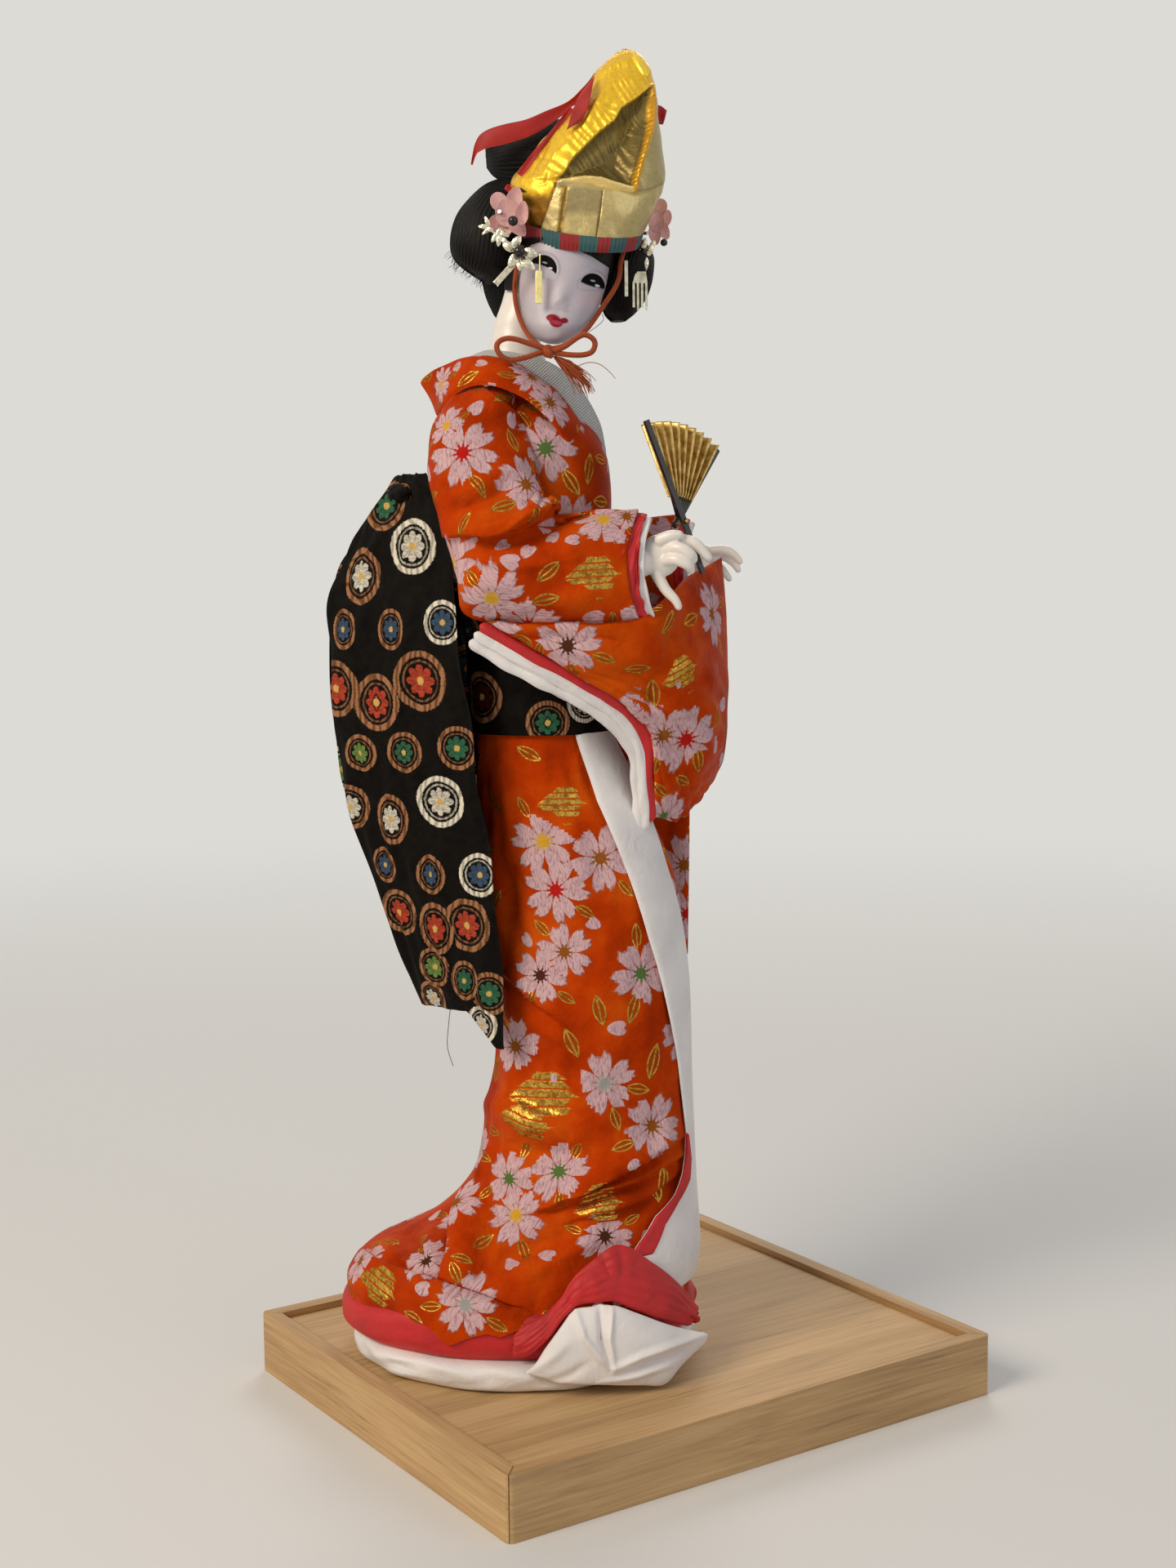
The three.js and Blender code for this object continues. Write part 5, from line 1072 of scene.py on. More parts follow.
PILLOW_PLACE, PILLOW_SIZE = np.array([-56.0, 0, 315]), np.array([9.0, 20, 6])
turn, rise = full_turn(72)[None], np.linspace(-1, 1, 40)[:, None]
girth = np.sqrt(1 - (rise * 0.999) ** 2)
pillow_grid = np.stack((girth * np.cos(turn), rise + 0 * turn, girth * np.sin(turn)), -1)[:, ::-1]
pillow_grid = PILLOW_PLACE + pillow_grid * PILLOW_SIZE * (1 + ripples(turn / 6.28, rise, 6, 6, 0.02)[...,
                                                                                                     None])
pillow = solid("sash_pillow_brocade", pillow_grid, black_brocade, slot="black_brocade",
               stands_for=("sash_pillow",))
pattern(pillow, (), 3, 1.1, 8, MEDALLION_MIX, MEDALLIONS)

# Kimono bodice
# The same brocade lies smooth over the chest, crossed left over right, and tucks into the belt.

BODICE = ((240, -34.5, 12.5, -20, 20), (267, -34.5, 12.5, -21.5, 21.5), (291, -36, 14.5, -24.5, 24.5),
          (315, -41, 15.6, -28, 28), (331, -43, 13.2, -29, 29), (341, -41, 6, -25, 25),
          (350, -37, -6, -16, 16))
BODICE_CREASES = (
    (((628, 518), (655, 560), (660, 630)), 2.5, -1.2),
    (((700, 560), (712, 600), (716, 640)), 3.0, 0.7),
)
bodice_grid = stacked(BODICE, 130, 240)[0]
bodice_grid = creased(bodice_grid, grid_normals(bodice_grid, True), BODICE_CREASES)
bodice = lay("kimono_bodice", bodice_grid, orange_brocade, closed=True, slot="orange_brocade",
             stands_for=("bodice",))
pattern(bodice, ((668, 548, BLOSSOM, "green", 12.5, 0.2), (700, 640, BLOSSOM, "brown", 11, 0.9),
                 (722, 575, LEAF, "gold", 6, 1.3), (700, 590, LEAF, "gold", 6, 2.2)), 23, 0.85, 12.5,
        KIMONO_MIX)

# Collars
# The kimono's brocade collar stands away from her nape, and inside it the ribbed white under collar shows.
# Both are stiff folded bands that follow one line, from the chest round the nape and back.

COLLAR_INNER = ((731, 616, -4), (737, 585, -4), (737, 560, -4.5), (730, 546, -6), (718, 526, -8.5),
                (704, 504, -11.5),
                (684, 478, -15), (668, 466, -17), (646, 449, -19), (628, 441, -20.5), (608, 435, -21),
                (588, 433, -20),
                (566, 436, -17.5), (550, 442, -14), (528, 453, -7.5), (513, 468, 0))
COLLAR_OUTER = ((727, 618, -8), (722, 596, -15), (710, 572, -20), (696, 544, -24.5), (680, 518, -27.5),
                (664, 502, -29),
                (644, 486, -30.5), (620, 475, -31), (596, 469, -30), (570, 473, -27), (550, 486, -22),
                (539, 503, -14),
                (535, 512, 0))
MIRROR = np.array([1, -1, 1])


def round_neck(half_line, count):
    """A line of photo pixels and y from the chest to the nape, carried on round the other side in mirror
    image."""
    half_line = off_photo(*np.array(half_line, float).T)
    return even(np.concatenate([half_line, half_line[-2::-1] * MIRROR]), count)


def collar(name, inner, outer, bulge, depth, finish, slot, stands_for, rows=260, columns=30):
    """A folded band between two lines round the neck, bowed outwards by bulge and depth thick."""
    inner, outer = round_neck(inner, rows), round_neck(outer, rows)
    share = np.linspace(0, 1, columns)[None, :, None]
    band = outer[:, None] * (1 - share) + inner[:, None] * share
    band = facing_out(band, np.array([-22.0, 0, 320]))
    nape = np.exp(-(np.linspace(-1, 1, rows)[:, None, None] / 0.16) ** 2)
    band = band + grid_normals(band, False) * np.sin(np.pi * share) * bulge * (1 - 1.5 * nape)
    return solid(name, thick(band, depth), finish, slot=slot, stands_for=stands_for)


kimono_collar = collar("kimono_collar_brocade", COLLAR_INNER, COLLAR_OUTER, 1.6, 2.4, orange_brocade,
                       "orange_brocade", ("kimono_collar",))
pattern(kimono_collar, ((674, 492, BLOSSOM, "brown", 10, 0.3), (652, 462, BLOSSOM, "brown", 9, 1.0),
                        (602, 459, BLOSSOM, "brown", 8, 0.5), (541, 470, BLOSSOM, "gold", 7, 0.9),
                        (712, 535, LEAF, "gold", 5, 1.9), (572, 462, LEAF, "gold", 5, 0.6)),
        31, 0.95, 10, KIMONO_MIX)

ribbed_silk, tree = material("ribbed white collar silk")
ribs = node(tree, "TexWave",
            {"Vector": node(tree, "UVMap", uv_map="cloth"), "Scale": 0.36, "Distortion": 0.25},
            bands_direction="Y")
# Painted shade: the rib grooves are grey and the rib crowns white.
tone = ramp(tree, ribs, ((0.0, "#8f9394"), (0.6, "#cfd2d2")))
relief = node(tree, "Bump", {"Height": ribs, "Strength": 0.8, "Distance": 0.0003})
surface(tree, {"Base Color": tone, "Roughness": 0.55, "Normal": relief, "Sheen Weight": 0.2,
               "Sheen Tint": linear("#ffffff")})
UNDER_INNER = ((740, 600, -1), (743, 560, -1), (741, 540, -1.2), (737, 520, -2), (728, 500, -4),
               (716, 480, -7),
               (702, 463, -10), (688, 451, -12.5), (668, 440, -15), (646, 434, -16.5), (620, 429, -17),
               (596, 428, -16),
               (575, 437, -13), (552, 447, -9), (537, 458, -4), (527, 470, 0))
UNDER_OUTER = ((736, 606, -3), (735, 580, -3), (733, 560, -3.5), (724, 548, -5), (712, 532, -7.5),
               (698, 510, -10.5),
               (678, 486, -14), (662, 474, -16), (642, 457, -18), (624, 449, -19.5), (606, 443, -20),
               (586, 441, -19),
               (566, 445, -16.5), (550, 452, -13), (533, 464, -6.5), (524, 478, 0))
under_collar = collar("under_collar_ribbed", UNDER_INNER, UNDER_OUTER, 0.6, 1.4, ribbed_silk, "white_silk",
                      ("under_collar",))

# Sleeves
# Each sleeve is a tube of brocade over the padded arm: down from the shoulder, bent at the elbow, and
# forward. At the wrist the crimson and white linings stand a little out of its mouth.


def swept(rings, rows, columns, turn=None, square=2.0):
    """A tube through rings (centre, half-width vectors a and b): centre + a cos t + b sin t, t round each
    ring. square above 2 makes the ring boxier; turn can crowd the columns where the detail is."""
    shares = np.linspace(0, 1, rows) if np.isscalar(rows) else rows
    table = smooth(np.array(rings, float).reshape(len(rings), 9), shares)
    centre, a, b = (table[:, None, i:i + 3] for i in (0, 3, 6))
    turn = full_turn(columns) if turn is None else turn
    cos, sin = np.cos(turn)[None, :, None], np.sin(turn)[None, :, None]
    reach = (np.abs(cos) ** square + np.abs(sin) ** square) ** (-1 / square)
    return facing_out(centre + (a * cos + b * sin) * reach, centre, True)


RIGHT_ARM = (
    (-28, -18, 352, 7, 0, 0, 0, 6, 0), (-30.5, -21, 346.5, 12.5, 0, 2, 0, 10, 0),
    (-32, -24.5, 337, 15, 0, 1, 0, 13.5, 0),
    (-31, -28.5, 323, 17.5, 0, 0, 0, 15, 0), (-28.5, -30.5, 309, 15.5, 0, 5, 0, 14.5, 0),
    (-26, -32, 299, 12.8, 0, 12, 0, 13.5, 0),
    (-22, -34, 290.5, 13.5, 0, 18, 0, 13, 0), (-7, -35.5, 287, 1.5, 0, 20, 0, 12, 0),
    (10, -35.5, 287.5, 0, 0, 20.3, 0, 10.5, 0),
    (25, -34, 288, -0.6, 0, 20.6, 0, 9, 0))
LEFT_ARM = (
    (-28, 18, 352, 7, 0, 0, 0, 6, 0), (-31, 21, 346.5, 13.5, 0, 2, 0, 10, 0),
    (-33, 24.5, 337, 16.5, 0, 1, 0, 13.5, 0),
    (-34, 27.5, 323, 18, 0, 0, 0, 15, 0), (-33.5, 29.5, 309, 18, 0, 5, 0, 14.5, 0),
    (-29, 32, 298, 15.5, 0, 13, 0, 13.5, 0),
    (-20, 34, 290.5, 8.5, 0, 18, 0, 12.5, 0), (0, 35.5, 286.5, 1, 0, 18.5, 0, 11, 0),
    (22, 33.5, 286.5, 0, 0, 19, 0, 9.5, 0),
    (43, 30, 288.5, 0, 0, 19, 0, 8, 0))
MOUTH_HOLLOW = 4.5
ARM_PLEATS = (
    (((734, 614), (700, 622), (670, 635), (640, 647), (600, 654), (560, 657)), 9.0, 7.0),
    (((598, 478), (626, 502), (645, 540), (655, 590), (652, 632)), 8.0, 3.6),
    (((690, 690), (640, 700), (590, 692), (562, 676)), 9.0, 1.6),
)
ARM_CREASES = (
    (((562, 668), (600, 666), (650, 656), (704, 636)), 3.8, -2.6),
    (((540, 613), (562, 606), (586, 597), (620, 568)), 3.0, 2.0),
    (((545, 628), (575, 622), (600, 612), (630, 590)), 2.6, -1.6),
    (((590, 505), (622, 518), (645, 546)), 4.5, -2.4),
    (((600, 668), (650, 664), (700, 648)), 4.5, -1.6),
    (((560, 700), (600, 712), (640, 712)), 4.5, 1.6),
    (((548, 600), (560, 630), (566, 660)), 3.0, -1.2),
    (((620, 560), (640, 600), (650, 640)), 3.8, 1.2),
    (((560, 575), (590, 610), (600, 640)), 4.5, 1.4),
    (((640, 740), (700, 735), (760, 715)), 3.8, 1.0),
    (((600, 765), (660, 752), (720, 752)), 3.0, -1.2),
    (((690, 640), (700, 668), (704, 700)), 3.0, 0.8),
)
ARM_MOTIFS = (
    (567, 554, BLOSSOM, "red", 12.5, 0.9), (644, 592, BLOSSOM, "brown", 11, 1.5),
    (600, 733, BLOSSOM, "gold", 12, 0.5),
    (650, 765, BLOSSOM, "red", 12, 0.3), (738, 636, BLOSSOM, "gold", 10.5, 0.2),
    (768, 632, BLOSSOM, "brown", 9, 1.0),
    (730, 706, CLOUD, "gold", 15, 0.05), (547, 522, BLOSSOM, "gold", 8, 0.2),
    (618, 618, LEAF, "gold", 5.5, 0.3),
    (568, 640, LEAF, "gold", 5, 1.0), (672, 700, LEAF, "gold", 5.5, 0.7), (668, 735, LEAF, "gold", 5.5, 0.2),
    (729, 756, PETAL_ALONE, "gold", 4.5, 0), (700, 660, PETAL_ALONE, "gold", 3, 0),
    (585, 590, LEAF, "gold", 5, 2.2),
)
ARM_ROWS, ARM_COLUMNS = 160, 150
CUFF_ROWS, CUFF_COLUMNS = 60, 110
WRIST_HALF_SIZES = np.repeat((19, 10.5), 3)
for side, rings, marks in (("right", RIGHT_ARM, ARM_MOTIFS), ("left", LEFT_ARM, ())):
    rings = np.array(rings, float)
    arm = swept(rings, ARM_ROWS, ARM_COLUMNS)
    down, wrist = np.linspace(0, 1, ARM_ROWS)[:, None], rings[-1, 2]
    hollow = np.clip(1 - ((arm[..., 2] - wrist) / 20) ** 2, 0, 1) * np.clip(down * 4 - 3, 0, 1)
    arm[..., 0] -= MOUTH_HOLLOW * hollow
    wrinkles = ripples(down, np.linspace(0, 1, ARM_COLUMNS)[None], 40 + len(side), 9, 0.45)
    arm += grid_normals(arm, True) * wrinkles[..., None]
    if side == "right":
        arm = creased(arm, grid_normals(arm, True), ARM_CREASES)
        arm = pleated(arm, grid_normals(arm, True), ARM_PLEATS)
    sleeve = lay(f"{side}_sleeve_brocade", arm, orange_brocade, closed=True, slot="orange_brocade",
                 stands_for=(f"{side}_sleeve",))
    pattern(sleeve, marks, 50 + len(side), 0.85, 12.5, KIMONO_MIX)
    thicken(sleeve, 0.9)
    for lining, inset, stand, finish in (("red", 1.6, 3.2, red_silk), ("white", 3.0, 5.6, white_silk)):
        mouth = smooth(rings, np.linspace(0.93, 1, 3))
        mouth[:, 3:9] *= 1 - inset / WRIST_HALF_SIZES
        mouth = np.concatenate([mouth, mouth[-1:]])
        mouth[-1, 0] += stand
        cuff = swept(mouth, CUFF_ROWS, CUFF_COLUMNS)
        down = np.linspace(0, 1, CUFF_ROWS)[:, None]
        near_mouth = np.clip(1 - ((cuff[..., 2] - wrist) / 20) ** 2, 0, 1) * down ** 2
        cuff[..., 0] -= MOUTH_HOLLOW * near_mouth
        wrinkles = ripples(down, np.linspace(0, 2, CUFF_COLUMNS)[None], 60 + len(lining), 8, 0.35)
        cuff += grid_normals(cuff, True) * wrinkles[..., None]
        rim = lay(f"{side}_cuff_lining_{lining}", cuff, finish, closed=True, slot=f"{lining}_silk",
                  stands_for=(f"{side}_cuff_{lining}",))
        thicken(rim, 0.8)

# Sleeve bags
# Below each forearm hangs the long pouch of the furisode sleeve, open at the back.
# Its edge shows the crimson lining and the two white layers of the under-sleeve as soft rolls.


def patch(top, foot, back, front, rows, columns):
    """A Coons patch: the blend of its four edge lines, less the bilinear blend of its corners."""
    s, t = np.linspace(0, 1, columns)[None, :, None], np.linspace(0, 1, rows)[:, None, None]
    top, foot = smooth(top, s[0, :, 0])[None], smooth(foot, s[0, :, 0])[None]
    back, front = smooth(back, t[:, 0, 0])[:, None], smooth(front, t[:, 0, 0])[:, None]
    corners = ((1 - s) * (1 - t) * top[:, :1] + s * (1 - t) * top[:, -1:] + (1 - s) * t * foot[:, :1]
               + s * t * foot[:, -1:])
    return (1 - t) * top + t * foot + (1 - s) * back + s * front - corners


BAG_TOP = ((-29, -39, 271), (-16, -43, 270), (2, -44.5, 270), (24, -39, 271), (42, -12, 284), (57, 25, 291.5))
BAG_FOOT = ((30, -16, 199), (38, 2, 196), (46, 20, 200))
BAG_BACK = ((-29, -39, 271), (-9, -37.5, 259), (14, -32, 246), (27, -25, 232), (29.5, -20, 215),
            (30, -16, 199))
BAG_FRONT = ((57, 25, 291.5), (58.5, 25, 262), (57, 25, 220), (46, 20, 200))
BAG_CREASES = (
    (((815, 780), (800, 830), (788, 880)), 2.2, -1.2),
    (((700, 790), (760, 800), (830, 792)), 4.5, 1.5),
    (((800, 900), (815, 960), (818, 1020)), 3.0, 1.4),
    (((845, 800), (862, 880), (858, 950)), 5.2, 1.6),
    (((700, 820), (760, 850), (795, 890)), 3.0, 1.0),
    (((640, 778), (700, 784), (780, 780)), 2.2, -1.6),
)
BAG_MOTIFS = (
    (840, 905, BLOSSOM, "red", 13.5, 0.4), (812, 900, BLOSSOM, "brown", 12, 1.1),
    (872, 752, BLOSSOM, "brown", 12.5, 0.8),
    (696, 792, BLOSSOM, "dark", 12, 0.3), (838, 825, CLOUD, "gold", 14, 0.35),
    (776, 870, BLOSSOM, "dark", 11, 0.6),
    (832, 838, PETAL_ALONE, "gold", 4, 0), (884, 862, PETAL_ALONE, "gold", 4, 0),
    (826, 995, PETAL_ALONE, "gold", 4.5, 0),
    (820, 762, LEAF, "gold", 6, 0.8), (800, 850, LEAF, "gold", 6, 1.6), (855, 930, LEAF, "gold", 6, 1.9),
    (812, 1000, BLOSSOM, "green", 11, 0.3),
)


def bag(name, edges, creases, marks, seed, body_depth, rows=150, columns=150):
    """The two brocade layers of a bag, body_depth apart in the middle and drawn together at its edges."""
    face = facing_out(patch(*edges, rows, columns), np.array([0.0, 10, 240]))
    face = creased(face, grid_normals(face, False), creases)
    s, t = np.linspace(-1, 1, columns)[None], np.linspace(-1, 1, rows)[:, None]
    face = face + grid_normals(face, False) * (ripples(s / 2, t / 2, seed, 8, 0.7) * (1 - s ** 4))[..., None]
    full = np.sqrt(np.clip(1 - s ** 6, 0, 1)) * np.sqrt(np.clip(1 - t ** 10, 0, 1))
    normal = grid_normals(face, False)
    front = face + normal * (full * body_depth / 2)[..., None]
    back = face - normal * (full * body_depth / 2)[..., None]
    made = solid(name, np.concatenate([front, back[:, ::-1]], 1), orange_brocade,
                 slot="orange_brocade", stands_for=(name.replace("_brocade", ""),))
    pattern(made, marks, seed, 0.85, 12.5, KIMONO_MIX)
    return made


def rings_round(path, hint, columns):
    """The two parts of a unit circle square to a path: side cos t and out sin t, with t round each of its
    points; side is the cross product of the path's way and the hint."""
    way = np.gradient(path, axis=0)
    way /= np.linalg.norm(way, axis=1, keepdims=True)
    side = np.cross(way, hint)
    side /= np.linalg.norm(side, axis=1, keepdims=True)
    turn = full_turn(columns)[None, :, None]
    return side[:, None] * np.cos(turn), np.cross(side, way)[:, None] * np.sin(turn)


def rolled_edge(line, offset, radius, rows=150, columns=20, seed=1):
    """A soft roll of lining along a bag's edge: a round tube on the line moved by offset, slightly wavy."""
    line = even(line, rows) + np.array(offset, float)
    across, out = rings_round(line, (0, -1.0, 0.0), columns)
    wave = 1 + 0.16 * ripples(np.linspace(0, 1, rows)[:, None], full_turn(columns)[None] / 6.28, seed, 5, 1.0)
    ends = np.sqrt(np.clip(1 - np.linspace(-1, 1, rows) ** 30, 0.02, 1))[:, None]
    ring = across * radius[0] + out * radius[1]
    return facing_out(line[:, None] + ring * (wave * ends)[..., None], line[:, None], True)


right_bag = bag("right_sleeve_bag_brocade", (BAG_TOP, BAG_FOOT, BAG_BACK, BAG_FRONT), BAG_CREASES, BAG_MOTIFS,
                61, 5.0)
for number, (lining, offset, radius, finish) in enumerate((
        ("red", (-1.6, 1.2, -1.8), (2.3, 1.4), red_silk),
    ("white", (-3.6, 1.6, -4.6), (2.2, 1.5), white_silk),
        ("under_white", (-5.4, 2.6, -7.4), (2.2, 1.4), white_silk))):
    stands = {"red": ("right_bag_red",), "white": ("right_bag_white",)}.get(lining, ())
    roll_piece = solid(f"right_bag_lining_{lining}", rolled_edge(BAG_BACK, offset, radius, seed=number + 2),
                       finish, slot="red_silk" if lining == "red" else "white_silk", stands_for=stands)

LEFT_BAG = (((-10, 34, 267), (16, 35, 265), (44, 31, 269)), ((-14, 37, 138), (14, 40, 132), (44, 32, 140)),
            ((-10, 34, 267), (-14, 38, 200), (-14, 37, 138)), ((44, 31, 269), (45, 33, 205), (44, 32, 140)))
left_bag = bag("left_sleeve_bag_brocade", LEFT_BAG, (), ((838, 1060, BLOSSOM, "brown", 12, 0.4),
                                                         (842, 1120, BLOSSOM, "red", 11, 1.0)), 71, 5.0)

# Hands and fan
# The hands are carved wood under white shell lacquer, with thin separate fingers.
# Her right hand holds a gilt paper fan by its black handle, open by a third.

shell_white = drifting("polished white shell lacquer", 90.0, 3.0, ((0.3, "#e2dbd4"), (0.7, "#ece7e1")),
                       (0.3, 0.42),
                       {"Coat Weight": 0.25, "Coat Roughness": 0.25, "Subsurface Weight": 0.08,
                        "Subsurface Scale": 0.002, "Subsurface Radius": (1.0, 0.6, 0.5)})


def limb(line, radii, rows=60, columns=22):
    """A round tapering finger along the line: rings of the given radii, closed to a point at both ends."""
    path = even(line, rows)
    across, out = rings_round(path, (0.1, 1.0, 0.2), columns)
    share = np.linspace(0, 1, rows)
    length = np.linalg.norm(np.diff(path, axis=0), axis=1).sum()
    radius = smooth(np.array(radii, float), share)
    tip = np.clip(np.minimum(share, 1 - share) * length / radius, 0.0, 1)
    radius = radius * np.sqrt(np.clip(1 - (1 - tip) ** 2, 0.004, 1))
    return facing_out(path[:, None] + (across + out) * radius[:, None, None], path[:, None], True)


def ball(middle, size, rows=40, columns=48):
    """An egg at middle with half sizes size: rings of radius cos b at height sin b."""
    rise, turn = np.linspace(-1.55, 1.55, rows)[:, None], full_turn(columns)[None]
    egg = np.stack((np.cos(rise) * np.cos(turn), np.cos(rise) * np.sin(turn), np.sin(rise) + 0 * turn), -1)
    return np.array(middle, float) + egg * np.array(size, float)


def joined(name, parts, finish, body="root"):
    """One object of several closed grids."""
    shells = [solid(f"{name}_{i}", part, finish, body=body) for i, part in enumerate(parts)]
    with bpy.context.temp_override(active_object=shells[0], selected_editable_objects=shells,
                                   selected_objects=shells, object=shells[0]):
        bpy.ops.object.join()
    shells[0].name = shells[0].data.name = name
    return shells[0]


def grown_together(name, parts, finish, voxel, rounds, **more):
    """One skin round overlapping closed parts: joined, remeshed in voxels of that many mm, and smoothed."""
    whole = joined(name, parts, finish)
    skin = whole.modifiers.new("skin", "REMESH")
    skin.mode, skin.voxel_size, skin.use_smooth_shade = "VOXEL", voxel * MM, True
    even_out = whole.modifiers.new("even", "SMOOTH")
    even_out.factor, even_out.iterations = 0.5, rounds
    graph = bpy.context.evaluated_depsgraph_get()
    mesh = bpy.data.meshes.new_from_object(whole.evaluated_get(graph))
    whole.modifiers.clear()
    whole.data = mesh
    mesh.materials.clear()
    mesh.materials.append(finish)
    return dress(whole, **more)


RIGHT_HAND = (
    ball((31.8, -33.2, 292.3), (7.2, 3.5, 7.4)),
    limb(((12, -33.5, 287.5), (20, -33.2, 289), (30, -33, 291)), (6.2, 5.4, 5.0)),
    limb(((33, -33, 296), (38.5, -34, 297.5), (44, -35, 296.3), (49.5, -34.5, 290.5)), (2.6, 2.3, 2.0, 1.35)),
    limb(((33, -34, 294), (38, -38, 295), (42.3, -38.8, 292.6), (43.5, -35.5, 290)), (2.5, 2.2, 2.0, 1.4)),
    limb(((32, -34, 290.5), (37, -38.2, 291), (41.5, -38.8, 288.8), (42.6, -35.8, 286.4)),
         (2.4, 2.1, 1.9, 1.35)),
    limb(((30, -33.5, 287.5), (33.5, -35.2, 281), (37, -36, 277), (38.6, -36, 273.5)), (2.3, 2.0, 1.7, 1.2)),
    limb(((30, -35, 297), (35.5, -37.2, 299.2), (40, -37.2, 299.4)), (2.3, 2.0, 1.5)),
)
LEFT_HAND = (
    ball((50.5, 29.8, 291), (6.3, 3.4, 5.3)),
    limb(((32, 30, 288.5), (40, 30, 289), (50, 30, 290.6)), (5.6, 4.8, 4.2)),
    limb(((52, 28.4, 293.5), (58, 27.2, 294.2), (62, 26.4, 292), (64.6, 26, 288.8)), (2.1, 1.8, 1.6, 1.1)),
    limb(((52, 30.6, 292), (58, 31, 291.8), (62, 30.5, 289), (64, 30, 285.6)), (2.1, 1.8, 1.6, 1.1)),
    limb(((51, 32.4, 289.4), (56.5, 33.3, 287.8), (61, 33, 282.4)), (2.0, 1.7, 1.1)),
    limb(((49, 27.4, 289), (53.5, 25.2, 286), (57.2, 24.5, 281.8)), (2.1, 1.8, 1.2)),
)
for side, parts in (("right", RIGHT_HAND), ("left", LEFT_HAND)):
    grown_together(f"{side}_hand_lacquered", parts, shell_white, 0.42, 5, body="root", slot="white_lacquer",
                   stands_for=(f"{side}_hand",))

black_lacquer = drifting("black lacquered bamboo", 500.0, 3.0, ((0.3, "#0e0c0b"), (0.7, "#1b1715")),
                         (0.22, 0.36),
                         {"Coat Weight": 0.5, "Coat Roughness": 0.12})
rivet_brass = drifting("turned brass", 800.0, 2.0, "#c8a558", (0.25, 0.45), {"Metallic": 1.0})
for name, finish in (("fan_near_guard", black_lacquer), ("fan_far_guard", black_lacquer),
                     ("fan_rivet", rivet_brass)):
    ease(finish_node(name, finish), 0.15 * MM, 0.7)

FAN_RIVET = np.array([38.8, -33, 303.5])
FAN_ANGLE, FAN_INNER, FAN_OUTER, FAN_PLEATS, FAN_DEPTH = math.radians(62), 9.5, 35.6, 9, 2.6
near_way = np.array([-12.7, -3, 34.6])
near_way /= np.linalg.norm(near_way)
far_hint = np.array([16.6, 21, 25.5])
across_fan = far_hint - near_way * (far_hint @ near_way)
across_fan /= np.linalg.norm(across_fan)
fan_normal = np.cross(near_way, across_fan)


def on_fan(radius, share, rise):
    """Points at a radius from the rivet, a share of the open angle from the near guard, lifted off the
    plane."""
    turn = np.asarray(share)[..., None] * FAN_ANGLE
    way = near_way * np.cos(turn) + across_fan * np.sin(turn)
    return FAN_RIVET + way * np.asarray(radius)[..., None] + fan_normal * np.asarray(rise)[..., None]


def fan_chord(radius):
    """The ends, in metres on the stand, of the open fan's chord at a radius from the rivet."""
    return [tuple(on_stand(on_fan(radius, share, 0.0)) * MM) for share in (0.0, 1.0)]


gilt_paper = drifting("gilt fan paper", 350.0, 5.0, ((0.3, "#9c7c3c"), (0.52, "#d2b068"), (0.75, "#ecd8a0")),
                      (0.3, 0.5), {"Metallic": 0.75}, (0.25, 0.0003), Distortion=0.6)
LEAF_START, LEAF_SPAN = 0.03, 0.94
share = LEAF_START + LEAF_SPAN * np.linspace(0, 1, FAN_PLEATS * 8 + 1)
fold = np.abs((share - LEAF_START) / LEAF_SPAN * FAN_PLEATS % 1 * 2 - 1) * 2 - 1
radius = np.linspace(FAN_INNER, FAN_OUTER, 40)[:, None]
reach = radius + 0.5 * (radius / FAN_OUTER) * fold[None]
rise = fold[None] * FAN_DEPTH * (0.45 + 0.55 * radius / 36)
leaf_grid = on_fan(reach, np.broadcast_to(share, reach.shape), rise)
leaf = solid("fan_leaf_paper", thick(leaf_grid, 0.25), gilt_paper, slot="gold_paper",
             stands_for=("fan_leaf",))
leaf.parent = None
start, end = fan_chord(22.0)
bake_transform(leaf)

along, wide = np.linspace(1.5, FAN_OUTER - 1.6, 30)[:, None], np.linspace(-1, 1, 5)[None]
ribs = []
for rib in range(1, FAN_PLEATS):
    spot = LEAF_START + LEAF_SPAN * rib / FAN_PLEATS
    rise = 0.35 * (1 - wide ** 2) + 0.02 * along + 0.1 * (rib - FAN_PLEATS / 2) / FAN_PLEATS
    ribs.append(thick(on_fan(along + 0 * wide, spot + wide * 0.4 / (along * FAN_ANGLE), rise), 0.5))
fan_ribs = joined("fan_ribs", ribs, black_lacquer)
fan_ribs.parent = None
start, end = fan_chord(8.0)
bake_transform(fan_ribs)

# Loose thread
# One black warp thread has come out of the raw foot of the sash tail and hangs free.

LOOSE_THREAD = ((552, 1230, -14), (549, 1258, -14), (548, 1282, -14), (555, 1306, -14))
loose = off_photo(*np.array(LOOSE_THREAD, float).T)
solid("sash_loose_thread", limb(loose, (0.13, 0.13, 0.12), 60, 7), black_lacquer)

# Head and neck
# The head is moulded wood paste under many coats of white shell lacquer, burnished to a soft gloss. Brows and
# nose are modelled in low relief, eyes and lips are painted on, and the neck stem plugs into the body.


def photo_rings(stations):
    """Rings for swept(): each station holds the photo pixels of a ring's two ends, its y, half depth and
    droop."""
    ends = np.array([station[:4] for station in stations], float)
    deep = np.array([(tuple(station[4:]) + (0.0,))[:3] for station in stations])
    left, right = (off_photo(ends[:, i], ends[:, i + 1], deep[:, 0]) for i in (0, 2))
    across = np.stack((0 * deep[:, 1], deep[:, 1], deep[:, 2]), 1)
    return np.concatenate(((left + right) / 2, (right - left) / 2, across), 1)


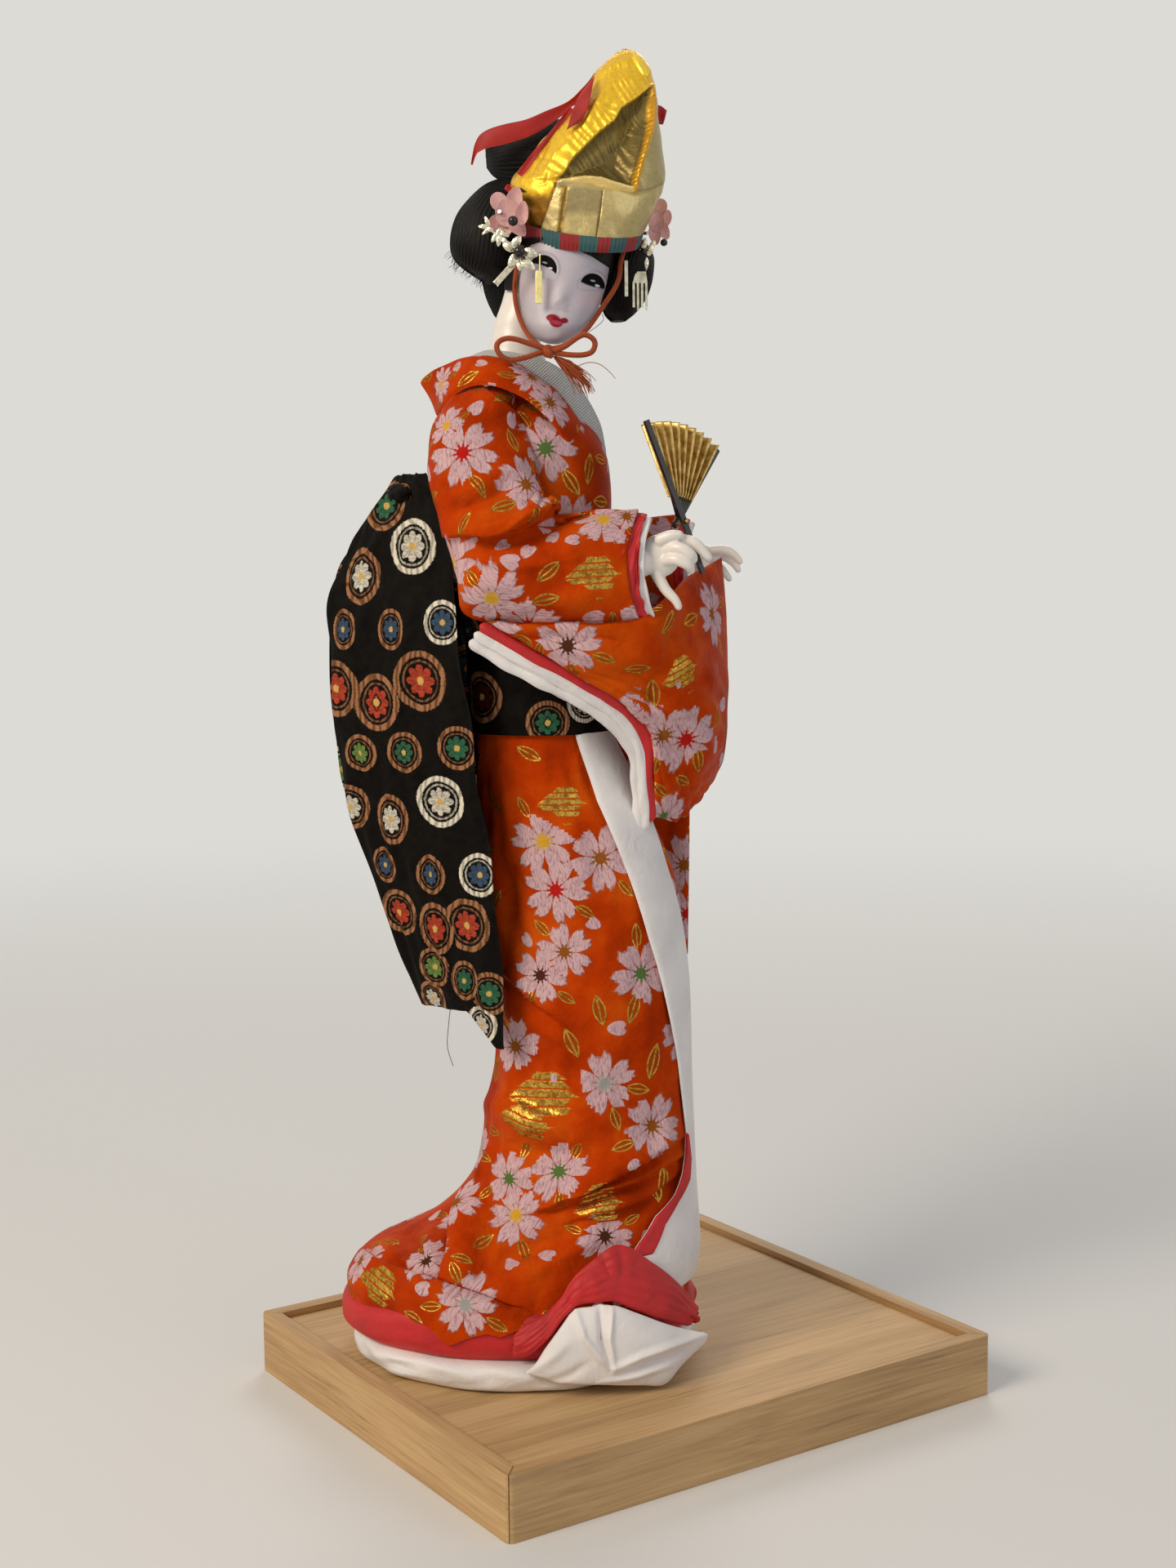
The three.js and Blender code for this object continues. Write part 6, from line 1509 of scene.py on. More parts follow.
def zone(column, row, outline, soft):
    """The share 0..1 of lying inside a photo outline, with an edge soft pixels wide."""
    outline = np.asarray(outline, float)
    inside = np.zeros(column.shape, bool)
    for start, stop in zip(outline, np.roll(outline, -1, 0)):
        spans = (start[1] > row) != (stop[1] > row)
        slope = (stop[0] - start[0]) / (stop[1] - start[1] or 1e-9)
        inside ^= spans & (column < start[0] + (row - start[1]) * slope)
    gap = line_gap(column, row, np.concatenate([outline, outline[:1]]))[0]
    return np.clip(0.5 + np.where(inside, gap, -gap) / soft, 0, 1)


def swelled(points, normals, bumps):
    """Raises round bumps on a grid: photo column and row, radius and height in mm."""
    column, row, size, seen = as_seen(points, normals)
    lift = sum(height * np.exp(-((np.hypot(column - px, row - py) / size / radius) ** 2))
               for px, py, radius, height in bumps)
    return points + normals * (lift * seen)[..., None]


def marked(piece, name, values):
    """A point attribute from a grid of numbers or vectors."""
    values = np.asarray(values, np.float32)
    kind, field = ("FLOAT_COLOR", "color") if values.shape[-1] == 4 else ("FLOAT_VECTOR", "vector")
    piece.data.attributes.new(name, kind, "POINT").data.foreach_set(field, values.ravel())


HEAD_RINGS = (
    (669, 420, 684, 421, -15, 3.0), (656, 414, 700, 416, -12, 8.0), (645, 401, 716, 404, -8.5, 12.5),
    (638, 385, 728, 388, -4, 15.5), (634.5, 366, 736.5, 368, -1, 17.5), (633, 346, 742, 350, 0.5, 18.6),
    (635, 326, 747, 330, 1, 19), (640, 306, 750, 312, 1.5, 19), (650, 285, 748, 292, 2, 17.5),
    (668, 268, 738, 274, 3, 13), (690, 258, 715, 262, 3.5, 5))
FACE_FORM = (
    (698, 338, 3.2, 0.15), (694, 347, 2.9, 0.35), (690.5, 356, 2.7, 0.55), (687.5, 363, 2.4, 0.7),
    (685.5, 368.5, 2.1, 0.9), (680, 371.5, 1.0, 0.25), (692, 374.5, 1.0, 0.25), (666, 322, 3.4, -0.55),
    (726, 346, 3.4, -0.55), (676.5, 388, 1.5, 0.35), (690, 391.5, 1.3, 0.35), (682, 397, 2.0, 0.5),
    (684, 380, 0.9, -0.2), (680, 405, 1.5, -0.25), (678, 413, 3.0, 0.45), (652, 366, 4.5, 0.35),
    (722, 374, 4.5, 0.4),
    (700, 322, 5.0, 0.3))
LID_LINES = (
    (((648, 318), (651, 312.5), (658, 309), (667, 309), (675, 312), (681, 318), (684, 326), (684, 333)), 0.42,
     0.36),
    (((710, 341), (715, 335.5), (722, 331.8), (730, 332), (737, 336), (741.5, 342), (742.5, 349)), 0.42,
     0.36),
)
FACE_OPENING = (
    (664, 296), (650, 300), (640, 314), (632, 330), (631, 356), (600, 357), (590, 450), (800, 450),
    (745, 392),
    (734, 376), (737, 365), (741, 354), (744, 341), (746, 328), (735, 321), (725, 314.5), (712, 309),
    (690, 296))
crowd = np.linspace(-1, 1, 301)[:-1]
round_head = -np.pi / 2 + np.pi * (0.45 * crowd + 0.55 * crowd ** 3)
up_head = np.concatenate([np.linspace(0, 0.68, 250), np.linspace(0.68, 1, 61)[1:]])
bare_head = swept(photo_rings(HEAD_RINGS), up_head, 300, round_head, 2.25)
head_out = grid_normals(bare_head, True)
face_grid = swelled(bare_head, head_out, FACE_FORM)
face_grid = creased(face_grid, grid_normals(face_grid, True), LID_LINES)

face_paint, tree = material("white shell lacquer with painted eyes and lips")
photo = node(tree, "Attribute", attribute_name="photo").outputs["Vector"]


def disc(column, row, wide, tall, slope=0.0):
    """1 at the middle of a painted oval, 0 on its edge and below 0 outside; slope in degrees, down to the
    right."""
    placed = node(tree, "Mapping", {"Vector": photo, "Location": (column, row, 0), "Scale": (wide, tall, 1),
                                    "Rotation": (0, 0, math.radians(slope))}, vector_type="TEXTURE")
    reach = node(tree, "VectorMath", {0: placed}, operation="LENGTH").outputs["Value"]
    return node(tree, "Math", {0: 1.0, 1: reach}, operation="SUBTRACT").outputs[0]


def brushed(below, shape, soft, colour, share=1.0):
    """Paint laid over a colour inside a shape; its edge is soft wide, as a share of the shape's reach."""
    cover = node(tree, "MapRange", {0: shape, 1: -soft, 2: soft, 3: 0.0, 4: share})
    return node(tree, "Mix", {0: cover, 6: below, 7: linear(colour)}, data_type="RGBA").outputs[2]


def both(first, second, kind="MINIMUM"):
    """The overlap of two shapes, or with MAXIMUM their union."""
    return node(tree, "Math", {0: first, 1: second}, operation=kind).outputs[0]


tone = object_noise(tree, 60.0, 3.0)
# Base coat in a greyed lilac, darker than the same white lacquer on neck and hands: painted shade over the
# whole face.
coat = ramp(tree, tone, ((0.3, "#b5aeb7"), (0.7, "#c1bac3"))).outputs[0]
coat = brushed(coat, disc(726, 364, 17, 13), 0.6, "#d8a8a8", 0.32)
coat = brushed(coat, disc(654, 352, 15, 13), 0.6, "#d8a8a8", 0.22)
# Painted shade under the nose, at both nostrils.
coat = brushed(coat, disc(691, 380, 6.5, 2.4, 12), 0.5, "#a08a8c", 0.35)
coat = brushed(coat, disc(676, 377, 4.5, 2.0, 12), 0.5, "#a08a8c", 0.2)
# Painted shade: a grey band just above each upper eyelid's ridge.
for shade_above_lid in (disc(665, 328, 21.5, 21), disc(725.6, 350.3, 19, 20)):
    coat = brushed(coat, both(shade_above_lid, disc(695, 326, 62, 24, 19)), 0.04, "#8f8795", 0.45)
left_eye = both(disc(664.6, 329.4, 17.3, 17.3), node(tree, "Math", {0: disc(651.3, 362.8, 40, 40), 1: -1.0},
                                                     operation="MULTIPLY").outputs[0])
right_eye = both(disc(725.3, 350.5, 15.2, 15.8), disc(746.9, 278.3, 75.9, 75.9))
# Painted highlight: a pale rim on the lit edge of each upper eyelid.
for rim in (disc(664.8, 329.2, 19.6, 19.8), disc(725.6, 350.2, 17.6, 18.2)):
    coat = brushed(coat, both(rim, disc(695, 324, 60, 25, 19)), 0.03, "#cac4cf", 0.6)
for eye in (left_eye, right_eye):
    coat = brushed(coat, eye, 0.012, "#0b090b")
# Painted highlight: a pale reflection in each eye.
for glint in (disc(667, 321.6, 2.9, 1.1, 14), disc(726, 343.8, 2.8, 1.1, 12)):
    coat = brushed(coat, glint, 0.4, "#b9b8bd")
for white in (both(disc(674, 328.4, 2.6, 1.3, 8), disc(673, 324.5, 8, 5.4)),
              both(disc(731.6, 350.2, 3.2, 1.8, 22), disc(730, 346.5, 8, 5.6))):
    coat = brushed(coat, white, 0.15, "#dcd9e0")
mouth = both(both(disc(677.2, 389.6, 8.6, 4.9, 8), disc(690.2, 392.4, 5.6, 3.5, 8), "MAXIMUM"),
             disc(681.2, 392.6, 9.2, 8.3, 20), "MAXIMUM")
mouth = both(mouth, both(disc(674.2, 398, 15, 13.9), disc(692.3, 398.3, 12.5, 9.4), "MAXIMUM"))
coat = brushed(coat, mouth, 0.08, "#8c1a2b")
# Painted highlight on the lower lip.
coat = brushed(coat, disc(683, 395.4, 5.0, 2.2, 14), 0.7, "#b24a5c", 0.6)
coat = brushed(coat, disc(683.5, 391.6, 8.5, 0.8, 18), 0.6, "#4a0f18", 0.6)
gloss = node(tree, "MapRange", {0: tone, 3: 0.42, 4: 0.5})
shine = node(tree, "MapRange", {0: coat, 1: 0.02, 2: 0.25, 3: 0.04, 4: 0.35})
surface(tree, {"Base Color": coat, "Roughness": gloss, "Specular IOR Level": shine,
               "Coat Weight": node(tree, "Math", {0: shine, 1: 0.2}, operation="MULTIPLY"),
               "Coat Roughness": 0.25, "Subsurface Weight": 0.06,
               "Subsurface Scale": 0.002, "Subsurface Radius": (1.0, 0.6, 0.5)})
face = solid("head_lacquered", face_grid, face_paint, body="head", slot="white_lacquer",
             stands_for=("head",))
column, row, size, seen = as_seen(face_grid, grid_normals(face_grid, True))
marked(face, "photo", np.stack((np.where(seen > 0, column, -999), row, 0 * row), -1))

NECK_RINGS = ((592, 478, 676, 480, 0, 9), (594, 440, 668, 440, 0, 10), (600, 420, 662, 421, 0.5, 9),
              (603.5, 408, 664, 409, 1, 8.6), (607.6, 390, 668, 392, 1, 8.5), (614, 372, 676, 374, 1.5, 8.5),
              (619, 354, 682, 356, 2, 8.5), (625, 334, 690, 337, 2.5, 8.5))
solid("neck_lacquered", swept(photo_rings(NECK_RINGS), 60, 72), shell_white, body="head",
      slot="white_lacquer")

# Hair
# Black silk floss is glued on in combed locks: a cap with a hairline, a wing at each side and a roll at the
# nape. The locks end in a loose fringe under the right wing, and a flat sideburn lies before her right ear.

floss_hair, tree = material("combed black silk floss")
cloth = node(tree, "UVMap", uv_map="cloth")
strands = node(tree, "TexNoise",
               {"Vector": node(tree, "Mapping", {"Vector": cloth, "Scale": (2.6, 0.12, 1.0)}),
                                  "Scale": 1.0, "Detail": 5.0, "Distortion": 0.25})
colour = ramp(tree, strands, ((0.35, "#030202"), (0.7, "#0f0b08")))
rough = node(tree, "MapRange", {0: strands, 3: 0.42, 4: 0.62})
relief = node(tree, "Bump", {"Height": strands, "Strength": 0.8, "Distance": 0.0004})
surface(tree, {"Base Color": colour, "Roughness": rough, "Normal": relief,
               "Specular IOR Level": 0.2})


def combed(rings, rows, columns, locks, seed, depth=0.16):
    """A body of hair: a tube through rings, grooved along its length into locks that drift a little."""
    tube = swept(rings, rows, columns, square=2.1)
    across, along = np.meshgrid(np.linspace(0, 1, columns, endpoint=False), np.linspace(0, 1, rows))
    drift = 0.02 * np.sin(2 * np.pi * (along + seed * 0.37))
    groove = sum(np.sin(2 * np.pi * (locks * k * (across + drift) + seed * k)) / k for k in (1, 2, 3))
    groove *= 0.7 + 0.3 * np.sin(2 * np.pi * (3 * across + 2 * along))
    return tube + grid_normals(tube, True) * (depth * groove)[..., None]


RIGHT_WING = ((612, 219, 640, 226, 8, 4), (592, 228, 642, 258, 7, 10), (572, 247, 640, 288, 6, 14),
              (558, 268, 634, 314, 5.5, 15.5), (551.5, 294, 626, 336, 5.5, 15), (554, 314, 612, 347, 6, 12),
              (567, 328, 600, 348, 7, 8), (580, 335, 590, 343, 8, 3))
LEFT_WING = ((748, 292, 790, 296, 11, 6), (740, 304, 799, 312, 12, 11), (738, 322, 801, 324, 12.5, 13),
             (735, 345, 798, 346, 13, 13), (734, 366, 790, 367, 13.5, 11.5), (740, 384, 778, 383, 14, 8),
             (748, 394, 766, 393, 14.5, 4))
NAPE_ROLL = ((600, 258, 740, 262, 14, 12), (590, 300, 750, 304, 17, 17), (589, 330, 744, 334, 19, 17.5),
             (591, 347, 730, 351, 19, 16), (595, 364, 712, 368, 17.5, 13), (601, 378, 694, 384, 16, 9),
             (609, 390, 676, 396, 14, 5), (625, 398, 660, 401, 13, 2))
TOP_KNOT = ((594.5, 180, 596, 205, 22, 3), (602, 172, 607, 217, 22, 8), (622, 163, 630, 226, 22, 12),
            (648, 156, 656, 232, 21, 14), (676, 148, 680, 232, 20, 13), (700, 150, 702, 224, 19, 9),
            (716, 172, 717, 204, 18, 4))
HAIR_ROWS, HAIR_COLUMNS = 76, 420
for name, rings, locks in (("hair_right_wing", RIGHT_WING, 46), ("hair_left_wing", LEFT_WING, 42),
                           ("hair_nape_roll", NAPE_ROLL, 60), ("hair_top_knot", TOP_KNOT, 34)):
    solid(f"{name}_combed", combed(photo_rings(rings), HAIR_ROWS, HAIR_COLUMNS, locks, len(name)), floss_hair,
          body="head", slot="black_hair", stands_for=(name,))

cap_rows, cap_columns = up_head[::2], round_head[::2]
cap_grid = swept(photo_rings(HEAD_RINGS), cap_rows, 150, cap_columns, 2.25)
cap_out = grid_normals(cap_grid, True)
column, row, size, seen = as_seen(cap_grid, cap_out)
behind = np.clip((cap_grid[..., 1] + np.where(row < 326, 7.0, -5.0)) / 1.5, 0, 1) * np.clip((400 - row) / 6,
                                                                                            0, 1)
hairy = np.where(seen > 0.02, 1 - zone(column, row, FACE_OPENING, 2.5), behind)
hairy = np.where((row > 392) & (seen > 0.02), 0, hairy)
locks = np.sin(np.linspace(0, 2 * np.pi, 150, endpoint=False) * 40)[None] * 0.08
cap_grid = cap_grid + cap_out * (-0.9 + hairy * (1.8 + locks))[..., None]
solid("hair_cap_combed", cap_grid, floss_hair, body="head", slot="black_hair",
      stands_for=("hair_cap",))


def together(name, parts, finish, body, slot, stands_for=()):
    """Several closed grids as one dressed piece."""
    return dress(joined(name, parts, finish, body), body, slot, stands_for)


def photo_line(*spots):
    """Doll points from photo columns, rows and y."""
    return off_photo(*np.array(spots, float).T)


draw = np.random.default_rng(12)
WISP_EDGE = ((552, 308), (558, 318), (567, 327), (578, 333), (588, 338), (592, 344))
wisps = []
for share in draw.uniform(0, 1, 70):
    column, row = smooth(WISP_EDGE, np.array([share]))[0] + draw.uniform(-1.5, 1.5, 2)
    reach, lean = draw.uniform(5, 17), draw.uniform(-1.9, -0.35)
    y = draw.uniform(2, 11)
    bend = draw.uniform(-2, 2)
    side, down = math.cos(lean) * reach, math.sin(lean) * reach
    wisp = photo_line((column + 3, row - 4, y), (column - side * 0.35 + bend, row - down * 0.5, y),
                      (column - side * 0.8, row - down, y - 0.5))
    wisps.append(limb(wisp, (0.09, 0.07, 0.04), 9, 5))
wisps.append(limb(photo_line((737, 384, -2), (739, 391, -6), (733, 398, -10), (722, 406, -16),
                             (714, 413, -18)),
                  (0.11, 0.1, 0.09), 40, 6))
together("hair_loose_wisps", wisps, floss_hair, "head", "black_hair")
sideburn = photo_line((617, 330, -3), (631, 331, -9), (616, 355, -3), (629.5, 356, -9)).reshape(2, 2, 3)
share = np.linspace(0, 1, 12)
sideburn = sideburn[0][None] * (1 - share)[:, None, None] + sideburn[1][None] * share[:, None, None]
sideburn = np.stack([sideburn[:, 0] * (1 - t) + sideburn[:, 1] * t for t in np.linspace(0, 1, 12)], 1)
sideburn = facing_out(sideburn, np.array([-10.0, 2, 388]))
solid("hair_sideburn", thick(sideburn, 0.7), floss_hair, body="head", slot="black_hair")

# Hat
# A court cap of stiff paper covered in gold foil: its peak folds over, its front is pressed in to a deep
# hollow, and a raised lip and gold piping edge that hollow. Light is painted into the foil's colour: a bright
# warm yellow on the peak and left side, a paler grey-gold on the front panel below and the right side panel,
# which face away from the warm lamp, and painted shade in the hollow and low on the left.

HAT_RINGS = (
    (648, 284, 780, 297, 1.0, 19.6, 6.0), (642, 266, 789, 281, 1.0, 19.8, 6.0),
    (632, 246, 803, 252, 1.0, 20, 5.0),
    (625, 225, 813, 226, 1.5, 19.8, 3.4), (640, 204, 813, 197, 2.5, 18.5, 1.8),
    (668, 170, 808, 160, 4, 16, 0),
    (692, 144, 805, 130, 5.5, 14, 0), (714, 121, 802.5, 107, 7, 11.5, 0), (727, 93, 796, 85, 8.5, 9, 0),
    (740, 78, 787, 72, 9.5, 6.5, 0), (752, 67.5, 778, 64, 10, 3.6, 0), (763, 61.5, 768, 61, 10, 0.8, 0))
HOLLOW = ((684, 220), (701, 193), (720, 174), (734, 160), (753, 146), (761, 131), (780, 119), (797, 106),
          (800, 125),
          (799.5, 145), (796, 160), (789.5, 181), (784, 200), (780.5, 215), (776, 228), (754, 222),
          (737, 216.5),
          (716, 214.5), (700, 217))
HOLLOW_DEPTH = 6.5
FRONT_LEFT_EDGE = ((684, 219), (672, 248), (663, 272), (660, 290))
PEAK_FLAP = ((774, 70), (780, 67), (796, 88), (792, 95), (787, 92))
HAT_ROWS, HAT_COLUMNS = 245, 340
crowd = np.linspace(-1, 1, HAT_COLUMNS + 1)[:-1]
hat_round = -np.pi / 2 + np.pi * (0.62 * crowd + 0.38 * crowd ** 3)
hat_grid = swept(photo_rings(HAT_RINGS), HAT_ROWS, HAT_COLUMNS, hat_round, 2.15)
hat_out = grid_normals(hat_grid, True)
column, row, size, seen = as_seen(hat_grid, hat_out)
gap = line_gap(column, row, HOLLOW + HOLLOW[:1])[0] / size
pressed = zone(column, row, HOLLOW, 1.0)
upper_gap, upper_share = line_gap(column, row, HOLLOW[:8])[:2]
lower_gap = line_gap(column, row, HOLLOW[14:] + HOLLOW[:1])[0]
fan = np.sin(upper_share * 150 + 2.2 * np.sin(upper_share * 31) + upper_gap * 0.05) * np.exp(-upper_gap / 26)
fan += 0.5 * np.sin(upper_share * 67 + upper_gap * 0.13 + 1.0) * np.exp(-upper_gap / 60)
hollow = -HOLLOW_DEPTH * np.clip(gap / 7.5, 0, 1) ** 0.55 + 0.42 * fan * np.clip(gap, 0, 1)
lift = pressed * hollow
flap_share = np.clip(upper_gap / size / 0.5, 0, 1) * np.exp(-upper_gap / size / 7)
lift += (1 - pressed) * (upper_share > 0) * (upper_share < 0.98) * (row < 222) * 0.22 * flap_share * np.sin(
    upper_share * 118 + 1.5 * np.sin(upper_share * 23))
lift += (1 - pressed) * 1.0 * np.exp(-((lower_gap - 3.5) / size / 1.2) ** 2)
piping_gap = line_gap(column, row, HOLLOW[7:15])[0] / size
lift += 0.9 * np.exp(-(piping_gap / 0.75) ** 2) * (1 + 0.25 * np.sin(row * 1.1) + 0.2 * np.sin(column * 2.3))
edge_gap = line_gap(column, row, FRONT_LEFT_EDGE)[0] / size
left_of = zone(column, row, ((684, 219), (672, 248), (663, 272), (658, 300), (560, 300), (560, 219)), 2.0)
lift -= left_of * 1.5 * np.exp(-edge_gap / 5)
for seam in (((694, 231), (689, 258), (684, 288)), ((738, 233), (735, 262), (730, 292))):
    seam_gap = line_gap(column, row, seam)[0] / size
    lift -= 0.35 * np.exp(-(seam_gap / 0.35) ** 2)
side_edge = line_gap(column, row, ((778, 233), (795, 230), (815, 220)))[0] / size
lift += 0.5 * np.exp(-(side_edge / 0.8) ** 2)
lift += 0.9 * zone(column, row, PEAK_FLAP, 1.0)
folds = ((((643, 205), (652, 190), (676, 196)), 0.7, -0.5), (((650, 214), (664, 190), (672, 176)), 0.6, -0.4),
         (((664, 216), (680, 188), (700, 172)), 0.7, 0.4), (((654, 228), (668, 224), (676, 204)), 0.8, -0.4),
         (((716, 150), (735, 118), (752, 96)), 1.5, 0.7), (((735, 150), (752, 122), (770, 100)), 1.2, -0.5),
         (((700, 186), (716, 164), (732, 150)), 1.0, -0.4), (((745, 92), (758, 84), (772, 82)), 1.6, -0.5),
         (((688, 236), (705, 230), (735, 240)), 2.4, 0.6), (((745, 250), (765, 262), (790, 258)), 4.0, 0.6),
         (((700, 250), (708, 268), (706, 286)), 3.0, -0.5), (((635, 240), (645, 252), (664, 256)), 1.6, -0.6))
crumple = ripples(np.linspace(0, 3, HAT_COLUMNS)[None], np.linspace(0, 3, HAT_ROWS)[:, None], 8, 14, 0.22)
hat_grid = hat_grid + hat_out * (lift * seen + crumple * (1 - 0.5 * seen))[..., None]
hat_grid = creased(hat_grid, grid_normals(hat_grid, True), folds)
hat_gold_and_painted_light = np.broadcast_to(np.array(linear("#c99f33")), hat_grid.shape[:2] + (4,)).copy()
# Colour zones over the foil, each an outline, a colour and a soft edge: the real gold, lip, piping, seams and
# a rip, and painted light and shade as marked.
HAT_ZONES = (
    # Painted light: the peak and left side in bright warm yellow, as lit by the warm lamp.
    (((600, 300), (600, 200), (700, 120), (740, 40), (830, 40), (830, 100), (797, 106), (684, 220),
      (660, 300)), "#f3c42c", 4),
    # Painted shade: browner gold low on the left side.
    (((600, 300), (624, 243), (666, 238), (674, 243), (660, 300)), "#9c6c1c", 8),
    # Painted shade: dark olive gold in the pressed hollow.
    (HOLLOW, "#6f5d2a", 2),
    # Painted shade: darker gold inside the hollow just under its upper edge.
    (((684, 220), (760, 150), (790, 130), (797, 106), (800, 140), (770, 160), (730, 182), (700, 215)),
     "#8f7a3a", 8),
    (((684, 220), (700, 217), (716, 214.5), (737, 216.5), (754, 222), (776, 229), (775, 236), (754, 232.5),
      (737, 229), (720, 224), (696, 224)), "#ecd080", 1.5),
    # Painted reflection: the front panel in a paler grey-gold, the same foil as the peak turned away from the
    # warm lamp.
    (((684, 221), (720, 226), (754, 234), (776, 237), (815, 222), (812, 262), (780, 310), (650, 310),
      (664, 272)), "#c8b47a", 2.5),
    (((686, 226), (738, 232), (734, 262), (690, 258)), "#a79668", 7),
    # Painted reflection: the right side panel in a paler grey-gold, the same foil turned away from the warm
    # lamp.
    (((777, 236), (781, 216), (797, 165), (802, 100), (840, 100), (840, 215), (800, 231)), "#ab9a66", 2),
    (((797, 106), (803, 106), (804, 145), (800, 165), (792, 190), (784, 218), (777, 238), (774, 228),
      (780, 206),
      (788, 180), (796, 150)), "#d79f25", 1.5),
    (((687, 228), (697, 228), (692, 262), (688, 290), (680, 290), (684, 262)), "#8a6d2a", 4),
    (((736, 233), (739.5, 233), (732, 291), (728.5, 291)), "#77622c", 2),
    # Painted highlight: the small peak flap in the brightest yellow.
    (PEAK_FLAP, "#ffd84a", 1.5),
    # Painted shade: a dark line along the front panel's left edge, where the foil steps down.
    (((678, 222), (684, 219), (664, 276), (659, 274)), "#7a5513", 3),
    (((630, 229), (638, 230), (645, 235), (641, 236.5), (631, 232)), "#2a1608", 1.5),
)
for outline, colour, soft in HAT_ZONES:
    share = (zone(column, row, outline, soft) * (seen > 0))[..., None]
    hat_gold_and_painted_light = hat_gold_and_painted_light * (1 - share) + np.array(linear(colour)) * share
gold_foil, tree = material("gold foil over stiff paper")
painted = node(tree, "Attribute", attribute_name="paint").outputs["Color"]
crinkle = object_noise(tree, 260.0, 5.0, Distortion=1.0)
wear = object_noise(tree, 900.0, 3.0)
dull = ramp(tree, wear, ((0.3, 0.72), (0.55, 1.0)))
colour = node(tree, "Mix", {0: 0.6, 6: painted, 7: dull}, data_type="RGBA", blend_type="MULTIPLY")
rough = node(tree, "MapRange", {0: crinkle, 3: 0.26, 4: 0.44})
relief = node(tree, "Bump", {"Height": crinkle, "Strength": 0.4, "Distance": 0.0006})
surface(tree, {"Base Color": (colour, 2), "Metallic": 0.55, "Roughness": rough, "Normal": relief})
hat = solid("hat_gold_foil", hat_grid, gold_foil, body="head", slot="gold_cloth",
            stands_for=("hat",))
marked(hat, "paint", hat_gold_and_painted_light)

BAND_RINGS = ((642, 291, 781, 302, 1.0, 20.0, 6.1), (641, 280, 784, 293, 1.0, 20.4, 6.2),
              (640, 269, 787, 285, 1.0, 20.2, 6.2))
BAND_MARKS = ((646, 282), (662, 292), (685.5, 298), (708, 302), (731, 303), (747, 303), (766, 301),
              (780, 298))
BAND_ROWS, BAND_COLUMNS = 14, 720
band_grid = swept(photo_rings(BAND_RINGS), BAND_ROWS, BAND_COLUMNS, square=2.15)
band_swell = 0.5 * np.sin(np.pi * np.linspace(0.05, 0.95, BAND_ROWS))[:, None]
band_swell = band_swell + 0.12 * np.sin(np.linspace(0, 2 * np.pi, BAND_COLUMNS) * 90)[None]
band_grid = band_grid + grid_normals(band_grid, True) * band_swell[..., None]
column, row, size, seen = as_seen(band_grid, grid_normals(band_grid, True))
spots = [np.argmin(np.hypot(column - px, row - py) + 500 * (seen < 0.05)) % BAND_COLUMNS for px,
         py in BAND_MARKS]
step = 1 if spots[-1] > spots[0] else -1
run = (np.arange(BAND_COLUMNS) - spots[0]) * step % BAND_COLUMNS
edges = [(spot - spots[0]) * step % BAND_COLUMNS for spot in spots[1:]]
patch_number = np.searchsorted(edges, run)
patch_number = np.where(run > edges[-1], len(edges) + (run - edges[-1]) // 34, patch_number)
BAND_RED, BAND_TEAL = np.array(linear("#a01319")), np.array(linear("#2f5f63"))
patches = np.where((patch_number % 2 == 0)[:, None], BAND_RED, BAND_TEAL)
braid, tree = material("woven braid in red and teal silk")
painted = node(tree, "Attribute", attribute_name="paint").outputs["Color"]
cloth = node(tree, "UVMap", uv_map="cloth")
ribbing = node(tree, "TexWave", {"Vector": cloth, "Scale": 1.1, "Distortion": 0.6, "Detail": 2.0})
shadow = ramp(tree, ribbing, ((0.0, 0.62), (0.7, 1.0)))
colour = node(tree, "Mix", {0: 0.7, 6: painted, 7: shadow}, data_type="RGBA", blend_type="MULTIPLY")
relief = node(tree, "Bump", {"Height": ribbing, "Strength": 0.6, "Distance": 0.0003})
surface(tree, {"Base Color": (colour, 2), "Roughness": 0.6, "Normal": relief, "Sheen Weight": 0.1})
band = lay("hat_band_braid", band_grid, braid, closed=True, body="head", slot="patterned_braid",
           stands_for=("hat_band",))
marked(band, "paint", np.broadcast_to(patches, (BAND_ROWS, BAND_COLUMNS, 4)))

# Hat ribbon
# A crimson silk ribbon is glued behind the peak: one end runs back and down in the air, the other lies along
# the hat's edge.

RIBBON_TAIL = ((729, 89, 713, 130, 6), (716.5, 105, 703, 129, 5), (696, 124, 690, 140, 4),
               (668, 136, 668, 156, 3),
               (644, 146, 645, 168, 2.5), (617, 152, 618, 176.5, 2.5), (599, 157.6, 598, 181, 3),
               (587.4, 165, 589, 184.5, 4),
               (581.5, 176, 583.5, 188, 5), (578.8, 190, 580.5, 193, 6), (577, 201.5, 577.6, 202.5, 7))
RIBBON_END = ((728, 92, 712, 112, -1), (724, 112, 703, 129, -8), (719, 133, 697, 148, -11),
              (712, 149, 693.5, 159, -12))
RIBBON_SIDE = ((698, 130, 702, 134, -3), (685.5, 146, 692, 149, -4.5), (668, 167, 675, 170.5, -6),
               (651, 187.7, 658, 191, -7.5),
               (633, 212, 640, 217, -8.5))
RIBBON_BIT = ((802, 127, 802.5, 151, 10), (810, 130, 808, 152, 11), (817, 135, 812, 153, 12))
RIBBON_FOOT = ((613, 237, 616, 243, 0), (621, 226, 629, 240, -2), (626, 231, 634, 240, -4))
ribbon_parts = [thick(facing_out(strip_of(stations, 90, 16, 0.5), np.array([20.0, 60, 380])), 0.35)
                for stations in (RIBBON_TAIL, RIBBON_END, RIBBON_SIDE, RIBBON_BIT, RIBBON_FOOT)]
ribbon_red = silk("crimson ribbon silk", "#ae1410", "#8c0d0c", "#ff5a40", 0.12)
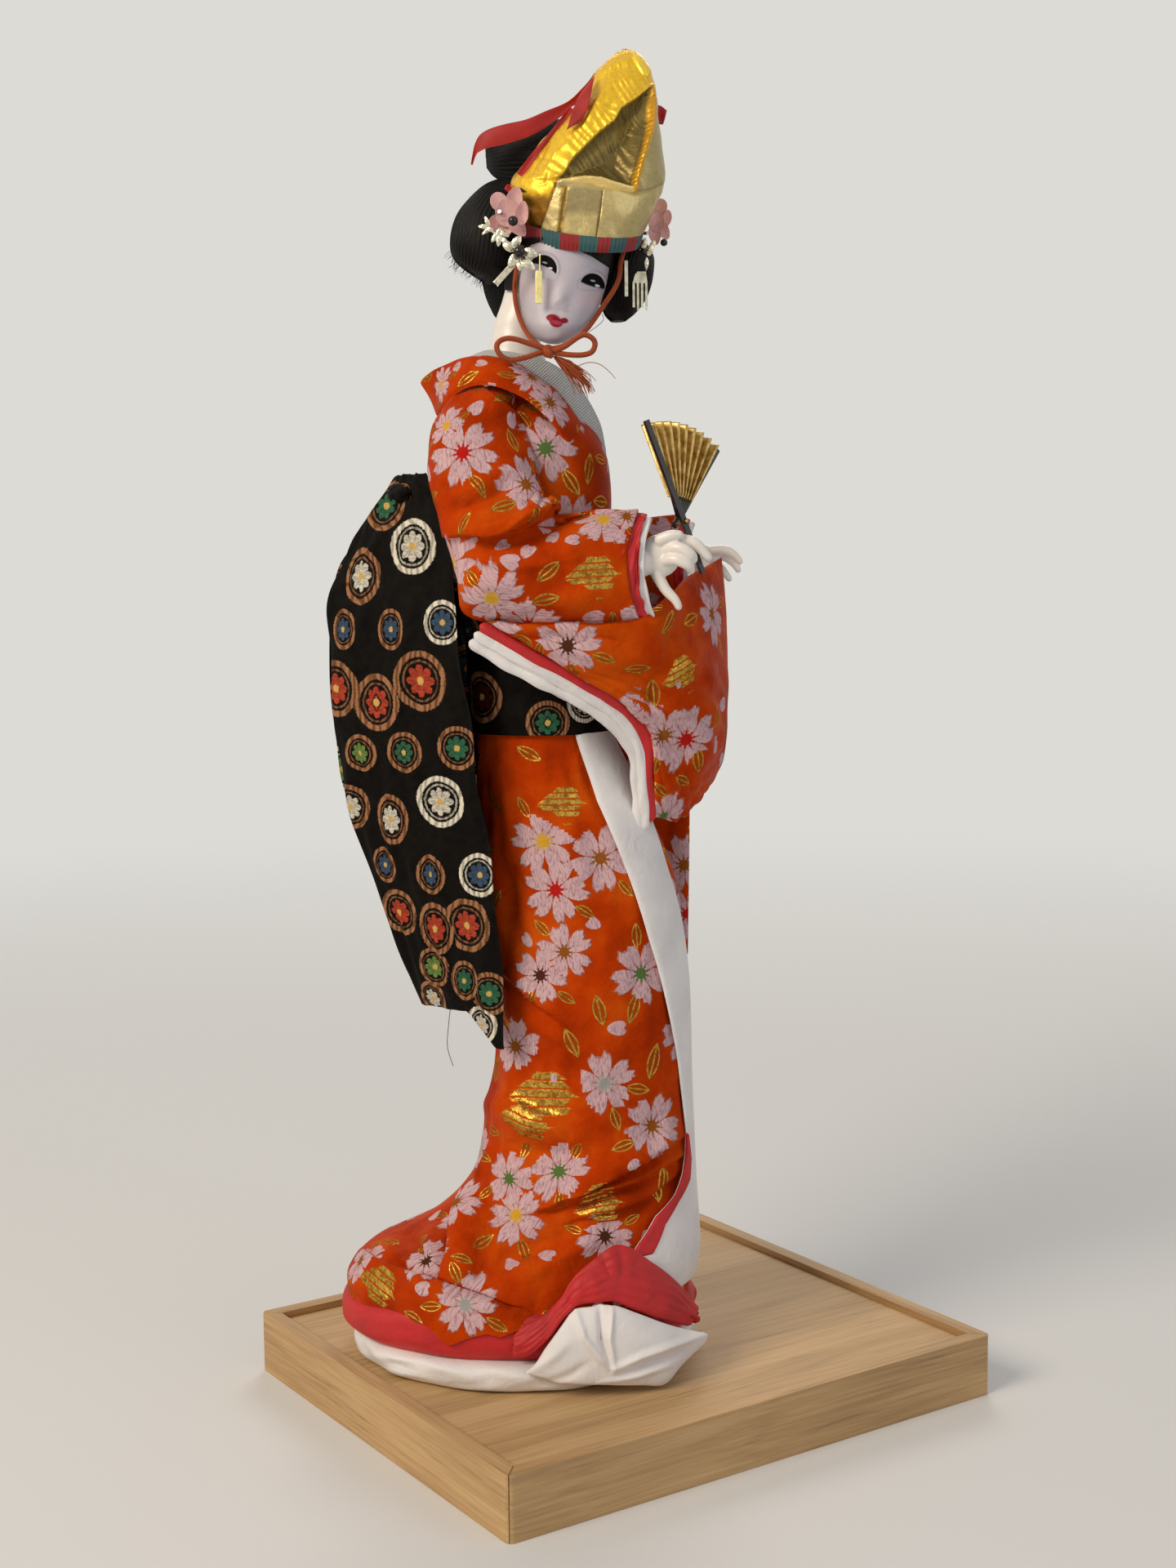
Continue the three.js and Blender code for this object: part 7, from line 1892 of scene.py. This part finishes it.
ribbon = together("hat_ribbon_silk", ribbon_parts, ribbon_red, "head", "red_silk", ("hat_ribbon",))

# Chin cord, bow and tassel
# An orange silk cord holds the hat: it runs from the band down both cheeks and is tied in a bow under the
# chin. Its ends are unlaid into a frayed tassel.

cord_silk, tree = material("burnt orange silk cord")
cloth = node(tree, "UVMap", uv_map="cloth")
lay_way = node(tree, "Mapping", {"Vector": cloth, "Rotation": (0, 0, 0.7)})
ply = node(tree, "TexWave", {"Vector": lay_way, "Scale": 0.9, "Distortion": 0.3})
# Painted shade: the ply's grooves are darker brown than the orange strands.
colour = ramp(tree, ply, ((0.0, "#762805"), (0.6, "#b04a0c")))
relief = node(tree, "Bump", {"Height": ply, "Strength": 0.6, "Distance": 0.0003})
surface(tree, {"Base Color": colour, "Roughness": 0.55, "Normal": relief, "Sheen Weight": 0.3,
               "Sheen Tint": linear("#ff9050")})
CORD_RADIUS = 0.88
CHEEK_CORD = photo_line((640, 300, -12), (634.5, 320, -9.5), (631, 340, -8), (630.5, 360, -8),
                        (633, 378, -9.5), (639, 396, -13),
                        (647.5, 411, -17), (659, 422.5, -21), (671, 426.5, -23), (685, 425, -22.5),
                        (700, 418.5, -20), (716, 405.5, -16),
                        (727, 392, -12), (739, 374, -9), (751, 356, -7), (758, 340, -5.6), (760, 322, -4.6),
                        (765, 303, -2.4))
solid("chin_cord_silk", limb(CHEEK_CORD, (CORD_RADIUS,) * 4, 240, 16), cord_silk, body="head",
      slot="orange_cord", stands_for=("chin_cord",))
BOW_LEFT = photo_line((671, 431, -25), (661, 425, -26), (646, 420, -27), (632, 415.5, -28),
                      (620, 414.5, -28.5), (611, 418.5, -28.5),
                      (608.3, 426, -28.5), (614, 436, -28), (626, 440.6, -27), (643, 437.8, -26),
                      (660, 432.5, -25.5), (671, 430, -25))
BOW_RIGHT = photo_line((671, 431, -25), (680, 429, -26), (692, 424, -26.5), (706, 414, -27), (716, 410, -27),
                       (725.5, 414.5, -26.5),
                       (728.6, 422, -26), (724.5, 431, -26), (713, 434.6, -26), (697, 434.4, -26),
                       (683, 432.5, -25.5), (671, 430, -25))
bow = [limb(loop, (0.95, 0.95, 0.95), 160, 14) for loop in (BOW_LEFT, BOW_RIGHT)]
bow.append(ball(off_photo(671, 430, -25), (2.2, 1.8, 2.3)))
bow.append(limb(photo_line((667, 424, -26), (672, 432, -27.2), (676, 438, -26)), (1.1, 1.2, 1.1), 40, 14))
together("chin_bow_silk", bow, cord_silk, "head", "orange_cord", ("chin_bow",))
draw = np.random.default_rng(31)
TASSEL_SPINE = ((678, 436), (690, 444), (704, 456), (716, 470), (724, 484))
tassel = []
for number in range(64):
    spread = draw.normal(0, 1, 2)
    reach = draw.uniform(0.6, 1.0)
    spots = smooth(TASSEL_SPINE, np.linspace(0, reach, 7))
    share = np.linspace(0, 1, 7)
    wander = draw.normal(0, 1.6, (7, 2)) * share[:, None] * 0.7
    side = np.outer(share ** 0.8 * 5.6, (0.7 * spread[0], -0.7 * spread[0])) + wander
    depths = -25 - 1.2 * share + share * spread[1] * 1.3
    tassel.append(limb(off_photo(spots[:, 0] + side[:, 0], spots[:, 1] + side[:, 1], depths),
                       (0.42 if number < 10 else 0.2, 0.3 if number < 10 else 0.17, 0.1), 24, 7))
tassel.append(limb(photo_line((703, 450, -26), (720, 444, -26), (734, 446, -26), (746, 455, -25),
                              (754, 464, -25)), (0.14, 0.13, 0.1), 50, 6))
together("chin_tassel_frayed", tassel, cord_silk, "head", "orange_cord", ("tassel",))

# Hair ornaments
# At each temple a pin carries a flower of dyed pink silk petals with a glass bead, and a spray of pressed
# silver-foil blossoms from which thin strips hang.

pink_petal = drifting("starched pink silk petals", 160.0, 4.0, ((0.3, "#c98f8d"), (0.7, "#e2b2b0")), 0.5,
                      {"Subsurface Weight": 0.25, "Subsurface Scale": 0.002,
                       "Subsurface Radius": (1.0, 0.5, 0.4),
                       "Sheen Weight": 0.25})
silver_leaf = drifting("pressed silver foil", 500.0, 4.0, ((0.3, "#b9b39c"), (0.65, "#efe9d2")), (0.16, 0.34),
                       {"Metallic": 0.9})
bright_foil = drifting("pale gilt foil strip", 300.0, 3.0, ((0.3, "#e4d682"), (0.65, "#f6edb0")),
                       (0.22, 0.36),
                       {"Metallic": 0.2})
bead_glass = drifting("black glass bead", 300.0, 2.0, "#100d0c", (0.06, 0.14), {})


def shell(column, row, y, long, wide, turn, bulge, point=0.0, lean=0.0, depth=0.22, rows=20, columns=64):
    """A cupped petal facing the photo: an oval of half lengths long and wide, its long axis turn degrees up
    from the right, narrowed to its tip by point, bulging by bulge and leaning back by lean at its tip."""
    share = np.concatenate([np.linspace(0.02, 1, rows), np.linspace(1, 0.02, rows)])[:, None]
    angle = full_turn(columns)[None]
    out = share * np.cos(angle) * long
    side = share * np.sin(angle) * wide * (1 - point * share * np.cos(angle))
    front = np.concatenate([np.ones(rows), np.zeros(rows)])[:, None]
    rib = 0.1 * np.cos(angle * 2) * share + 0.07 * np.sin(angle * 11 + row) * share ** 2
    back = (share ** 2 - 1) * bulge + (1 - front) * depth + lean * share * np.cos(angle) + rib
    way = math.radians(turn)
    right, up = np.array([1.0, 0, 0]), np.array([0, 0, 1.0])
    axis, across = right * math.cos(way) + up * math.sin(way), up * math.cos(way) - right * math.sin(way)
    middle = off_photo(column, row, y)
    grid = middle + axis * out[..., None] + across * side[..., None] + np.array([0, 1.0, 0]) * back[..., None]
    return facing_out(grid, middle + np.array([0, depth / 2 - bulge / 2, 0]), True)


RIGHT_PETALS = ((611, 247, -14.5, 3.4, 3.0, 120, -0.7), (630, 243, -15.0, 4.2, 2.9, 75, -0.7, 0.25),
                (609, 273, -14.5, 3.2, 2.9, 200, -0.7),
                (621, 260, -16.4, 5.0, 4.2, 105, -1.3, 0.15), (639, 261, -17.6, 4.2, 2.3, 80, -1.0, 0.2),
                (634, 278, -17.2, 3.9, 2.6, -50, -0.9, 0.3),
                (618, 279, -16, 3.4, 2.8, 235, -0.8))
together("right_flower_silk", [shell(*petal) for petal in RIGHT_PETALS], pink_petal, "head", "pink_silk",
         ("right_pink_flower",))
LEFT_PETALS = ((808, 254, 8.5, 3.2, 2.6, 70, -0.7), (804, 271, 6, 3.8, 2.9, 85, -1.1, 0.15),
               (812, 282, 7.2, 3.5, 2.2, -60, -0.9, 0.2),
               (802, 288, 5.6, 3.4, 2.2, -80, -0.8, 0.3), (816, 267, 9, 3.0, 1.9, 80, -0.6))
together("left_flower_silk", [shell(*petal) for petal in LEFT_PETALS], pink_petal, "head", "pink_silk",
         ("left_pink_flower",))
BEADS = ((628.2, 270.5, -20.5, 1.75), (635.9, 308.2, -22.5, 2.1), (813, 297, 5, 1.3), (788, 308, 2.5, 1.1))
together("hair_beads_glass",
         [ball(off_photo(px, py, y), (size, size, size), 20, 28) for px, py, y, size in BEADS], bead_glass,
         "head",
         "steel_wire")
RIGHT_SPRAY = (
    (596.4, 271, -18, 1.9, 0.75, 112, 0.3, 0.35), (592, 277.5, -18, 1.9, 0.8, 175, 0.3, 0.35),
    (595, 283.5, -18, 1.8, 0.65, 215, 0.3, 0.35),
    (600, 281, -18.5, 1.3, 0.8, -30, 0.3), (606, 291, -19, 2.0, 1.0, 230, 0.4, 0.3),
    (611, 295, -19.5, 1.9, 1.0, 260, 0.4, 0.3),
    (617, 286.5, -19, 2.0, 1.0, -25, 0.4, 0.3), (611, 283.5, -19, 1.7, 0.9, 60, 0.4, 0.3),
    (618, 296, -19.8, 1.6, 0.9, -70, 0.4),
    (633, 295.5, -20.5, 2.3, 1.5, 55, 0.6, 0.25), (650, 310, -20.5, 2.6, 1.7, -20, 0.6, 0.3),
    (646.5, 323, -21, 3.2, 1.6, -42, 0.6, 0.35),
    (628.5, 319, -20.5, 2.6, 1.7, 230, 0.6, 0.3), (623.5, 302, -20.5, 2.4, 1.7, 160, 0.6, 0.25),
    (637, 326, -20.8, 1.6, 1.2, -90, 0.5, 0.3))
spray = [shell(*petal) for petal in RIGHT_SPRAY]
spray.append(limb(photo_line((594, 279, -17.6), (612, 289, -18.6), (634, 306, -20)), (0.4, 0.4, 0.4), 24, 8))
together("right_spray_foil", spray, silver_leaf, "head", "silver_foil", ("right_silver_spray",))
LEFT_SPRAY = ((789, 298, 2.5, 2.0, 1.1, 80, 0.5, 0.2), (781, 308, 2.2, 2.3, 1.2, 115, 0.5, 0.2),
              (796, 306, 3.4, 2.3, 1.2, 65, 0.5, 0.2),
              (779, 322, 2.2, 2.5, 1.2, 250, 0.5, 0.2), (789, 323, 2.6, 2.6, 1.6, -85, 0.5, 0.3),
              (799, 300, 4.5, 1.8, 1.0, 60, 0.4))
together("left_spray_foil", [shell(*petal) for petal in LEFT_SPRAY], silver_leaf, "head", "silver_foil",
         ("left_silver_spray",))
clear_strip = np.stack([photo_line((627, 319, -19), (603.5, 345, -19)),
                        photo_line((633, 325, -19), (609.5, 350.5, -19))], 1)
clear_strip = np.stack([clear_strip[0] * (1 - t) + clear_strip[1] * t for t in np.linspace(0, 1, 20)])
clear_strip = np.stack([clear_strip[:, 0] * (1 - t) + clear_strip[:, 1] * t for t in np.linspace(0, 1, 8)], 1)
solid("right_spray_strip", thick(facing_out(clear_strip, np.array([0.0, 40, 390])), 0.3), silver_leaf,
      body="head", slot="silver_foil")
pendant = strip_of(((660.2, 311, 662.0, 311, -21.2), (660.0, 322, 661.8, 322, -21.3),
                    (659.8, 331, 661.8, 331, -21.4),
                    (655.6, 332.5, 663.8, 332.5, -21.5), (655.5, 352, 663.8, 352, -21.7),
                    (655.4, 372, 663.9, 372, -22)), 80, 8)
solid("right_strip_foil", thick(facing_out(pendant, np.array([0.0, 40, 390])), 0.25), bright_foil,
      body="right_strip", slot="silver_foil", stands_for=("right_strip",))
for name in ("left_strip", "left_fringe"):
    finish_node(name, silver_leaf)
